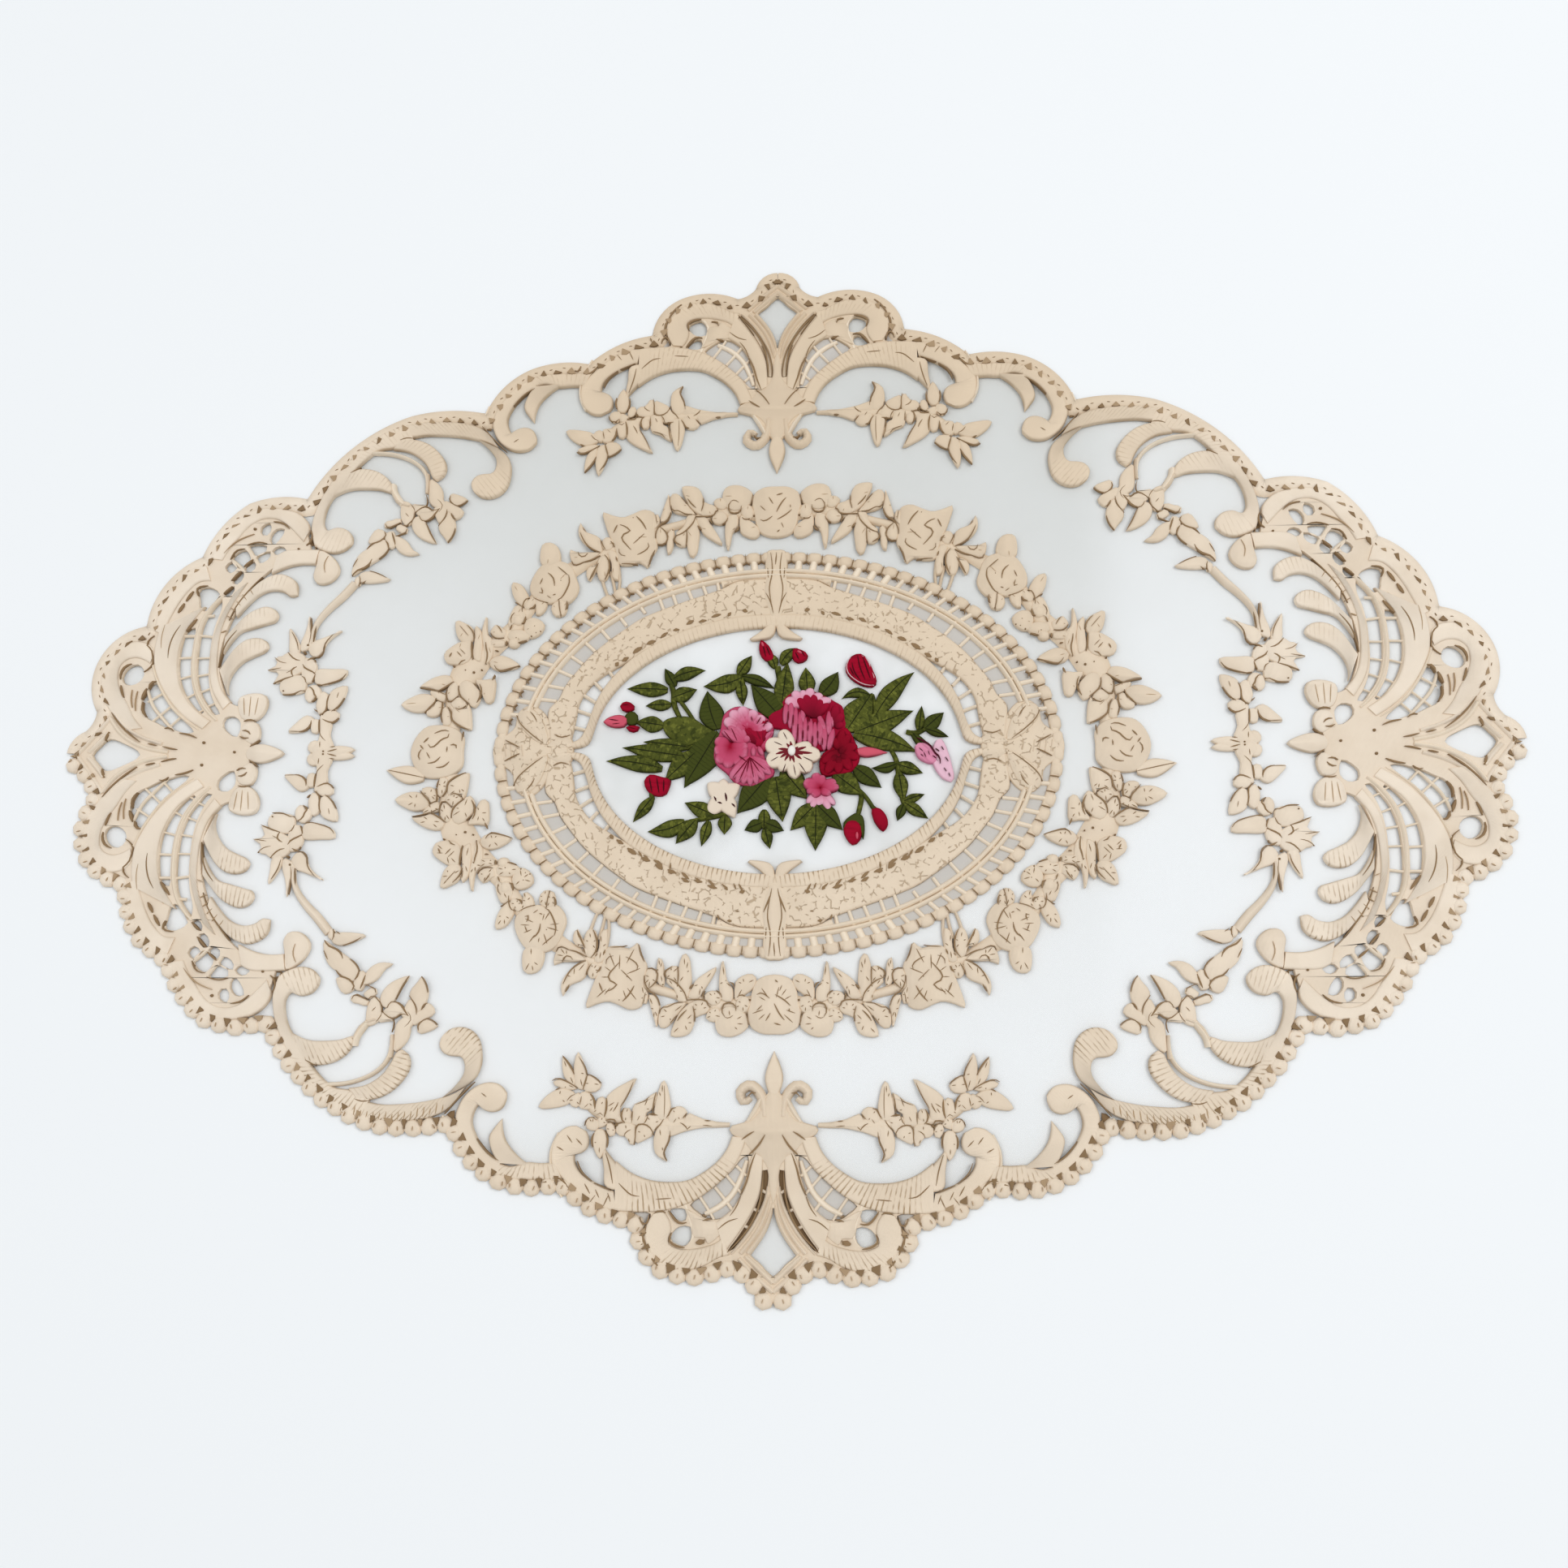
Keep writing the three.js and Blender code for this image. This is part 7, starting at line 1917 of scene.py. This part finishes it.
    def petals(self, focus: tuple[float, float], tips: tuple[tuple[float, ...], ...],
               tone: Tone = Tone.SHADE, end_tone: Tone = Tone.BODY,
               level: Level = Level.BLOOM) -> list[Stroke]:
        """Petals from one focus to tips given by x, y, width and any bend; they fade to their tips."""
        return [Leaf(focus, (tip[0], tip[1]), tip[2], tip[3] if len(tip) > 3 else 0, blunt=.75, tone=tone,
                     end_tone=end_tone, level=level) for tip in tips]

    def rose_left(self) -> list[Stroke]:
        """The pink rose on the left, crimson in its folds."""
        body = [(-14.3, 9.7), (-11.7, 11.7), (-9.7, 12), (-6.3, 11), (-3.7, 9.7), (-.3, 5.7), (-1.7, 3),
                (-3, .3), (-2.7, -3), (-.3, -5.7), (-.5, -7.7), (-4, -9.7), (-6.3, -10.7), (-11, -9.7),
                (-13, -7.3), (-16.7, -3.7), (-16.7, 1), (-15.3, 5)]
        return [
            Pad(body, level=Level.PAD, tone=Tone.WARM),
            *self.petals((-7, 5), ((-14.4, 8, 4.4), (-12.6, 10.6, 4.4), (-9.6, 11.9, 4.6), (-6, 10.9, 4.4),
                                   (-3, 9, 4.2), (-.6, 6.2, 3.8)), Tone.SHADE, Tone.LIGHT),
            *self.petals((-3.4, .6), ((-13.4, 8.2, 3), (-10.4, 7.8, 3), (-6.6, 8.2, 3), (-3.4, 7, 2.6)),
                         Tone.DEEP, Tone.SHADE, Level.BLOOM),
            *self.petals((-8.4, 1.4), ((-14.8, 5, 3), (-13.2, 6.6, 2.6), (-11, 6.4, 2.6), (-9.2, 5.6, 2.4),
                                       (-7.4, 3.6, 2.4)), Tone.WARM, Tone.BODY, Level.TOP),
            *self.petals((-3.6, -1), ((-1.4, 4.4, 2), (-2.4, 2.4, 2), (-.6, 5.2, 1.6)), Tone.SHADE,
                         Tone.BODY),
            *self.petals((-12.4, .2), ((-16.6, 2.6, 4), (-16.8, -1, 4.4), (-16, -4.2, 4.4),
                                       (-13, -5.8, 4.4), (-9.6, -5, 4), (-7.6, -2.4, 4), (-7.4, .6, 3.6)),
                         Tone.SHADE, Tone.BODY,
                         Level.BLOOM),
            *self.petals((-6.8, -2.6),
                         ((-12.4, -8.6, 3.4), (-10.6, -9.9, 3), (-8.8, -10.3, 3), (-6.8, -10.7, 2.8),
                          (-5, -10.2, 2.8), (-3, -9, 2.8), (-1, -7.6, 2.6), (-.8, -5.6, 2.4)),
                         Tone.WARM, Tone.BODY, Level.TOP),
            Knob((-12.2, .3), (2.7, 1.7), 12, tone=Tone.SHADE, level=Level.BLOOM, edge=.2),
            Pad([(-10, 7.6), (-6.4, 8.6), (-3, 8.2), (-1.2, 6.2), (-2.2, 3.8), (-3, .8), (-5.2, .2),
                 (-6.4, 2.6), (-8.4, 3.6), (-9.2, 5.4)], tone=Tone.SHADE, level=Level.BLOOM, rounding=.8,
                edge=.4),
            *[Leaf((a, b), (c, d), w, blunt=.7, tone=Tone.WARM, end_tone=Tone.BODY, level=Level.TOP, edge=1)
              for a, b, c, d, w in ((-8.6, 4, -10.8, 8, 1.8), (-7.4, 4.6, -8, 8.8, 1.6),
                                    (-5.4, 5.4, -5, 9, 1.6), (-3.8, 4.4, -2.2, 7.6, 1.6),
                                    (-6.2, 1.8, -8.8, 3.6, 1.5), (-3.4, 2, -1, 4.6, 1.4),
                                    (-4.6, .4, -3.4, -2.4, 1.5), (-6, .4, -6, -2.6, 1.5),
                                    (-8, .4, -8.6, -2.8, 1.7))],
            *[Crease([(-6.9, -2.8), (x, y)], .15, Level.TOP)
              for x, y in ((-11.4, -8.4), (-9.6, -9.2), (-7.7, -7), (-5.8, -8.4), (-4.2, -7),
                           (-2.6, -6.4))],
            *[Crease([(a, b), (c, d)], .14, Level.TOP)
              for a, b, c, d in ((-11.6, 1.4, -14, 4.6), (-10.4, 1.8, -12, 5.4), (-5, 6.6, -4, 8.4),
                                 (-3.4, 5.8, -2, 7.6), (-6.2, 7.4, -6.6, 8.6), (-9.8, -2.4, -7.4, -4.4))]]

    def rose_top(self) -> list[Stroke]:
        """The pink rose at the top: crimson fans under long hanging petals."""
        body = [(1.7, 13), (4.3, 15.7), (7, 16), (9.7, 17), (11, 15.7), (14.3, 14.3), (16.3, 13),
                (18.3, 11.7), (19, 8.3), (19.3, 5.7), (16.6, 3), (15, 0), (12, -1), (8, 0), (5, 1.6),
                (2, 5), (-1.3, 6), (-2, 9), (0, 10.6), (2, 11.4)]
        hanging = ((3, 12.6, 2.6, 6.4, 1.8), (4.4, 14, 4, 5, 2), (5.6, 11.4, 5.2, 1, 2),
                   (6.8, 10, 6.6, -.2, 2), (8.2, 8.4, 8, .6, 1.8), (9.6, 8, 9.4, .4, 2),
                   (10.8, 7, 10.8, -.4, 2), (12.2, 8, 12.2, .4, 2), (13.4, 6, 13.2, -1, 2),
                   (14.6, 10, 14.6, 3, 2), (15.8, 5, 14.4, -1, 2), (7.6, 12, 7.4, 6, 1.6),
                   (11.6, 9.4, 13.8, 4, 1.8), (15.4, 9.4, 15.4, 5.4, 1.6))
        return [
            Pad(body, level=Level.PAD, tone=Tone.SHADE),
            *self.petals((8, 12), ((2.4, 13.4, 3.6), (4.6, 16, 3.4), (7.4, 16.4, 3), (10, 16.9, 3.4),
                                   (13, 15, 3.4), (15.6, 13.4, 3)), Tone.BODY, Tone.LIGHT),
            *self.petals((10.4, 8.4), ((5.8, 14.2, 3), (8, 15.2, 3.2), (10.6, 15.2, 3), (12.8, 13.8, 2.8),
                                       (14.8, 12.4, 2.6)), Tone.DEEP, Tone.SHADE, Level.TOP),
            *self.petals((15.8, 6), ((16.8, 12.4, 3), (18.6, 9.6, 3), (18.8, 6.4, 2.6)), Tone.DEEP,
                         Tone.SHADE),
            *[Leaf((a, b), (c, d), w, blunt=.8, tone=Tone.WARM, end_tone=Tone.BODY, level=Level.TOP)
              for a, b, c, d, w in hanging],
            *[Crease([(x, y), (x - .1, y - reach)], .16, Level.TOP)
              for x, y, reach in ((4.9, 9, 3), (6.2, 6.4, 4.6), (7.6, 4.6, 2.4), (9, 6, 1.6),
                                  (10.2, 3, 1.8), (11.6, 4.4, 2), (12.9, 2.4, 2), (9.4, 8.4, 1.4),
                                  (3.6, 10, 2.6))]]

    def rose_right(self) -> list[Stroke]:
        """The crimson rose on the right with a long petal beside it."""
        body = [(17, 5), (19.3, 5.7), (22.3, .3), (23, -2.3), (22.3, -5), (20.3, -7), (16.3, -7.7),
                (13, -8), (12, -6.3), (12.3, -2.3), (15, .3), (16.3, 3)]
        return [Leaf((21, -1.2), (30.6, -1.4), 3, tone=Tone.LIGHT, level=Level.PAD),
                Pad(body, level=Level.PAD),
                *self.petals((17.4, -1), ((18.4, 5, 3), (20.4, 3.6, 3), (22.4, .4, 3.4), (22.8, -3.2, 3.4),
                                          (20.6, -6.6, 3.4), (17, -7.6, 3.4), (13.6, -7.6, 3.4),
                                          (12.4, -4.4, 3), (16, 2.8, 2.6)), Tone.SHADE, Tone.BODY,
                             Level.BLOOM),
                *self.petals((17.2, -2.4),
                             ((19.6, .6, 2.2), (20, -3.2, 2.2), (17.2, -5.2, 2.2), (14.8, -4, 2.2)),
                             Tone.DEEP, Tone.WARM, Level.TOP)]

    def pansy(self) -> list[Stroke]:
        """The cream pansy: six petals, burgundy streaks and a white heart."""
        heart = (4.5, -1.1)
        tips = ((1.6, 5, 4.4), (-2.8, 1.2, 5.4), (-2.4, -4.6, 5.4), (1.2, -6.6, 4), (5.4, -8.8, 4.4),
                (9.6, -6.8, 5.2), (12.4, -2.6, 5), (10, .6, 3.6))
        streaks = ((98, 2.6), (125, 2.4), (172, 3.6), (192, 4.4), (212, 3.6), (236, 3.4), (262, 3),
                   (282, 3.4), (318, 3.6), (340, 3.2), (352, 5.6), (14, 4), (30, 2))
        folds = ((150, 3, 5.4), (205, 4, 6.4), (246, 4, 6.6), (277, 4, 7), (300, 4, 7.2), (330, 3.6, 6.4),
                 (112, 3.4, 5.6))

        def out(angle: float, reach: float) -> tuple[float, float]:
            """The point at an angle in degrees and a distance from the heart."""
            t = math.radians(angle)
            return heart[0] + reach * math.cos(t), heart[1] + reach * math.sin(t)

        return [*[Leaf(heart, (x, y), width, blunt=.9, level=Level.TOP) for x, y, width in tips],
                *[Crease([heart, out(angle - 3, reach / 2), out(angle, reach)], .42, Level.TOP, Tone.SHADE)
                  for angle, reach in streaks],
                *[Crease([out(angle, start), out(angle + 2, end)], .13, Level.TOP)
                  for angle, start, end in folds],
                Knob(heart, (1.15, 1.6), tone=Tone.LIGHT, level=Level.HEART, square=2)]

    def blossom_pink(self) -> list[Stroke]:
        """The pink trumpet blossom under the pansy, with a pale fringe."""
        return [*self.petals((12.2, -12),
                             ((8.4, -15.4, 2.6), (9.6, -17, 2.6), (11.6, -16.4, 2.8), (13, -16.2, 2.6),
                              (14.8, -17.6, 2.6), (16.2, -15.8, 2.4)),
                             Tone.BODY, Tone.LIGHT, Level.PAD),
                *self.petals((12.2, -11.4),
                             ((7.6, -9.4, 4), (8.4, -12.2, 3), (10.6, -7, 3.6), (12.8, -7.6, 3),
                              (16.6, -9.4, 3.4), (17.4, -11, 3), (15, -13.2, 3), (10, -13.8, 3)),
                             Tone.SHADE, Tone.BODY, Level.BLOOM)]

    def blossom_cream(self) -> list[Stroke]:
        """The cream blossom at the lower left, with dark stamens."""
        tips = ((-18.6, -9.4, 5, .2), (-14.2, -8.2, 4.6, .2), (-9.4, -9.6, 4.6, 0), (-11, -13.4, 5, .6),
                (-11, -19.2, 5, .2), (-17.8, -18, 4.6, .8), (-17.6, -13, 4, .8))
        return [*[Leaf((-14.2, -13.2), (x, y), width, blunt=blunt, level=Level.PAD, edge=.5)
                  for x, y, width, blunt in tips],
                Knob((-14.4, -13.4), (2.8, 2.8), level=Level.PAD, edge=.2),
                *[Crease([(a, b), ((a + c) / 2 + .1, (b + d) / 2), (c, d)], .3, Level.PAD)
                  for a, b, c, d in ((-16.6, -13.4, -16, -14.8), (-15.6, -15, -14.4, -15.4),
                                     (-13.6, -12.4, -13.2, -14.8), (-11.8, -15.4, -10.8, -16.4))],
                Knob((-17.4, -16.8), (1.1, 1.2), 30, tone=Tone.LIGHT, level=Level.PAD, edge=.2)]

    def blossom_pale(self) -> list[Stroke]:
        """The pale blossom at the right with a dark vein."""
        return [Leaf((44.4, 2), (47.6, -9.8), 5, -1, blunt=.8, tone=Tone.LIGHT, level=Level.LEAF),
                Leaf((38.4, .6), (43.6, -4.4), 5, blunt=.6, level=Level.PAD),
                *folds((.34, 38.4, 2.4, 40.4, 1.4, 42, .2, 43.2, -1.8, 44.4, -3, 44.6, -4.8),
                       (.2, 43.4, -.6, 44.4, -1.4), (.2, 42.6, -2.6, 43.6, -3.4), (.12, 45, 0, 45.6, -1),
                       (.12, 46, -3, 46.8, -4.2), (.12, 45.6, -6, 46.2, -7), (.12, 46.8, -7.4, 47.2, -8.4),
                       (.14, 39, -.4, 40, -1.4), (.14, 40.2, -1.6, 40.8, -3), (.14, 41.4, -1.2, 41.8, -2.4),
                       (.14, 39.4, -2.2, 40, -2.8), level=Level.BAND)]

    def bud(self, outline: Points, lines: tuple[Points, ...] = (),
            painted_highlight: tuple | None = None) -> list[Stroke]:
        """A closed bud with creases of painted shade and a painted highlight."""
        spot = [Knob(painted_highlight[:2], painted_highlight[2:4], painted_highlight[4], tone=Tone.LIGHT, level=Level.UPPER,
                     square=2)] if painted_highlight else []
        return [Pad(outline, level=Level.PAD, rounding=.9),
                *[Crease(line, .2, Level.PAD) for line in lines], *spot]

    def build(self) -> Iterator[bpy.types.Object]:
        """Makes the green and each bloom and bud."""
        yield self.green().build("bouquet_green", LEAF_GREEN.make(), "leaf_green", ("bouquet_leaves",))
        buds = {
            "bud_top_left": self.bud([(-4.3, 31.2), (-2.2, 29.8), (-.8, 27.2), (-.3, 25.2), (-2.4, 24.7),
                                      (-4.2, 26.4), (-4.8, 29)],
                                     ([(-3.6, 29.4), (-2.8, 26)], [(-2.6, 29), (-1.6, 26.4)]),
                                     (-3.7, 29.6, .35, .8, 20)),
            "bud_top_right": self.bud([(4.6, 28.6), (7, 28.2), (8.9, 26.8), (8.4, 25), (6, 24.2),
                                       (4.6, 25.4)], ([(5.4, 27.2), (6.4, 25)], [(7, 27.6), (8, 26)]),
                                      (6.6, 27.2, .9, .4, -30)),
            "bud_upper_right": [
                *self.bud([(21, 26.2), (23.4, 26.8), (25.4, 25.2), (26.8, 22), (27.8, 19), (27.2, 17.2),
                           (24.6, 17.2), (21.4, 18.8), (19.4, 21.2), (19.3, 23.8)],
                          ([(21, 24), (21.6, 21.4), (23.4, 18.6)], [(22.6, 26), (23.2, 22.6), (24.6, 19)],
                           [(24, 25.6), (25, 22.4), (26, 19.4)], [(20.4, 22.6), (21.4, 20.4)])),
                # a pale rim and glints, painted highlights
                *[Cord(line, Level.UPPER, Tone.GROUND_SHADE_AND_GLINT, edge=0)
                  for line in ([(20.6, 25.6, .14), (19.6, 23.6, .2), (19.8, 21.4, .22), (21.8, 19.2, .22),
                                (24.6, 17.7, .22), (27, 17.5, .12)],
                               [(24.6, 25.6, .1), (25.7, 24, .3), (26, 22.6, .1)],
                               [(23, 26.3, .1), (24, 25.9, .2), (24.6, 24.8, .1)],
                               [(26.4, 21.6, .1), (27, 19.8, .22), (27, 18.8, .1)])]],
            "bud_left": self.bud([(-36, -8.8), (-34.4, -6.9), (-31, -7.6), (-28.6, -8.4), (-29, -11),
                                  (-30, -12.8), (-33, -13), (-35, -11.6)],
                                 ([(-34.4, -8), (-33.6, -12)], [(-32.4, -8), (-31.6, -12.4)],
                                  [(-30.4, -8.6), (-30.4, -12)])),
            "buds_far_left": [Pad([(-43.2, 12.4), (-42, 13.8), (-40, 13.4), (-38.9, 12), (-40.2, 10.8),
                                   (-42.2, 11)]),
                              Pad([(-47.7, 8), (-46, 9.4), (-43, 10), (-41, 9), (-41.4, 6.8), (-45, 6.4)],
                                  tone=Tone.LIGHT),
                              Pad([(-41.4, 6.4), (-39.4, 7), (-37.4, 6.4), (-38.6, 5), (-40.6, 5.4)]),
                              *folds((.16, -42.4, 12.6, -40.6, 12.8), (.2, -46, 8.6, -43.4, 8.2),
                                     (.16, -45, 7.2, -43, 7.4), (.2, -40.4, 6.2, -38.6, 5.8),
                                     level=Level.PAD)],
            "bud_lower": self.bud([(19.3, -20.3), (21.7, -20), (23.3, -21.7), (23, -25.3), (21, -27),
                                   (19, -25), (18.3, -22.3)], (), (22, -24.4, .4, 1.1, 0)),
            "bud_lower_right": self.bud([(26, -16.9), (28, -16.7), (30, -19), (30.3, -21.7), (29, -23.3),
                                         (27.3, -21.7), (26.3, -19.7)]),
        }
        blooms = (("rose_pink_left", self.rose_left(), PINK, "rose_pink"),
                  ("rose_pink_top", self.rose_top(), PINK, "rose_pink"),
                  ("rose_red_right", self.rose_right(), CRIMSON, "crimson"),
                  ("blossom_pink", self.blossom_pink(), PINK, "rose_pink"),
                  ("pansy_cream", self.pansy(), CREAM, "cream_thread"),
                  ("blossom_cream", self.blossom_cream(), CREAM, "cream_thread"),
                  ("blossom_pale", self.blossom_pale(), PALE, "pale_pink"),
                  *[(name, strokes, CRIMSON, "crimson") for name, strokes in buds.items()])
        for name, strokes, finish, slot in blooms:
            relief = Relief()
            relief.work(strokes)
            yield relief.build(f"{name}_thread", finish.make(), slot, (name,))


# ---- surroundings -------------------------------------------------------------------
@dataclass(frozen=True)
class Camera:
    """The view, given by where it stands over the part.

    Angles are in degrees: azimuth from -Y towards +X, elevation from the table, roll about the
    line of sight.  The rest is in millimetres, across being how far the part's middle lies off
    the line of sight, to the right and up.
    """

    azimuth: float = 14.06629
    elevation: float = 76.97757
    roll: float = 14.23237
    distance: float = 377.58675
    across: tuple[float, float] = (-0.16147, -9.74207)
    lens: float = 31.677
    film: float = 36.0

    def build(self) -> None:
        """Adds the camera."""
        az, el, roll = (math.radians(a) for a in (self.azimuth, self.elevation, self.roll))
        back = Vector((math.sin(az) * math.cos(el), -math.cos(az) * math.cos(el), math.sin(el)))
        right = Vector((math.cos(az), math.sin(az), 0))
        up = back.cross(right)
        data = bpy.data.cameras.new("camera")
        data.lens, data.sensor_width = self.lens, self.film
        data.clip_start, data.clip_end = 0.01, 20
        camera = bpy.data.objects.new("camera", data)
        x_axis = right * math.cos(roll) - up * math.sin(roll)
        y_axis = right * math.sin(roll) + up * math.cos(roll)
        place = (back * self.distance + right * self.across[0] + up * self.across[1]) * MM
        turn = Matrix((x_axis, y_axis, back)).transposed().to_4x4()
        camera.matrix_world = Matrix.Translation(place) @ turn
        bpy.context.scene.collection.objects.link(camera)
        bpy.context.scene.camera = camera


@dataclass(frozen=True)
class Lamp:
    """A square lamp of some size, aimed at the part; lengths in metres."""

    name: str
    place: tuple[float, float, float]
    size: float
    watts: float
    colour: tuple[float, float, float] = (1, 1, 1)

    def build(self) -> None:
        """Adds the lamp."""
        data = bpy.data.lights.new(self.name, "AREA")
        data.size, data.energy, data.color = self.size, self.watts, self.colour
        lamp = bpy.data.objects.new(self.name, data)
        lamp.location = self.place
        lamp.rotation_euler = Vector(self.place).to_track_quat("Z", "Y").to_euler()
        bpy.context.scene.collection.objects.link(lamp)


class Studio:
    """The table that the part lies on, the lamps and the even light all round."""

    TABLE = Plain("table", (239, 243, 246))
    REACH = 6.0
    AMBIENT = 0.6
    LAMPS = (Lamp("key", (1.0, 0.35, 1.8), 0.9, 15.5), Lamp("fill", (-1.2, 0.15, 1.8), 1.2, 8.6))

    def build(self) -> None:
        """Adds table, lamps and world."""
        bpy.ops.mesh.primitive_plane_add(size=self.REACH, location=(0, 0, 0))
        table = bpy.context.object
        table.name = "table"
        table.data.materials.append(self.TABLE.make())
        for lamp in self.LAMPS:
            lamp.build()
        world = bpy.data.worlds.new("world")
        world.use_nodes = True
        background = world.node_tree.nodes["Background"]
        background.inputs["Color"].default_value = (1, 1, 1, 1)
        background.inputs["Strength"].default_value = self.AMBIENT
        bpy.context.scene.world = world
        bpy.context.scene.view_settings.view_transform = "Standard"


def main() -> None:
    """Builds everything in order."""
    logging.basicConfig(level=logging.INFO, format="%(name)s: %(message)s")
    for maker in (Ground(), Border(), Medallion(), Wreath(), Garland(), Sprigs(), Bouquet()):
        for piece in maker.build():
            triangles = sum(len(p.vertices) - 2 for p in piece.data.polygons)
            log.info("%s: %d triangles", piece.name, triangles)
    Studio().build()
    Camera().build()


if __name__ == "__main__":
    main()
